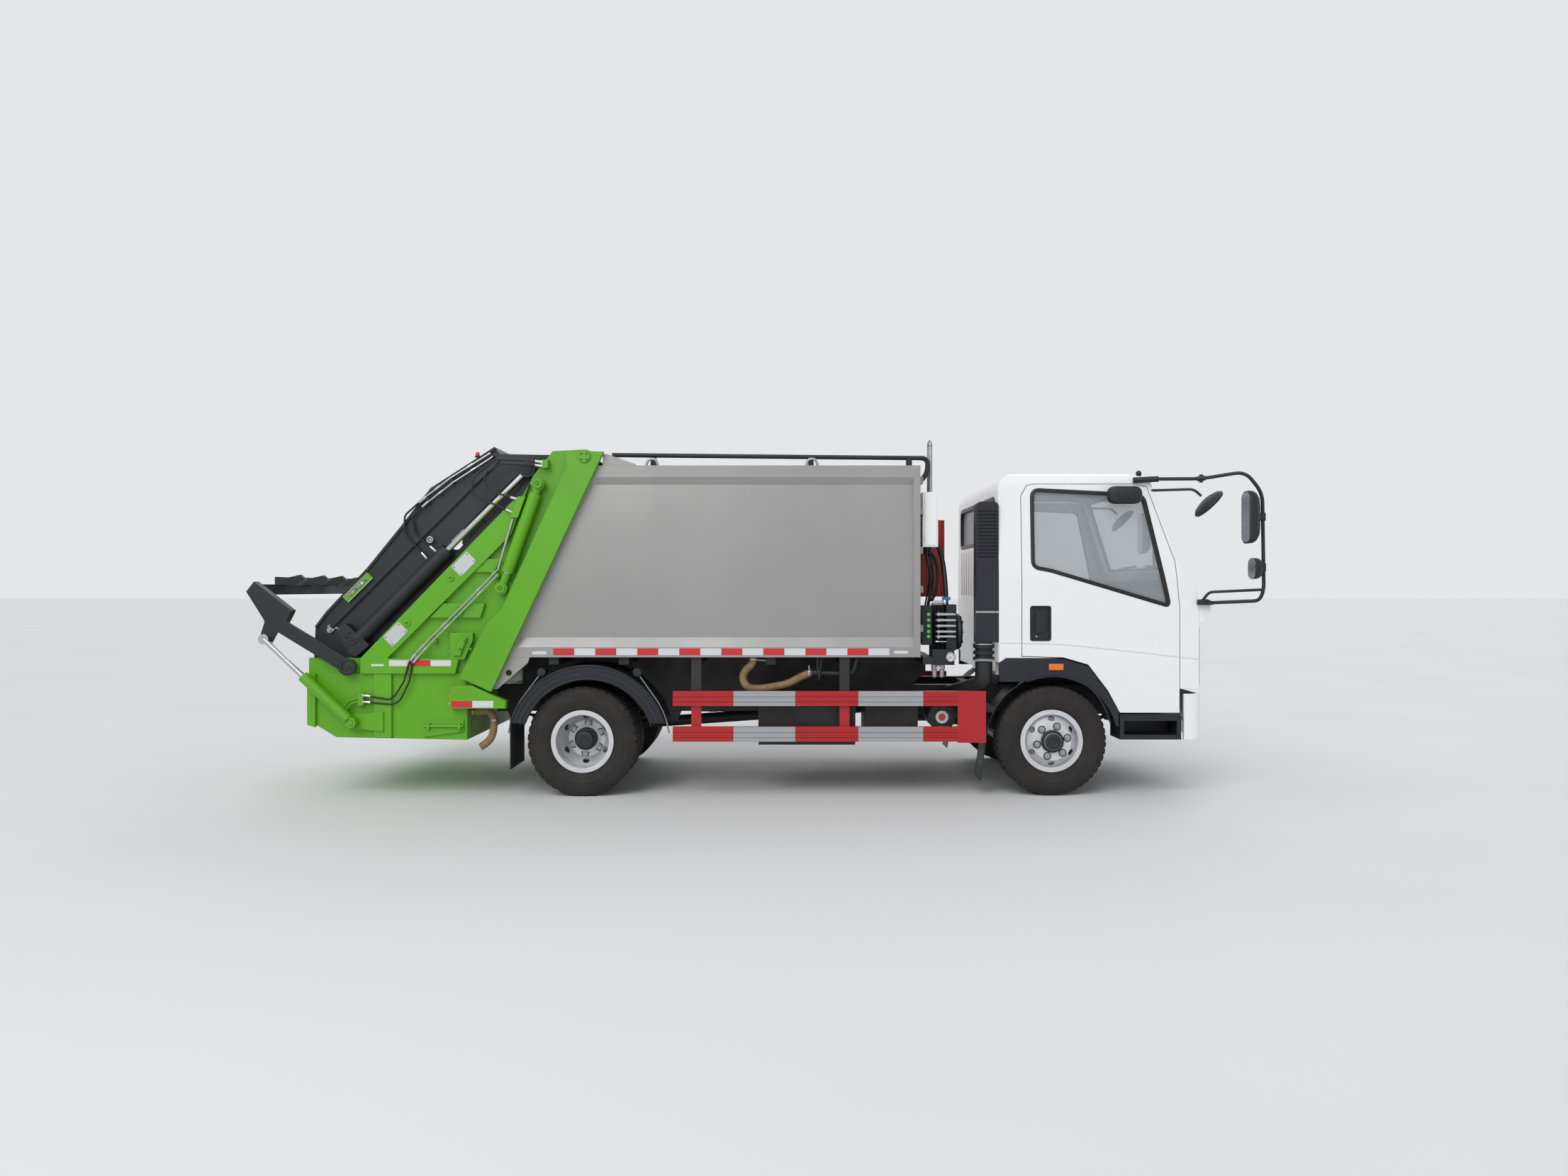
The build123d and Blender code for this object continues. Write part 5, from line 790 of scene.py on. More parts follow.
for side_name, side in SIDES:
    for wheel, axle_x, nut_y, hub_y, hub_radius, first_angle in wheel_table:
        # The twin rear wheels are one body, and their tyres one node
        ending = f"s_{side_name}" if wheel == "rear" else f"_{side_name}"
        body = f"{wheel}_wheel{ending}"
        tyre_node = f"{wheel}_tyre{ending}"

        def tyres(work):
            for tyre_y in tyre_rows[wheel]:
                add_tyre(work, (axle_x, side * tyre_y, AXLE_Z), TYRE_STEPS[wheel])

        def nut_spots():
            for index in range(NUT_COUNT):
                angle = math.radians(360 / NUT_COUNT * index + first_angle)
                x = axle_x + BOLT_CIRCLE * math.cos(angle)
                yield x, side * nut_y, AXLE_Z + BOLT_CIRCLE * math.sin(angle)

        def nuts(work):
            for spot in nut_spots():
                add_bolt(work, spot, (0, side, 0), NUT_SIZE)

        def sockets(work):
            ring = [(0.021, -0.001), (0.029, -0.001), (0.029, 0.0012), (0.021, 0.0012)]
            for spot in nut_spots():
                add_turned(work, ring, spot, (0, side, 0), 20)

        def hub(work):
            reach = hub_y - nut_y
            cap = [(0.001, -0.004), (0.081, -0.004), (0.081, reach * 0.45), (0.077, reach * 0.6)]
            cap += [(hub_radius + 0.008, reach * 0.66), (hub_radius + 0.006, reach + 0.004)]
            cap += [
                (hub_radius, reach + 0.0065), (0.03, reach + 0.0065), (0.026, reach + 0.003),
                (0.001, reach + 0.003),
            ]
            add_turned(work, cap, (axle_x, side * nut_y, AXLE_Z), (0, side, 0), 40)

        def valve(work):
            stem = (axle_x + 0.15, side * (nut_y + 0.01), AXLE_Z + 0.06)
            add_pipe(work, [stem, (stem[0] + 0.02, stem[1] + side * 0.03, stem[2] + 0.012)], 0.004)

        tread = make_piece(f"{wheel}_tread_{side_name}", body, "tyre_rubber", tyre_rubber, tyres)
        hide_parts(tyre_node)
        make_piece(f"{wheel}_nuts_{side_name}", body, "chrome_pipes", zinc_steel, nuts, bevel=0.0008)
        make_piece(f"{wheel}_sockets_{side_name}", body, "black_plastic", frame_paint, sockets)
        make_piece(f"{wheel}_hub_{side_name}", body, "black_plastic", frame_paint, hub, smooth=True)
        make_piece(f"{wheel}_valve_{side_name}", body, "chrome_pipes", zinc_steel, valve, smooth=True)


# Reflective tape: body sill, tailgate belt and lamp boxes

STRIP_GAP = 0.0005
TAPE_RAISE = 0.0012

def tape_run(name, body, x_range, z_range, face_y, count, first_red=True):
    """Alternating red and white strips on both sides."""
    length = (x_range[1] - x_range[0]) / count
    for side_name, side in SIDES:
        for color, slot, material in (("red", "red_paint", tape_red), ("white", "white_paint", tape_white)):
            first = 0 if (color == "red") == first_red else 1

            def strips(work):
                for index in range(first, count, 2):
                    start = x_range[0] + index * length
                    low = (start + STRIP_GAP, side * (face_y - SINK), z_range[0])
                    high = (start + length - STRIP_GAP, side * (face_y + TAPE_RAISE), z_range[1])
                    add_box(work, low, high)

            make_piece(f"{name}_{color}_{side_name}", body, slot, material, strips)


tape_run("sill_tape", "chassis", (-1.393, 0.993), (1.012, 1.06), BODY_SIDE_Y, 16)
tape_run("belt_tape", "tailgate", (-2.554, -2.113), (0.935, 0.977), BAND_Y, 3, first_red=False)
tape_run("lamp_box_tape", "tailgate", (-2.104, -1.806), (0.645, 0.692), 1.032, 2)

blank_strips = (
    # body, outline's X range, Z range, face Y
    ("chassis", (-1.543, -1.44), (1.018, 1.04), BODY_SIDE_Y),
    ("chassis", (1.025, 1.126), (1.022, 1.044), BODY_SIDE_Y),
    ("tailgate", (-2.68, -2.59), (0.935, 0.95), BAND_Y),
)
for side_name, side in SIDES:
    for index, (body, x_range, z_range, face_y) in enumerate(blank_strips):
        def strip(work):
            middle = ((x_range[0] + x_range[1]) / 2, (z_range[0] + z_range[1]) / 2)
            shape = rounded_rectangle(x_range[1] - x_range[0], z_range[1] - z_range[0], 0.008)
            outline = [(middle[0] + point.x, middle[1] + point.y) for point in shape]
            add_plate(work, outline, side * (face_y - SINK), side * (face_y + 0.0015))

        make_piece(f"reflector_{index}_{side_name}", body, "white_paint", tape_white, strip)


# Side guards: grey sections and the pressed ribs along each rail

GUARD_X = (-0.545, 1.48)
GUARD_TOPS = (0.757, 0.504)
GUARD_HEIGHT = 0.106
GREY_X = ((-0.114, 0.325), (0.773, 1.233))
RIB_DROPS = (0.034, 0.07)


def add_ribs(work, side, x_range, face_y):
    """Raised ribs along both rails over a range of X."""
    for top in GUARD_TOPS:
        for drop in RIB_DROPS:
            middle = top - drop
            profile = [(-0.008, 0), (-0.004, 0.005), (0.004, 0.005), (0.008, 0)]
            near = [work.verts.new((x_range[0], side * (face_y + out), middle + up)) for up, out in profile]
            far = [work.verts.new((x_range[1], side * (face_y + out), middle + up)) for up, out in profile]
            for index in range(len(profile)):
                after = (index + 1) % len(profile)
                work.faces.new((near[index], near[after], far[after], far[index]))
            work.faces.new(list(reversed(near)))
            work.faces.new(far)


@on_each_side("chassis", "red_paint", tape_grey)
def guard_grey(work, side):
    for x_range in GREY_X:
        for top in GUARD_TOPS:
            low = (x_range[0], side * (BODY_SIDE_Y - SINK), top - GUARD_HEIGHT)
            add_box(work, low, (x_range[1], side * (BODY_SIDE_Y + 0.001), top))
        add_ribs(work, side, x_range, BODY_SIDE_Y + 0.001)


@on_each_side("chassis", "red_paint")
def guard_ribs(work, side):
    ends = [GUARD_X[0], *GREY_X[0], *GREY_X[1], GUARD_X[1]]
    for index in range(0, len(ends), 2):
        add_ribs(work, side, (ends[index], ends[index + 1]), BODY_SIDE_Y)


# Rear mudguards: rim beads, round stay caps and their silver straps

FENDER_CENTRE = (-1.15, 0.371)
FENDER_BEADS = ((0.566, 0.007), (0.535, 0.0045), (0.497, 0.0045), (0.472, 0.006))
FENDER_SPAN = (17, 163)
FENDER_STEPS = 48
CAP_Y = 0.93
STRAP_RADIUS = 0.58
STAY_CAPS = ((-1.485, 0.886, 150), (-0.804, 0.886, 30))


def fender_point(radius, degrees, out):
    """Point on an arc round the mudguard's centre, in (x, y, z) for the right side."""
    angle = math.radians(degrees)
    return (FENDER_CENTRE[0] + radius * math.cos(angle), -out, FENDER_CENTRE[1] + radius * math.sin(angle))


@on_each_side("chassis", "black_plastic", smooth=True)
def fender_beads(work, side):
    for radius, thickness in FENDER_BEADS:
        route = []
        for step in range(FENDER_STEPS + 1):
            degrees = FENDER_SPAN[0] + (FENDER_SPAN[1] - FENDER_SPAN[0]) * step / FENDER_STEPS
            x, y, z = fender_point(radius, degrees, BODY_SIDE_Y)
            route.append((Vector((x, -side * y, z)), thickness))
        add_tube(work, route, 8)


@on_each_side("chassis", "black_plastic", smooth=True)
def fender_caps(work, side):
    for cap_x, cap_z, _ in STAY_CAPS:
        add_rod(work, (cap_x, side * 0.8, cap_z), (cap_x, side * CAP_Y, cap_z), 0.016)
        add_disc(work, (cap_x, side * (CAP_Y - 0.005), cap_z), (0, side, 0), 0.034, 0.03)


@on_each_side("chassis", "chrome_pipes", zinc_steel, smooth=True)
def fender_straps(work, side):
    for cap_x, cap_z, degrees in STAY_CAPS:
        turn = 1 if degrees > 90 else -1
        points = [(cap_x, side * (CAP_Y + 0.01), cap_z)]
        for step in range(6):
            x, y, z = fender_point(STRAP_RADIUS, degrees - turn * (18 - step * 8), CAP_Y)
            points.append((x, -side * y, z))
        add_pipe(work, points[:1] + points[2:], 0.006, sides=8)


# Tailgate: inspection plates, bosses, bolts, pins and the button panel

INSPECTION_PLATES = ((-2.022, 1.659), (-2.506, 1.161))
PLATE_LENGTH = 0.157
PLATE_WIDTH = 0.099
BAND_BOSSES = ((-2.117, 1.56), (-2.427, 1.241))
LOCK_BOLTS = ((-2.03, 1.088, BAND_Y), (-1.973, 1.054, BAND_Y), (-2.045, 1.06, 1.022), (-2.01, 1.12, 1.022))
LOCK_STUDS = ((-2.112, 1.145), (-2.112, 1.09), (-2.112, 1.035))
PANEL_Y = 0.905
STUD_Y = 0.975
BUTTON_RADIUS = 0.0095
BUTTON_ROW = ((-2.757, 1.546), (-2.865, 1.438))
button_looks = (teal_button, white_button, grey_button, blue_button, yellow_button, pink_button)
EYE_RADIUS = 0.02
EYE_STEPS = 20
EYE_BOLT = (-2.293, 1.835)
FITTINGS = (-3.02, 1.186)


def button_place(index):
    """Place in (x, z) of a button in its row."""
    first, last = BUTTON_ROW
    part = index / (len(button_looks) - 1)
    return (first[0] + (last[0] - first[0]) * part, first[1] + (last[1] - first[1]) * part)


@on_each_side("tailgate", "green_paint", plate_metal, bevel=0.001)
def inspection_plates(work, side):
    for centre in INSPECTION_PLATES:
        shape = rounded_rectangle(PLATE_LENGTH, PLATE_WIDTH, 0.012)
        outline = [sloped(centre, point.x, point.y) for point in shape]
        add_plate(work, outline, side * (BAND_Y - SINK), side * (BAND_Y + 0.004))


@on_each_side("tailgate", "green_paint", zinc_steel)
def plate_screws(work, side):
    for centre in INSPECTION_PLATES:
        for along in (-1, 1):
            for across in (-1, 1):
                x, z = sloped(centre, along * (PLATE_LENGTH / 2 - 0.014), across * (PLATE_WIDTH / 2 - 0.014))
                add_bolt(work, (x, side * (BAND_Y + 0.004), z), (0, side, 0), 0.0075)


@on_each_side("tailgate", "green_paint")
def band_bosses(work, side):
    ring = [(0.009, 0), (0.026, 0), (0.026, 0.006), (0.022, 0.009), (0.009, 0.009)]
    for x, z in BAND_BOSSES:
        add_turned(work, ring, (x, side * (BAND_Y - SINK), z), (0, side, 0), 28)
        add_bolt(work, (x, side * BAND_Y, z), (0, side, 0), 0.009)
    for x, z, face_y in LOCK_BOLTS:
        add_bolt(work, (x, side * face_y, z), (0, side, 0), 0.012)
    for x, z in LOCK_STUDS:
        add_rod(work, (x, side * STUD_Y, z), (x - 0.03, side * STUD_Y, z), 0.007)
        add_rod(work, (x - 0.006, side * STUD_Y, z), (x - 0.018, side * STUD_Y, z), 0.014, sides=6)


@on_each_side("tailgate", "chrome_pipes", zinc_steel, smooth=True)
def button_bezels(work, side):
    for index in range(len(button_looks)):
        x, z = button_place(index)
        ring = [(BUTTON_RADIUS, 0), (0.0145, 0), (0.0145, 0.003), (0.013, 0.005), (BUTTON_RADIUS, 0.005)]
        add_turned(work, ring, (x, side * PANEL_Y, z), (0, side, 0), 24)


@on_each_side("tailgate", "chrome_pipes", plate_metal)
def button_panel_rim(work, side):
    corners = [(-2.744, 1.599), (-2.704, 1.559), (-2.878, 1.385), (-2.918, 1.425)]
    outline = [Vector(point) for point in corners]
    profile = [(-0.004, -0.001), (-0.004, 0.004), (0.0, 0.004), (0.0, -0.001)]
    add_band(work, outline, profile, lambda u, v, height: (u, side * (PANEL_Y + height), v))


@on_each_side("tailgate", "chrome_pipes", zinc_steel, smooth=True)
def eye_bolt(work, side):
    x, z = EYE_BOLT
    loop = []
    for step in range(EYE_STEPS + 1):
        angle = 2 * math.pi * step / EYE_STEPS
        spot = (x + EYE_RADIUS * math.cos(angle), side * PANEL_Y, z + EYE_RADIUS * math.sin(angle))
        loop.append((Vector(spot), 0.006))
    add_tube(work, loop, 10)
    add_rod(work, (x, side * (WALL_Y - 0.001), z), (x, side * 0.903, z), 0.01)


@on_each_side("tailgate", "chrome_pipes", zinc_steel, bevel=0.001)
def steel_fittings(work, side):
    x, z = FITTINGS
    add_disc(work, (x, side * (WALL_Y - 0.001), z), (0, side, 0), 0.024, 0.018, 24)
    add_rod(work, (x, side * 0.875, z), (x, side * 0.9, z), 0.013, sides=6)
    for step in (-0.018, 0.012):
        bend = [(x + 0.004 + step, side * 0.878, z + 0.004 - step)]
        bend.append((x + 0.034 + step, side * 0.878, z + 0.034 - step))
        bend.append((x + 0.046 + step, side * 0.878, z + 0.018 - step))
        add_pipe(work, bend, 0.0065, corner=0.01)
        add_rod(work, bend[0], Vector(bend[0]).lerp(Vector(bend[1]), 0.4), 0.0105, sides=6)


for side_name, side in SIDES:
    for index, look in enumerate(button_looks):
        def button(work):
            x, z = button_place(index)
            add_disc(work, (x, side * PANEL_Y, z), (0, side, 0), BUTTON_RADIUS, 0.011)

        make_piece(f"button_{index}_{side_name}", "tailgate", "black_plastic", look, button, smooth=True)


# Lift cylinders' pins, the hinge cap with its bolts, and the beacon on the dark wall
UPPER_PIN = (-1.49, 2.224)
UPPER_PIN_Y = 1.053
LOWER_PIN = (-1.754, 1.486)
LOWER_PIN_Y = 1.041
PIN_BOLT = 0.013
HINGE_CAP = (-1.165, 2.417)
HINGE_CAP_Y = 1.0415
CAP_HEIGHT = 0.008
CAP_BOLT_CIRCLE = 0.028
LIFTER_BOSS = (-2.839, 0.932)
BEACON = (-1.958, 2.44)
BEACON_Y = 0.88
ROD_EYE = (-1.587, 2.334)
# Painted lower end of the lift rod: a sleeve along the rod, and a ring round its eye
LIFT_SLEEVE = ((-1.7163, 1.5913), (-1.7439, 1.5142))
SLEEVE_END_RADIUS = 0.0285
LIFT_CYLINDER_Y = 1.01
eye_ring = [(0.022, -0.0255), (0.0455, -0.0255), (0.0455, 0.0255), (0.022, 0.0255)]
# Dark bracket round the packing cylinder's foot, with its pin and bolts
foot_bracket = ((-2.937, 1.193), (-2.874, 1.234), (-2.704, 1.083), (-2.802, 0.996), (-2.854, 1.018))
BRACKET_INNER_Y = 0.8705
BRACKET_OUTER_Y = 0.969
FOOT_PIN = (-2.824, 1.118)
FOOT_BOLT = 0.011
foot_bolts = ((-2.847, 1.173), (-2.871, 1.143), (-2.868, 1.062))
# Green elbows from the lower hoses' block to the bin lifter's cylinder
elbows = (
    ((-2.773, 0.71), (-2.835, 0.692), (-2.868, 0.655)),
    ((-2.773, 0.682), (-2.82, 0.672), (-2.85, 0.636)),
)
ELBOW_Y = 0.998
ELBOW_RADIUS = 0.0065
ELBOW_END_RADIUS = 0.00975
ELBOW_END_Y = (0.988, 1.0045)
pin_washer = [
    (0.012, 0), (0.034, 0), (0.034, 0.005), (0.03, 0.008), (0.02, 0.008), (0.018, 0.004), (0.012, 0.004)
]


def add_pin(work, side, place, y):
    """Washer with a bolt in it, facing outward."""
    spot = (place[0], side * y, place[1])
    add_turned(work, pin_washer, spot, (0, side, 0), 28)
    add_bolt(work, spot, (0, side, 0), PIN_BOLT)


@on_each_side("tailgate", "green_paint", smooth=True)
def upper_pin(work, side):
    add_pin(work, side, UPPER_PIN, UPPER_PIN_Y)


@on_each_side("chassis", "green_paint", smooth=True)
def lower_pin(work, side):
    add_pin(work, side, LOWER_PIN, LOWER_PIN_Y)


@on_each_side("chassis", "green_paint", smooth=True)
def hinge_cap(work, side):
    add_disc(work, (HINGE_CAP[0], side * HINGE_CAP_Y, HINGE_CAP[1]), (0, side, 0), 0.044, CAP_HEIGHT, 32)
    for turn in range(4):
        angle = math.radians(45 + 90 * turn)
        x = HINGE_CAP[0] + CAP_BOLT_CIRCLE * math.cos(angle)
        z = HINGE_CAP[1] + CAP_BOLT_CIRCLE * math.sin(angle)
        add_bolt(work, (x, side * (HINGE_CAP_Y + CAP_HEIGHT), z), (0, side, 0), 0.009)


@on_each_side("bin_lifter", "dark_paint", smooth=True)
def lifter_boss(work, side):
    x, z = LIFTER_BOSS
    ring = [(0.036, 0), (0.062, 0), (0.062, 0.008), (0.058, 0.012), (0.04, 0.012), (0.036, 0.008)]
    add_turned(work, ring, (x, side * 1.0205, z), (0, side, 0), 40)


@on_each_side("tailgate", "dark_paint", smooth=True)
def boss_pin(work, side):
    x, z = LIFTER_BOSS
    add_disc(work, (x, side * 1.021, z), (0, side, 0), 0.03, 0.007, 28)
    add_bolt(work, (x, side * 1.028, z), (0, side, 0), 0.01)


@on_each_side("carriage", "dark_paint", smooth=True)
def rod_eye(work, side):
    x, z = ROD_EYE
    collar = [(0.001, 0), (0.0575, 0), (0.0575, 0.054), (0.053, 0.0555), (0.036, 0.0555)]
    collar += [(0.034, 0.064), (0.03, 0.0655), (0.001, 0.0655)]
    add_turned(work, collar, (x, side * 0.898, z), (0, side, 0), 36)
    add_disc(work, (x, side * 0.9632, z), (0, side, 0), 0.012, 0.004, 16)


@on_each_side("lift_rods", "green_paint", smooth=True)
def lift_rod_end(work, side):
    top, bottom = LIFT_SLEEVE
    y = side * LIFT_CYLINDER_Y
    add_rod(work, (top[0], y, top[1]), (bottom[0], y, bottom[1]), SLEEVE_END_RADIUS, sides=28)
    add_turned(work, eye_ring, (LOWER_PIN[0], y, LOWER_PIN[1]), (0, side, 0), 36)


@on_each_side("tailgate", "dark_paint", bevel=0.004)
def cylinder_foot(work, side):
    add_plate(work, foot_bracket, side * BRACKET_INNER_Y, side * BRACKET_OUTER_Y)


@on_each_side("tailgate", "dark_paint")
def foot_fittings(work, side):
    add_pin(work, side, FOOT_PIN, BRACKET_OUTER_Y)
    for x, z in foot_bolts:
        add_bolt(work, (x, side * BRACKET_OUTER_Y, z), (0, side, 0), FOOT_BOLT)


@on_each_side("tailgate", "green_paint", smooth=True)
def hose_elbows(work, side):
    y = side * ELBOW_Y
    for start, bend, end in elbows:
        add_rod(work, (start[0], y, start[1]), (bend[0], y, bend[1]), ELBOW_RADIUS)
        add_rod(work, (bend[0], y, bend[1]), (end[0], y, end[1]), ELBOW_RADIUS)
        inner, outer = [(end[0], side * end_y, end[1]) for end_y in ELBOW_END_Y]
        add_rod(work, inner, outer, ELBOW_END_RADIUS)


@on_each_side("tailgate", "black_plastic", smooth=True)
def beacon_base(work, side):
    base = [(0.001, 0), (0.02, 0), (0.02, 0.01), (0.015, 0.014), (0.001, 0.014)]
    add_turned(work, base, (BEACON[0], side * BEACON_Y, BEACON[1] - 0.012), (0, 0, 1), 24)


@on_each_side("tailgate", "red_paint", red_lens, smooth=True)
def beacon_lens(work, side):
    dome = [(0.001, 0), (0.014, 0), (0.014, 0.016), (0.01, 0.024), (0.001, 0.027)]
    add_turned(work, dome, (BEACON[0], side * BEACON_Y, BEACON[1] + 0.002), (0, 0, 1), 24)


# Chrome sleeves and nuts at the ends of the hydraulic hoses
PIPE_Y = 1.012
LOWER_HOSE_Y = 0.998
WALL_HOSE_Y = 0.902
EAR_HOSE_Y = 1.008
hose_ends = (
    # Y, the hose's end, and a point further along it
    (PIPE_Y, (-2.3678, 1.017), (-2.408, 0.961)),
    (PIPE_Y, (-2.3456, 0.9993), (-2.386, 0.951)),
    (LOWER_HOSE_Y, (-2.7335, 0.728), (-2.531, 0.695)),
    (LOWER_HOSE_Y, (-2.7335, 0.682), (-2.49, 0.66)),
    (WALL_HOSE_Y, (-2.3339, 2.1363), (-2.475, 2.01)),
    (WALL_HOSE_Y, (-2.3118, 2.1034), (-2.428, 2.0)),
    (WALL_HOSE_Y, (-2.32, 1.706), (-2.478, 1.88)),
    (WALL_HOSE_Y, (-2.254, 1.756), (-2.4, 1.88)),
    (EAR_HOSE_Y, (-1.4665, 2.38), (-1.56, 2.392)),
    (EAR_HOSE_Y, (-1.4665, 2.352), (-1.545, 2.362)),
    (EAR_HOSE_Y, (-1.6763, 2.0245), (-1.965, 2.15)),
    (EAR_HOSE_Y, (-1.642, 2.117), (-1.85, 2.18)),
)
SLEEVE_LENGTH = 0.05
SLEEVE_RADIUS = 0.0105
NUT_BACK = 0.008
NUT_FRONT = 0.012


@on_each_side("tailgate", "chrome_pipes", bevel=0.001)
def hose_sleeves(work, side):
    for hose_y, end, further in hose_ends:
        start = Vector((end[0], side * hose_y, end[1]))
        ahead = (Vector((further[0], side * hose_y, further[1])) - start).normalized()
        add_rod(work, start + ahead * NUT_FRONT, start + ahead * SLEEVE_LENGTH, SLEEVE_RADIUS)
        add_rod(work, start - ahead * NUT_BACK, start + ahead * NUT_FRONT, SLEEVE_RADIUS + 0.003, sides=6)


# Tail lamps on the rear faces of the lamp boxes
TAIL_LAMP_X = -2.117
tail_lamps = (("stop", 0.77, red_lens, "red_paint"), ("turn", 0.72, amber_lens, "lamp_plastic"),
              ("reverse", 0.67, clear_lens, "lamp_plastic"))
for side_name, side in SIDES:
    for lamp_name, lamp_z, look, slot in tail_lamps:
        def tail_lamp(work):
            lens = [(0.001, 0), (0.02, 0), (0.02, 0.006), (0.016, 0.01), (0.001, 0.012)]
            add_turned(work, lens, (TAIL_LAMP_X + 0.0005, side * 1.0, lamp_z), (-1, 0, 0), 28)

        make_piece(f"{lamp_name}_lamp_{side_name}", "tailgate", slot, look, tail_lamp, smooth=True)


# Ribbed drain hoses, the hopper's and the body's, with clamps and the drain valve

hopper_hose_route = [
    (-2.006, -0.875, 0.602),
    (-1.93, -0.878, 0.606),
    (-1.862, -0.882, 0.598),
    (-1.838, -0.884, 0.54),
    (-1.842, -0.886, 0.45),
    (-1.872, -0.889, 0.385),
    (-1.93, -0.891, 0.35),
]
HOPPER_HOSE_RADIUS = 0.029
BODY_HOSE_RADIUS = 0.03
RIB_PITCH = 0.011
RIB_DEPTH = 0.006


def hopper_drain_hose(work):
    """Ribbed hose from the hopper's outlet, open at its lower end."""
    add_tube(work, corrugate(spline_route(hopper_hose_route), HOPPER_HOSE_RADIUS, RIB_DEPTH, RIB_PITCH), 20)


@once("tailgate", "chrome_pipes", zinc_steel, smooth=True)
def hopper_hose_clamps(work):
    """Worm clamps on the hopper's drain hose."""
    ring = [(0.0275, 0), (0.032, 0), (0.032, 0.012), (0.0275, 0.012)]
    add_turned(work, ring, (-1.995, -0.8755, 0.602), (1, 0, 0), 28)
    add_turned(work, ring, (-1.838, -0.884, 0.535), (0, 0, 1), 28)


hopper_piece = make_piece(
    "hopper_drain_hose", "tailgate", "tan_rubber", tan_rubber, hopper_drain_hose, smooth=True
)
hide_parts("hopper_hose")

body_hose_route = [
    (0.025, -0.9, 0.9965),
    (0.025, -0.9, 0.95),
    (-0.035, -0.9, 0.9),
    (-0.055, -0.9, 0.84),
    (-0.02, -0.9, 0.775),
    (0.06, -0.9, 0.765),
    (0.16, -0.9, 0.78),
    (0.27, -0.9, 0.8),
    (0.35, -0.9, 0.845),
    (0.42, -0.9, 0.878),
    (0.44, -0.9, 0.88),
]
VALVE_AXIS_Z = 0.88
VALVE_Y = -0.9


def body_drain(work):
    """Ribbed hose from the body's floor to the drain valve."""
    add_tube(work, corrugate(spline_route(body_hose_route), BODY_HOSE_RADIUS, RIB_DEPTH, RIB_PITCH), 20)


@once("chassis", "chrome_pipes", zinc_steel, smooth=True)
def drain_hose_clamps(work):
    """Worm clamps at both ends of the body's drain hose."""
    ring = [(0.0285, 0), (0.033, 0), (0.033, 0.013), (0.0285, 0.013)]
    add_turned(work, ring, (0.418, VALVE_Y, VALVE_AXIS_Z - 0.001), (1, 0, 0), 28)
    add_turned(work, ring, (0.025, VALVE_Y, 0.972), (0, 0, 1), 28)
    add_rod(work, (0.05, VALVE_Y - 0.02, 0.975), (0.12, VALVE_Y - 0.02, 0.97), 0.006)
    add_rod(work, (0.425, VALVE_Y - 0.01, 0.905), (0.425, VALVE_Y - 0.01, 0.935), 0.006)


@once("chassis", "black_plastic", smooth=True)
def drain_valve(work):
    """Gate valve with flanges, lever, hanger and the pipe that leads back up to the body."""
    body = [
        (0.002, 0),
        (0.034, 0),
        (0.034, 0.014),
        (0.026, 0.018),
        (0.026, 0.04),
        (0.038, 0.044),
        (0.038, 0.062),
        (0.026, 0.066),
        (0.002, 0.066),
    ]
    add_turned(work, body, (0.44, VALVE_Y, VALVE_AXIS_Z), (1, 0, 0), 28)
    add_pipe(work, [(0.492, -0.937, 0.83), (0.502, -0.94, 0.9), (0.514, -0.937, 0.99)], 0.007)
    add_rod(work, (0.497, VALVE_Y, 0.865), (0.497, -0.944, 0.865), 0.01)
    add_box(work, (0.478, -0.925, 0.9), (0.492, -0.875, 0.9965))
    add_pipe(
        work, [(0.5, VALVE_Y, 0.88), (0.74, VALVE_Y, 0.872), (0.765, VALVE_Y, 0.995)], 0.019, corner=0.05
    )


body_hose_piece = make_piece("body_drain_hose", "chassis", "tan_rubber", tan_rubber, body_drain, smooth=True)
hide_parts("drain_hoses")


# Cab: rubbers, creases, handles, lamps

def cab_side(z, above=0.0):
    """Y of the cab's side at a height, drawn in above the waist."""
    lean = max(0.0, z - CAB_WAIST_Z) / (CAB_TOP_Z - CAB_WAIST_Z)
    return CAB_SIDE_Y - (CAB_SIDE_Y - CAB_ROOF_SIDE_Y) * lean + above


window_outline = [
    (2.031, 1.642), (2.031, 2.186), (2.815, 2.147), (2.981, 1.398), (2.981, 1.373), (2.137, 1.626)
]
rubber_profile = [
    (-0.006, -0.022), (-0.006, 0.002), (-0.002, 0.005), (0.017, 0.005), (0.022, 0.0015), (0.022, -0.003)
]
SCREEN_ORIGIN = Vector((3.102, 0, 1.572))
SCREEN_UP = Vector((-0.235, 0, 0.71)).normalized()
SCREEN_OUT = Vector((0.71, 0, 0.235)).normalized()
screen_outline = [(-0.8, 0.06), (0.8, 0.06), (0.76, 0.69), (-0.76, 0.69)]
HANDLE = (2.0765, 1.236)
HANDLE_Y = 0.9255
REAR_PANE_Y = 0.76
REAR_PANE_Z = (1.84, 2.135)
CAB_REAR_X = 1.78
LONGEST_RUN = 0.06


def screen_point(across, up, out):
    """Point on the windscreen's plane."""
    return SCREEN_ORIGIN + Vector((0, across, 0)) + SCREEN_UP * up + SCREEN_OUT * out


def smooth_edges(outline, corner):
    """Outline with rounded corners and its straight runs cut short, so that it can lie on a curved side."""
    rounded = round_outline(outline, corner)
    dense = []
    for index, here in enumerate(rounded):
        after = rounded[(index + 1) % len(rounded)]
        count = max(1, round((after - here).length / LONGEST_RUN))
        dense += [here.lerp(after, step / count) for step in range(count)]
    return dense


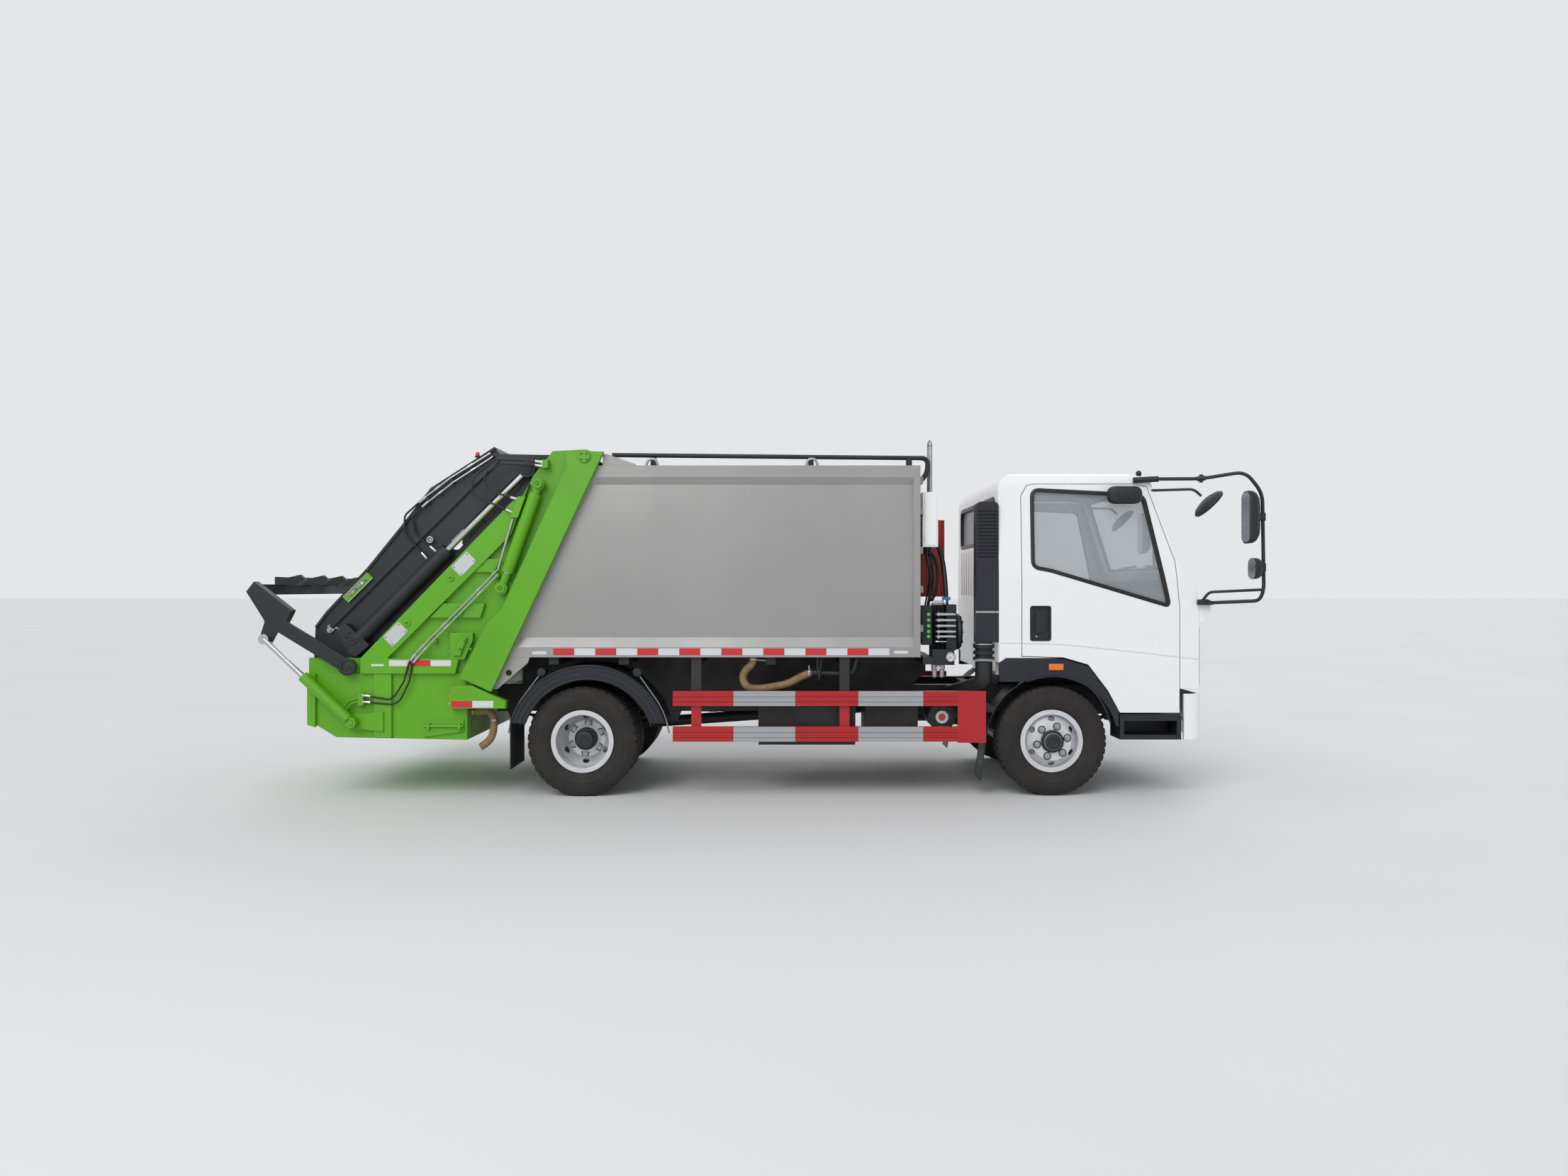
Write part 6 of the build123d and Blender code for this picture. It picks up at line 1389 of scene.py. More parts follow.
@on_each_side("door_*", "black_plastic", rubber_black, smooth=True)
def window_rubber(work, side):
    outline = smooth_edges(window_outline, 0.045)
    add_band(work, outline, rubber_profile, lambda x, z, height: (x, side * cab_side(z, height), z))


@on_each_side("door_*", "black_plastic")
def handle_bezel(work, side):
    centre = Vector(HANDLE)
    outline = [centre + point for point in rounded_rectangle(0.139, 0.24, 0.014)]
    profile = [(-0.004, -0.015), (-0.004, 0.003), (0.001, 0.0045), (0.006, 0.003), (0.006, -0.0005)]
    add_band(work, outline, profile, lambda x, z, height: (x, side * (CAB_SIDE_Y + height), z))
    cup = [(centre.x + point.x, centre.y + point.y) for point in rounded_rectangle(0.137, 0.238, 0.014)]
    add_plate(work, cup, side * 0.922, side * HANDLE_Y)


@on_each_side("door_*", "black_plastic", bevel=0.003)
def handle_lever(work, side):
    lever = [(2.04, 1.326), (2.075, 1.326), (2.115, 1.29), (2.115, 1.18), (2.095, 1.167), (2.04, 1.167)]
    outline = [tuple(point) for point in round_outline(lever, 0.012)]
    add_plate(work, outline, side * HANDLE_Y, side * 0.938)


@on_each_side("door_*", "chrome_pipes", zinc_steel, smooth=True)
def handle_lock(work, side):
    add_disc(work, (2.05, side * HANDLE_Y, 1.142), (0, side, 0), 0.008, 0.006)


crease_runs = (
    # body, points along the crease from the rear; the lower edge lies a little below
    ("cab", ((1.79, 1.108), (1.936, 1.105))),
    ("door", ((1.948, 1.1045), (2.249, 1.095), (2.6, 1.06), (3.063, 1.007))),
    ("cab", ((3.078, 1.005), (3.2, 0.993))),
)
CREASE_WIDTH = 0.016

for side_name, side in SIDES:
    for index, (crease_body, points) in enumerate(crease_runs):
        def crease(work):
            top = [work.verts.new((x, side * (CAB_SIDE_Y - SINK), z)) for x, z in points]
            ridge = [
                work.verts.new((x, side * (CAB_SIDE_Y + 0.0035), z - CREASE_WIDTH * 0.35)) for x, z in points
            ]
            bottom = [work.verts.new((x, side * (CAB_SIDE_Y - SINK), z - CREASE_WIDTH)) for x, z in points]
            for at in range(len(points) - 1):
                work.faces.new((top[at], top[at + 1], ridge[at + 1], ridge[at]))
                work.faces.new((ridge[at], ridge[at + 1], bottom[at + 1], bottom[at]))
                work.faces.new((bottom[at], bottom[at + 1], top[at + 1], top[at]))
            for at in (0, len(points) - 1):
                work.faces.new((top[at], ridge[at], bottom[at]))

        body = f"door_{side_name}" if crease_body == "door" else crease_body
        make_piece(f"crease_{index}_{side_name}", body, "white_paint", white_paint, crease)


@once("cab", "black_plastic", rubber_black, smooth=True)
def screen_rubber(work):
    """Rubber round the windscreen."""
    profile = [
        (-0.02, -0.012), (-0.02, 0.003), (-0.014, 0.006), (0.014, 0.006), (0.02, 0.002), (0.02, -0.004)
    ]
    add_band(work, smooth_edges(screen_outline, 0.06), profile, screen_point)


@once("cab", "black_plastic", rubber_black, smooth=True)
def rear_rubber(work):
    """Rubber round the rear pane."""
    middle = (REAR_PANE_Z[0] + REAR_PANE_Z[1]) / 2
    height = REAR_PANE_Z[1] - REAR_PANE_Z[0]
    outline = [Vector((0, middle)) + point for point in rounded_rectangle(2 * REAR_PANE_Y, height, 0.05)]
    profile = [(-0.008, -0.02), (-0.008, 0.004), (0.016, 0.006), (0.024, 0.002), (0.024, -0.002)]
    add_band(work, outline, profile, lambda y, z, out: (CAB_REAR_X - out, y, z))


@once("cab", "black_plastic", smooth=True)
def wipers(work):
    """Two wiper arms with their blades, parked along the foot of the windscreen."""
    for pivot_y in (0.62, -0.12):
        tip_y = pivot_y - 0.5
        add_rod(work, screen_point(pivot_y, 0.0, -0.01), screen_point(pivot_y, 0.0, 0.03), 0.016)
        arm = [screen_point(pivot_y, 0.0, 0.026), screen_point(pivot_y - 0.12, 0.05, 0.032)]
        arm.append(screen_point(tip_y + 0.22, 0.085, 0.03))
        add_pipe(work, arm, 0.006)
        add_pipe(work, [screen_point(tip_y, 0.09, 0.014), screen_point(pivot_y - 0.04, 0.075, 0.014)], 0.007)
        add_pipe(
            work, [screen_point(tip_y + 0.05, 0.09, 0.026), screen_point(tip_y + 0.36, 0.083, 0.026)], 0.004
        )


# Side lamps on the arches, the arch lips, headlamp insides, bumper lamps and grille slats
moulding_lip = [
    (1.914, 0.798), (2.015, 0.865), (2.216, 0.865), (2.417, 0.798), (2.518, 0.672), (2.577, 0.521)
]
HEADLAMP_X = 3.227
SIDE_LAMP = (2.1855, 0.9255)
TURN_LAMP = (0.77, 1.13)
headlamp_bowls = ((0.7, 0.86, 0.05), (0.8, 0.95, 0.055), (0.7, 1.02, 0.045))
BUMPER_LAMP_Y = 0.68


@on_each_side("cab", "lamp_plastic", amber_lens, bevel=0.002)
def side_lamp(work, side):
    lamp_x, lamp_z = SIDE_LAMP
    outline = [Vector(SIDE_LAMP) + point for point in rounded_rectangle(0.105, 0.047, 0.008)]
    add_shell(work, [
        [(p.x, side * 0.9435, p.y) for p in outline],
        [(p.x, side * 0.954, p.y) for p in outline],
        [(lamp_x + (p.x - lamp_x) * 0.9, side * 0.959, lamp_z + (p.y - lamp_z) * 0.8) for p in outline],
    ])


@on_each_side("cab", "black_plastic", smooth=True)
def arch_lip(work, side):
    add_pipe(work, [(x, side * 0.944, z) for x, z in moulding_lip], 0.007, corner=0.08, sides=10)


@on_each_side("cab", "chrome_pipes", smooth=True)
def headlamp_units(work, side):
    for across, height, radius in headlamp_bowls:
        bowl = [
            (radius, 0.0), (radius + 0.008, 0.0), (radius + 0.008, 0.008), (radius, 0.008),
            (radius * 0.4, 0.002),
        ]
        bowl += [(0.001, 0.006), (0.001, 0.001), (radius * 0.4, -0.003)]
        add_turned(work, bowl, (HEADLAMP_X - 0.001, side * across, height), (1, 0, 0), 32)


@on_each_side("cab", "lamp_plastic", amber_lens)
def turn_lamp(work, side):
    outline = rounded_rectangle(0.16, 0.05, 0.02)
    add_shell(work, [
        [(HEADLAMP_X - 0.001, side * TURN_LAMP[0] + p.x, TURN_LAMP[1] + p.y) for p in outline],
        [(HEADLAMP_X + 0.006, side * TURN_LAMP[0] + p.x * 0.94, TURN_LAMP[1] + p.y * 0.9) for p in outline],
    ])


@on_each_side("chassis", "lamp_plastic", smooth=True)
def bumper_lamp(work, side):
    lens = [(0.001, 0.02), (0.036, 0.018), (0.04, 0.012), (0.046, 0.012), (0.046, 0), (0.001, 0)]
    add_turned(work, lens, (3.228, side * BUMPER_LAMP_Y, 0.515), (1, 0, 0), 32)


@on_each_side("chassis", "black_plastic", bevel=0.002)
def bumper_lamp_cup(work, side):
    add_box(
        work, (3.22, side * (BUMPER_LAMP_Y - 0.089), 0.471), (3.229, side * (BUMPER_LAMP_Y + 0.089), 0.559)
    )


@once("chassis", "black_plastic", bevel=0.002)
def intake_slats(work):
    """Slats across the bumper's intake."""
    for slat_z in (0.47, 0.493, 0.517, 0.54):
        add_box(work, (3.238, -0.478, slat_z - 0.004), (3.252, 0.478, slat_z + 0.004))
    for post_y in (-0.32, -0.16, 0.0, 0.16, 0.32):
        add_box(work, (3.234, post_y - 0.006, 0.451), (3.246, post_y + 0.006, 0.559))


@once("cab", "black_plastic", smooth=True)
def roof_ball(work):
    """Round camera on the roof above the screen pillar."""
    ball = [
        (0.001, 0), (0.026, 0), (0.026, 0.006), (0.014, 0.012), (0.018, 0.02), (0.021, 0.032), (0.018, 0.044)
    ]
    ball += [(0.01, 0.052), (0.001, 0.054)]
    add_turned(work, ball, (2.814, -0.82, 2.286), (0, 0, 1), 24)


# Mirrors: bent tubes, clamps and domed heads with their glasses

def mirror_route(points, side):
    """Route written for the left side, on the given side."""
    return [(x, side * y, z) for x, y, z in points]


main_tube = [
    (2.8, 0.905, 2.27),
    (3.196, 1.01, 2.262),
    (3.46, 1.13, 2.3),
    (3.57, 1.15, 2.15),
    (3.58, 1.15, 1.48),
    (3.56, 1.13, 1.4),
    (3.29, 0.98, 1.385),
]
stay_tube = [(3.58, 1.15, 1.478), (3.262, 0.985, 1.46), (3.225, 0.96, 1.4)]
lower_arm = [(2.88, 0.885, 2.19), (3.15, 0.99, 2.19), (3.2, 1.005, 2.14)]
TUBE_RADIUS = 0.0125
head_table = (
    # X of the glass, middle Y and Z, width, height, depth
    (3.455, 1.15, 1.981, 0.16, 0.367, 0.088),
    (3.497, 1.15, 1.6245, 0.14, 0.147, 0.064),
)
head_stations = ((0.0, 0.95), (0.08, 1.0), (0.35, 0.99), (0.6, 0.92), (0.82, 0.76), (0.95, 0.52), (1.0, 0.3))
LOOK_DOWN = (3.25, 1.01, 2.085)
LOOK_DOWN_FACE = Vector((0.72, 0, -0.69))
clamp_places = ((3.5745, 1.15, 1.984), (3.5765, 1.15, 1.633))
CLAMP_RADIUS = 0.018


@on_each_side("cab", "black_plastic", bevel=0.002)
def mirror_clamps(work, side):
    for x, y, z in clamp_places:
        ring = [(0.01, 0), (CLAMP_RADIUS, 0), (CLAMP_RADIUS, 0.056), (0.01, 0.056)]
        add_turned(work, ring, (x, side * y, z - 0.028), (0, 0, 1), 16)
        add_box(work, (x - 0.05, side * y - 0.014, z - 0.02), (x - 0.008, side * y + 0.014, z + 0.02))


@on_each_side("cab", "black_plastic", smooth=True)
def mirror_heads(work, side):
    for glass_x, middle_y, middle_z, width, height, depth in head_table:
        outline = rounded_rectangle(width, height, 0.055, steps=6)
        sections = []
        for along, scale in head_stations:
            x = glass_x + depth * along
            sections.append([(x, side * middle_y + p.x * scale, middle_z + p.y * scale) for p in outline])
        add_shell(work, sections)
    dome = [
        (0.001, 0.0), (0.12, 0.0), (0.124, 0.012), (0.105, 0.03), (0.06, 0.044), (0.02, 0.05), (0.001, 0.05)
    ]
    middle = Vector((LOOK_DOWN[0], side * LOOK_DOWN[1], LOOK_DOWN[2]))
    add_turned(work, dome, middle + LOOK_DOWN_FACE * 0.01, -LOOK_DOWN_FACE, 40)


@on_each_side("cab", "chrome_pipes", mirror_metal, smooth=True)
def mirror_glasses(work, side):
    for glass_x, middle_y, middle_z, width, height, _ in head_table:
        outline = rounded_rectangle(width * 0.86, height * 0.93, 0.045, steps=6)
        near = [(glass_x - 0.003, side * middle_y + p.x, middle_z + p.y) for p in outline]
        far = [(glass_x + 0.002, side * middle_y + p.x, middle_z + p.y) for p in outline]
        add_shell(work, [near, far])
    middle = Vector((LOOK_DOWN[0], side * LOOK_DOWN[1], LOOK_DOWN[2]))
    lens = [(0.001, 0.0), (0.108, 0.0), (0.108, 0.003), (0.06, 0.008), (0.001, 0.009)]
    add_turned(work, lens, middle + LOOK_DOWN_FACE * 0.009, LOOK_DOWN_FACE, 40)


for side_name, side in SIDES:
    def arms(work):
        for route, radius, corner in (
            (main_tube, TUBE_RADIUS, 0.07), (stay_tube, 0.01, 0.03), (lower_arm, 0.0095, 0.03)
        ):
            add_pipe(work, mirror_route(route, side), radius, corner=corner, sides=14)
        add_pipe(work, mirror_route([(2.75, 0.895, 2.262), (2.92, 0.935, 2.268)], side), 0.021, sides=14)
        add_pipe(work, mirror_route([(3.17, 1.002, 2.262), (3.222, 1.022, 2.266)], side), 0.018, sides=14)
        add_rod(work, (3.196, side * 1.01, 2.235), (3.196, side * 1.01, 2.292), 0.013)
        add_rod(work, (3.225, side * 0.955, 1.3685), (3.225, side * 0.955, 1.405), 0.036)
        foot = [(3.204, 1.3685), (3.293, 1.3685), (3.293, 1.392), (3.25, 1.41), (3.204, 1.402)]
        add_plate(work, foot, side * 0.88, side * 0.985)

    arm_piece = make_piece(
        "mirror_arms_" + side_name, "cab", "black_plastic", black_plastic, arms, smooth=True
    )
    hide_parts("mirrors")


# Round mirror over the right door's window, and its arm

DOOR_MIRROR = (2.665, 2.15)
dome_stations = ((-0.9, 0.5), (-0.925, 0.84), (-0.955, 0.98), (-0.985, 1.0), (-1.005, 0.9), (-1.017, 0.6))


def door_mirror(work):
    """Domed mirror on a short arm, fixed to the door's frame."""
    outline = rounded_rectangle(0.248, 0.128, 0.062, steps=7)
    sections = []
    for station_y, scale in dome_stations:
        sections.append(
            [(DOOR_MIRROR[0] + p.x * scale, station_y, DOOR_MIRROR[1] + p.y * scale) for p in outline]
        )
    add_shell(work, sections)
    add_pipe(work, [(2.64, -0.8944, 2.2), (2.64, -0.94, 2.2), (2.64, -0.955, 2.185)], 0.0098, corner=0.01)


door_mirror_piece = make_piece(
    "door_dome_mirror", "door_right", "black_plastic", black_plastic, door_mirror, smooth=True
)
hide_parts("door_mirror")


# Behind the cab: control box panel, valve knobs and elbows, gauge, filters and hoses

BOX_FACE_Y = -0.9
VALVE_FACE_Y = -0.86
KNOB_X = 1.286
KNOB_ZS = (1.299, 1.257, 1.216, 1.175, 1.139)
LOW_PIPE_Z = 1.102
LUG_XS = (-0.7, 0.445)
GAUGE = (1.436, -0.9175, 0.996)
MARKS_Y = -0.924
FAN_Y = -0.74
FAN_Z = 1.17
CANISTER_CAP = (1.3825, -0.8695, 0.5595)


@once("chassis", "white_paint", bevel=0.0015)
def control_box_panel(work):
    """Raised door and hinges on the control box's outer face."""
    outline = [Vector((1.298, 1.981)) + point for point in rounded_rectangle(0.084, 0.37, 0.008)]
    add_plate(work, [tuple(point) for point in outline], BOX_FACE_Y + 0.0005, BOX_FACE_Y - 0.005)
    for hinge_z in (1.85, 2.11):
        add_rod(
            work, (1.257, BOX_FACE_Y - 0.006, hinge_z - 0.02), (1.257, BOX_FACE_Y - 0.006, hinge_z + 0.02),
            0.005,
        )


@once("chassis", "hose_rubber", smooth=True)
def control_box_cables(work):
    """Cable glands and cables under the control box."""
    for gland_x, gland_y, foot in (
        (1.275, -0.87, (1.28, -0.83, 1.3625)),
        (1.3, -0.83, (1.3, -0.8, 1.3625)),
        (1.275, -0.79, (1.275, -0.75, 1.3625)),
    ):
        add_rod(work, (gland_x, gland_y, 1.757), (gland_x, gland_y, 1.7845), 0.013, sides=6)
        top = (gland_x, gland_y, 1.76)
        swing = (gland_x + 0.03, gland_y - 0.01, 1.6)
        low = (foot[0] + 0.02, foot[1], 1.45)
        route = spline_route([top, (gland_x, gland_y, 1.71), swing, low, foot])
        add_tube(work, [(place, 0.0065) for place in route], 10)


@once("chassis", "black_plastic", green_button, smooth=True)
def valve_knobs(work):
    """Green knobs in a column on the valve block's face."""
    for knob_z in KNOB_ZS:
        add_disc(work, (KNOB_X, VALVE_FACE_Y + 0.001, knob_z), (0, -1, 0), 0.0145, 0.012, 10)


@once("chassis", "chrome_pipes", smooth=True)
def valve_fittings(work):
    """Bright pipes in front of the valve blocks with their nuts, and the elbow above them."""
    for knob_z in KNOB_ZS:
        route = [
            (1.311, -0.8, knob_z), (1.335, -0.85, knob_z), (1.35, -0.868, knob_z), (1.466, -0.868, knob_z)
        ]
        add_pipe(work, route + [(1.484, -0.862, knob_z), (1.484, -0.845, knob_z)], 0.0105, corner=0.02)
        add_rod(work, (1.35, -0.868, knob_z), (1.366, -0.868, knob_z), 0.0165, sides=6)
        add_disc(work, (KNOB_X, VALVE_FACE_Y - 0.01, knob_z), (0, -1, 0), 0.006, 0.005, 6)
    add_pipe(work, [(1.311, -0.8, LOW_PIPE_Z), (1.34, -0.86, LOW_PIPE_Z), (1.4185, -0.84, LOW_PIPE_Z)], 0.009)
    add_pipe(
        work, [(1.3, -0.845, 1.3615), (1.302, -0.845, 1.384), (1.395, -0.845, 1.385)], 0.013, corner=0.02
    )
    ball = [(0.001, -0.021), (0.015, -0.016), (0.021, 0), (0.015, 0.016), (0.001, 0.021)]
    add_turned(work, ball, (1.405, -0.845, 1.387), (0, 0, 1), 20)


@once("chassis", "black_plastic", frame_paint, smooth=True)
def valve_backing(work):
    """Black plate and pipes behind the bright pipes, between the two valve blocks."""
    add_box(work, (1.311, -0.735, 1.045), (1.419, -0.725, 1.368))
    add_box(work, (1.31, -0.72, 1.047), (1.48, -0.712, 1.08))
    for drop_x in (1.335, 1.372, 1.405):
        add_rod(work, (drop_x, -0.75, 1.047), (drop_x, -0.75, 1.36), 0.012)


@once("chassis", "black_plastic", blue_button, bevel=0.003)
def hose_strap(work):
    """Blue strap round the thick hose."""
    add_box(work, (1.396, -0.815, 1.402), (1.452, -0.768, 1.424))


@once("chassis", "black_plastic", smooth=True)
def fan_housing(work):
    """Round housing on the front of the valve group."""
    housing = [
        (0.001, 0), (0.09, 0), (0.128, 0.012), (0.13, 0.03), (0.112, 0.046), (0.03, 0.054), (0.001, 0.054)
    ]
    add_turned(work, housing, (1.4895, FAN_Y, FAN_Z), (1, 0, 0), 40)
    for spoke in range(8):
        angle = math.radians(45 * spoke)
        turn = Vector((0, math.cos(angle), math.sin(angle)))
        centre = Vector((1.54, FAN_Y, FAN_Z))
        add_rod(work, centre + turn * 0.03, centre + turn * 0.112, 0.004, sides=6)


@once("chassis", "hose_rubber", smooth=True)
def oil_hoses(work):
    """Hoses in front of the oil tank: one thick, two ribbed, and the bend at the end of the roof pipe."""
    thick = [
        (1.424, -0.79, 1.3705), (1.424, -0.79, 1.5), (1.405, -0.7, 1.75), (1.33, -0.58, 1.92),
        (1.241, -0.5, 1.95),
    ]
    add_tube(work, [(place, 0.0165) for place in spline_route(thick)], 14)
    ribbed = (
        [
            (1.3, -0.8, 1.3625), (1.316, -0.8, 1.5), (1.325, -0.79, 1.7), (1.29, -0.74, 1.755),
            (1.241, -0.7, 1.75),
        ],
        [
            (1.3, -0.73, 1.3625), (1.35, -0.76, 1.42), (1.378, -0.74, 1.6), (1.34, -0.7, 1.76),
            (1.241, -0.62, 1.79),
        ],
    )
    for points in ribbed:
        add_tube(work, corrugate(spline_route(points), 0.0125, 0.004, 0.02), 12)
    bend = [
        (1.235, -0.82, 2.43), (1.285, -0.82, 2.43), (1.285, -0.82, 2.34), (1.26, -0.82, 2.29),
        (1.2405, -0.82, 2.27),
    ]
    add_tube(work, [(place, 0.0175) for place in spline_route(bend)], 14)


@once("chassis", "chrome_pipes", zinc_steel, smooth=True)
def stand_pipe_sleeve(work):
    """Steel sleeve over the stand pipe on top of the control box."""
    points = [(1.312, -0.77, 2.184), (1.312, -0.77, 2.557), (1.312, -0.68, 2.557), (1.312, -0.68, 2.184)]
    add_pipe(work, points, 0.0138, corner=0.06)


@once("chassis", "white_paint", white_button, smooth=True)
def small_gauge(work):
    """Small gauge between the filter bowls."""
    add_disc(work, (1.356, -0.8755, 0.918), (0, -1, 0), 0.0165, 0.004, 24)


@once("chassis", "chrome_pipes", zinc_steel, smooth=True)
def lifting_lugs(work):
    """Bent lifting lugs on the edges of the load body's roof."""
    for side in (-1, 1):
        for lug_x in LUG_XS:
            loop = [(-0.05, 2.346), (-0.026, 2.412), (0.026, 2.412), (0.05, 2.346)]
            add_pipe(work, [(lug_x + along, side * 0.915, z) for along, z in loop], 0.0095, corner=0.02)


@once("chassis", "chrome_pipes", smooth=True)
def gauge_case(work):
    """Bezel of the air gauge."""
    ring = [(0.03, 0), (0.036, 0), (0.036, 0.012), (0.033, 0.015), (0.03, 0.012)]
    add_turned(work, ring, GAUGE, (0, -1, 0), 36)


@once("chassis", "white_paint", white_button)
def gauge_face(work):
    """White face of the air gauge."""
    add_turned(work, [(0.001, 0), (0.031, 0), (0.031, 0.006), (0.001, 0.006)], GAUGE, (0, -1, 0), 36)


@once("chassis", "black_plastic")
def gauge_marks(work):
    """Ticks and needle on the gauge's face."""
    for tick in range(11):
        angle = math.radians(225 - 27 * tick)
        cosine, sine = math.cos(angle), math.sin(angle)
        inner, outer = [(GAUGE[0] + r * cosine, MARKS_Y, GAUGE[2] + r * sine) for r in (0.022, 0.028)]
        add_rod(work, inner, outer, 0.0009, sides=6)
    add_rod(work, (1.436, -0.925, 0.996), (1.419, -0.925, 0.982), 0.0013, sides=6)
    add_disc(work, (GAUGE[0], MARKS_Y, GAUGE[2]), (0, -1, 0), 0.004, 0.002, 12)


@once("chassis", "chrome_pipes", zinc_steel, smooth=True)
def air_filters(work):
    """Two filter bowls with a small regulator, hung from the air panel."""
    for bowl_x in (1.33, 1.383):
        bowl = [
            (0.001, 0), (0.011, 0.003), (0.018, 0.012), (0.018, 0.06), (0.022, 0.064), (0.022, 0.1),
            (0.001, 0.1),
        ]
        add_turned(work, bowl, (bowl_x, -0.85, 0.8385), (0, 0, 1), 24)
    add_rod(work, (1.31, -0.85, 0.915), (1.405, -0.85, 0.915), 0.011)
    add_disc(work, (1.356, -0.862, 0.918), (0, -1, 0), 0.018, 0.014, 24)


@once("chassis", "white_paint", white_button)
def canister_ring(work):
    """White ring on the round canister ahead of the fuel tank."""
    ring = [(0.026, 0), (0.046, 0), (0.046, 0.004), (0.026, 0.004)]
    add_turned(work, ring, CANISTER_CAP, (0, -1, 0), 36)


@once("chassis", "red_paint", red_lens, smooth=True)
def canister_cap(work):
    """Red middle of the canister's cap."""
    add_disc(work, CANISTER_CAP, (0, -1, 0), 0.0262, 0.005, 28)


@once("chassis", "chrome_pipes", zinc_steel)
def bellows_clamps(work):
    """Clamps above and below the air intake's bellows, and the strap on the snorkel."""
    ring = [(0.07, 0), (0.079, 0), (0.079, 0.009), (0.07, 0.009)]
    for clamp_z in (0.972, 1.082):
        add_turned(work, ring, (1.684, -0.865, clamp_z), (0, 0, 1), 40)
    add_box(work, (1.617, -0.9325, 1.31), (1.779, -0.9295, 1.325))
    add_bolt(work, (1.64, -0.9325, 1.3175), (0, -1, 0), 0.007)
    add_bolt(work, (1.755, -0.9325, 1.3175), (0, -1, 0), 0.007)


# Seats: cushions and backs swollen as cloth, then smoothed

SEAT_ROWS = ((-0.77, -0.35), (-0.34, 0.12), (0.3, 0.76))
CUSHION_X = (1.99, 2.44)
CUSHION_Z = (1.1, 1.22)
BACK_X = (1.88, 1.99)
BACK_Z = (1.18, 1.8)
PAD_MARGIN = 0.014
PAD_CAP = 0.016
PAD_VOXEL = 0.016
PAD_FRAMES = 20


def pad_shape(low, high):
    """Rounded block a little smaller than the space of its pad, remeshed evenly."""
    work = bmesh.new()
    add_box(work, [a + PAD_MARGIN for a in low], [b - PAD_MARGIN for b in high])
    bmesh.ops.bevel(work, geom=work.edges[:], offset=0.03, segments=3, affect="EDGES", profile=0.6)
    mesh = bpy.data.meshes.new("pad")
    work.to_mesh(mesh)
    work.free()
    holder = bpy.data.objects.new("pad", mesh)
    bpy.context.scene.collection.objects.link(holder)
    remesh = holder.modifiers.new("even", "REMESH")
    remesh.mode = "VOXEL"
    remesh.voxel_size = PAD_VOXEL
    return holder


def applied_mesh(holder):
    """Mesh of an object with its modifiers applied."""
    depsgraph = bpy.context.evaluated_depsgraph_get()
    depsgraph.update()
    return bpy.data.meshes.new_from_object(holder.evaluated_get(depsgraph))


def swollen_pad(low, high):
    """Cushion mesh swollen by cloth pressure, each point moved by at most the cap."""
    holder = pad_shape(low, high)
    even = applied_mesh(holder)
    holder.modifiers.clear()
    holder.data = even
    start = [vertex.co.copy() for vertex in even.vertices]
    cloth = holder.modifiers.new("cloth", "CLOTH")
    cloth.settings.use_pressure = True
    cloth.settings.uniform_pressure_force = 4
    cloth.settings.effector_weights.gravity = 0
    cloth.point_cache.frame_start = 1
    cloth.point_cache.frame_end = PAD_FRAMES
    for step in range(1, PAD_FRAMES + 1):
        bpy.context.scene.frame_set(step)
    swollen = applied_mesh(holder)
    holder.modifiers.clear()
    holder.data = swollen
    for vertex, before in zip(swollen.vertices, start):
        moved = vertex.co - before
        if moved.length > PAD_CAP:
            vertex.co = before + moved.normalized() * PAD_CAP
        for axis in range(3):
            vertex.co[axis] = min(max(vertex.co[axis], low[axis]), high[axis])
    mesh = holder.data
    bpy.data.objects.remove(holder)
    return mesh


pad_places = []
for row, (low_y, high_y) in enumerate(SEAT_ROWS):
    pad_places.append(
        (f"seat_cushion_{row}", (CUSHION_X[0], low_y, CUSHION_Z[0]), (CUSHION_X[1], high_y, CUSHION_Z[1]))
    )
    pad_places.append(
        (f"seat_back_{row}", (BACK_X[0], low_y, BACK_Z[0]), (BACK_X[1] - 0.001, high_y, BACK_Z[1]))
    )

for pad_name, low, high in pad_places:
    pad = place_mesh(swollen_pad(low, high), pad_name, "cab", seat_fabric, smooth=True)
    detail = pad.modifiers.new("smooth", "SUBSURF")
    detail.levels = 1
    detail.render_levels = 1
    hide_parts("seats")

bpy.context.scene.frame_set(1)


# Camera, light and floor

FOCAL_LENGTH = 25.7
CAMERA_PLACE = (0.245, -8.93, 1.489)
FLOOR_REACH = 150
SKY_SEEN = (0.78, 0.79, 0.8, 1)
SKY_LIGHT = (0.93, 0.96, 1.0, 1)
SKY_STRENGTH = 0.62

scene = bpy.context.scene
scene.view_settings.view_transform = "Standard"

camera_data = bpy.data.cameras.new("camera")
camera_data.sensor_width = 36
camera_data.lens = FOCAL_LENGTH
camera = bpy.data.objects.new("camera", camera_data)
camera.location = CAMERA_PLACE
camera.rotation_euler = (math.radians(90), 0, 0)
scene.collection.objects.link(camera)
scene.camera = camera

floor_work = bmesh.new()
bmesh.ops.create_grid(floor_work, x_segments=1, y_segments=1, size=FLOOR_REACH)
floor_mesh = bpy.data.meshes.new("floor")
floor_work.to_mesh(floor_mesh)
floor_work.free()
floor_mesh.materials.append(floor_pale)
floor = bpy.data.objects.new("floor", floor_mesh)
scene.collection.objects.link(floor)


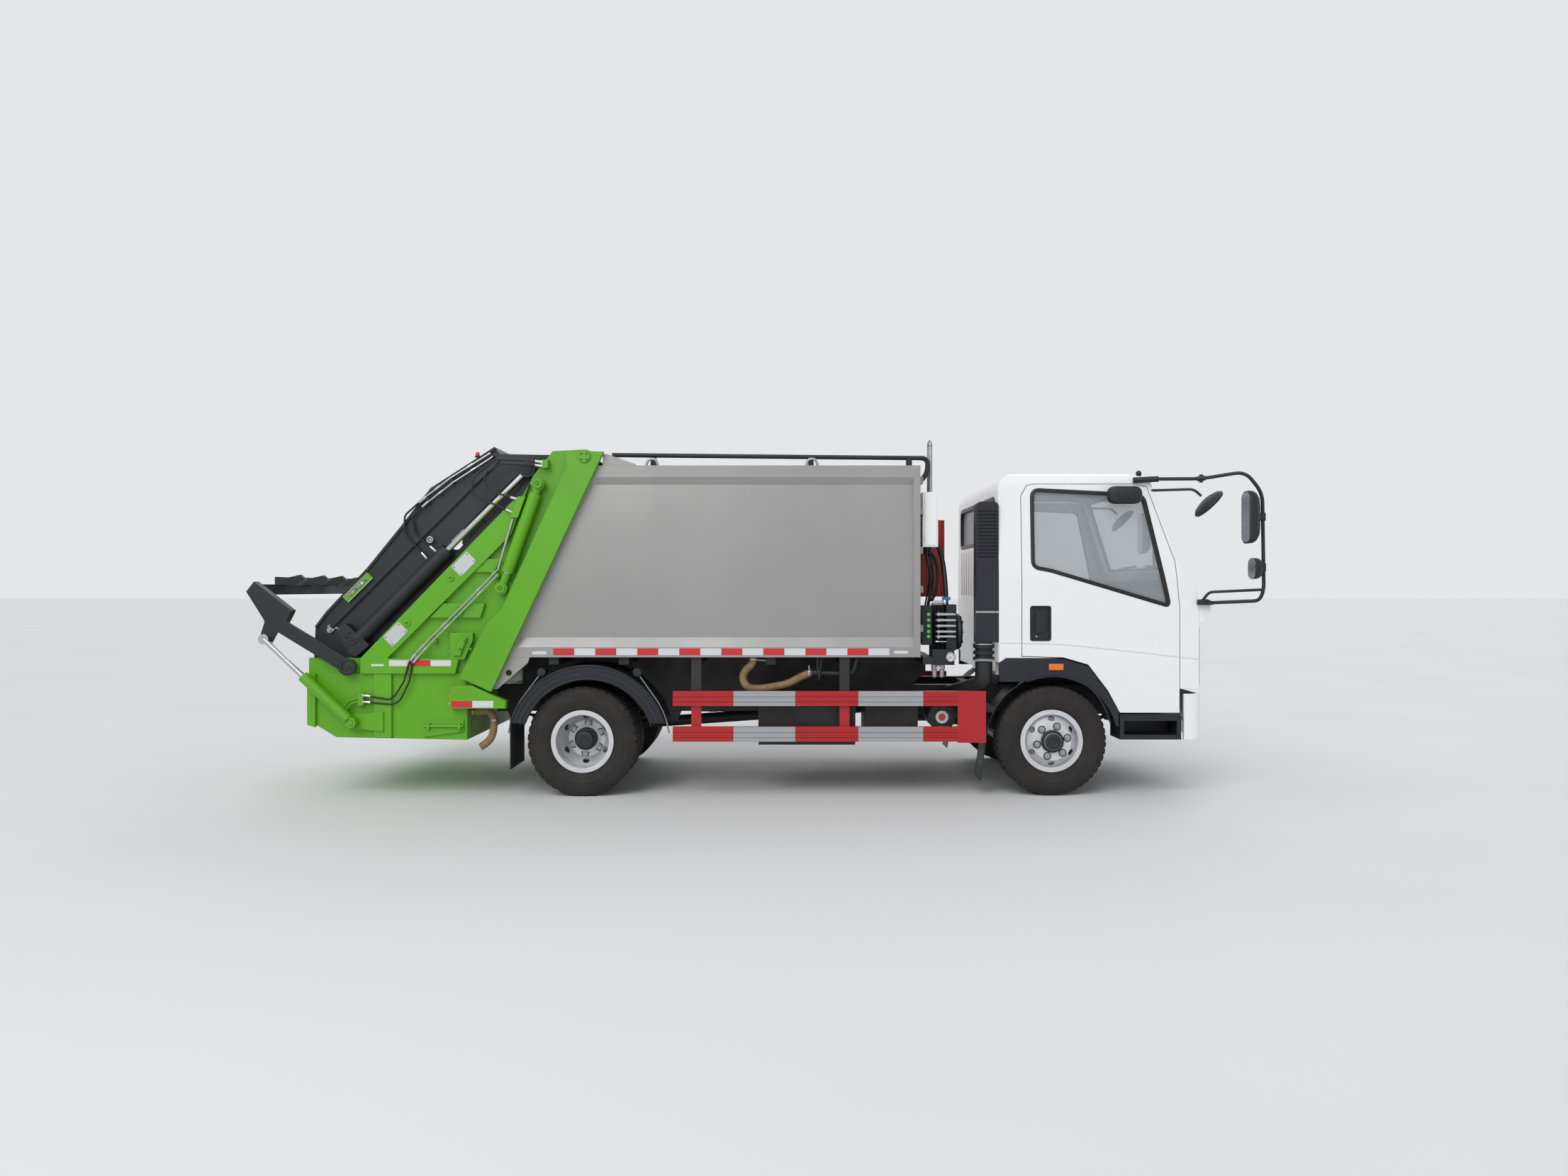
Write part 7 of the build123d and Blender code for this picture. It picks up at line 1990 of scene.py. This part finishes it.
def area_light(name, place, aim, size, power):
    """Soft rectangular light pointed at a place."""
    data = bpy.data.lights.new(name, "AREA")
    data.shape = "RECTANGLE"
    data.size, data.size_y = size
    data.energy = power
    lamp = bpy.data.objects.new(name, data)
    lamp.location = place
    lamp.rotation_euler = (Vector(aim) - Vector(place)).to_track_quat("-Z", "Y").to_euler()
    scene.collection.objects.link(lamp)


def sun_light(name, direction, spread, strength):
    """Wide sun that gives soft shadows."""
    data = bpy.data.lights.new(name, "SUN")
    data.angle = math.radians(spread)
    data.energy = strength
    lamp = bpy.data.objects.new(name, data)
    lamp.rotation_euler = Vector(direction).to_track_quat("-Z", "Y").to_euler()
    scene.collection.objects.link(lamp)


sun_light("key", (0.35, 0.75, -0.8), 35, 1.15)
sun_light("back", (-0.3, -0.8, -0.7), 50, 0.5)
area_light("side softbox", (-3.5, -9.5, 4.8), (0, 0, 1.4), (5, 2.2), 110)

world = bpy.data.worlds.new("world")
scene.world = world
world.use_nodes = True
tree = world.node_tree
tree.nodes.clear()
light_path = tree.nodes.new("ShaderNodeLightPath")
either = tree.nodes.new("ShaderNodeMath")
any_seen = tree.nodes.new("ShaderNodeMath")
seen = tree.nodes.new("ShaderNodeBackground")
lit = tree.nodes.new("ShaderNodeBackground")
mix = tree.nodes.new("ShaderNodeMixShader")
out = tree.nodes.new("ShaderNodeOutputWorld")
either.operation = "MAXIMUM"
any_seen.operation = "MAXIMUM"
seen.inputs["Color"].default_value = SKY_SEEN
seen.inputs["Strength"].default_value = 1.0
lit.inputs["Color"].default_value = SKY_LIGHT
lit.inputs["Strength"].default_value = SKY_STRENGTH
connect(tree, light_path, "Is Camera Ray", either, 0)
connect(tree, light_path, "Is Glossy Ray", either, 1)
connect(tree, either, "Value", any_seen, 0)
connect(tree, light_path, "Is Transmission Ray", any_seen, 1)
connect(tree, any_seen, "Value", mix, "Fac")
connect(tree, lit, "Background", mix, 1)
connect(tree, seen, "Background", mix, 2)
connect(tree, mix, "Shader", out, "Surface")
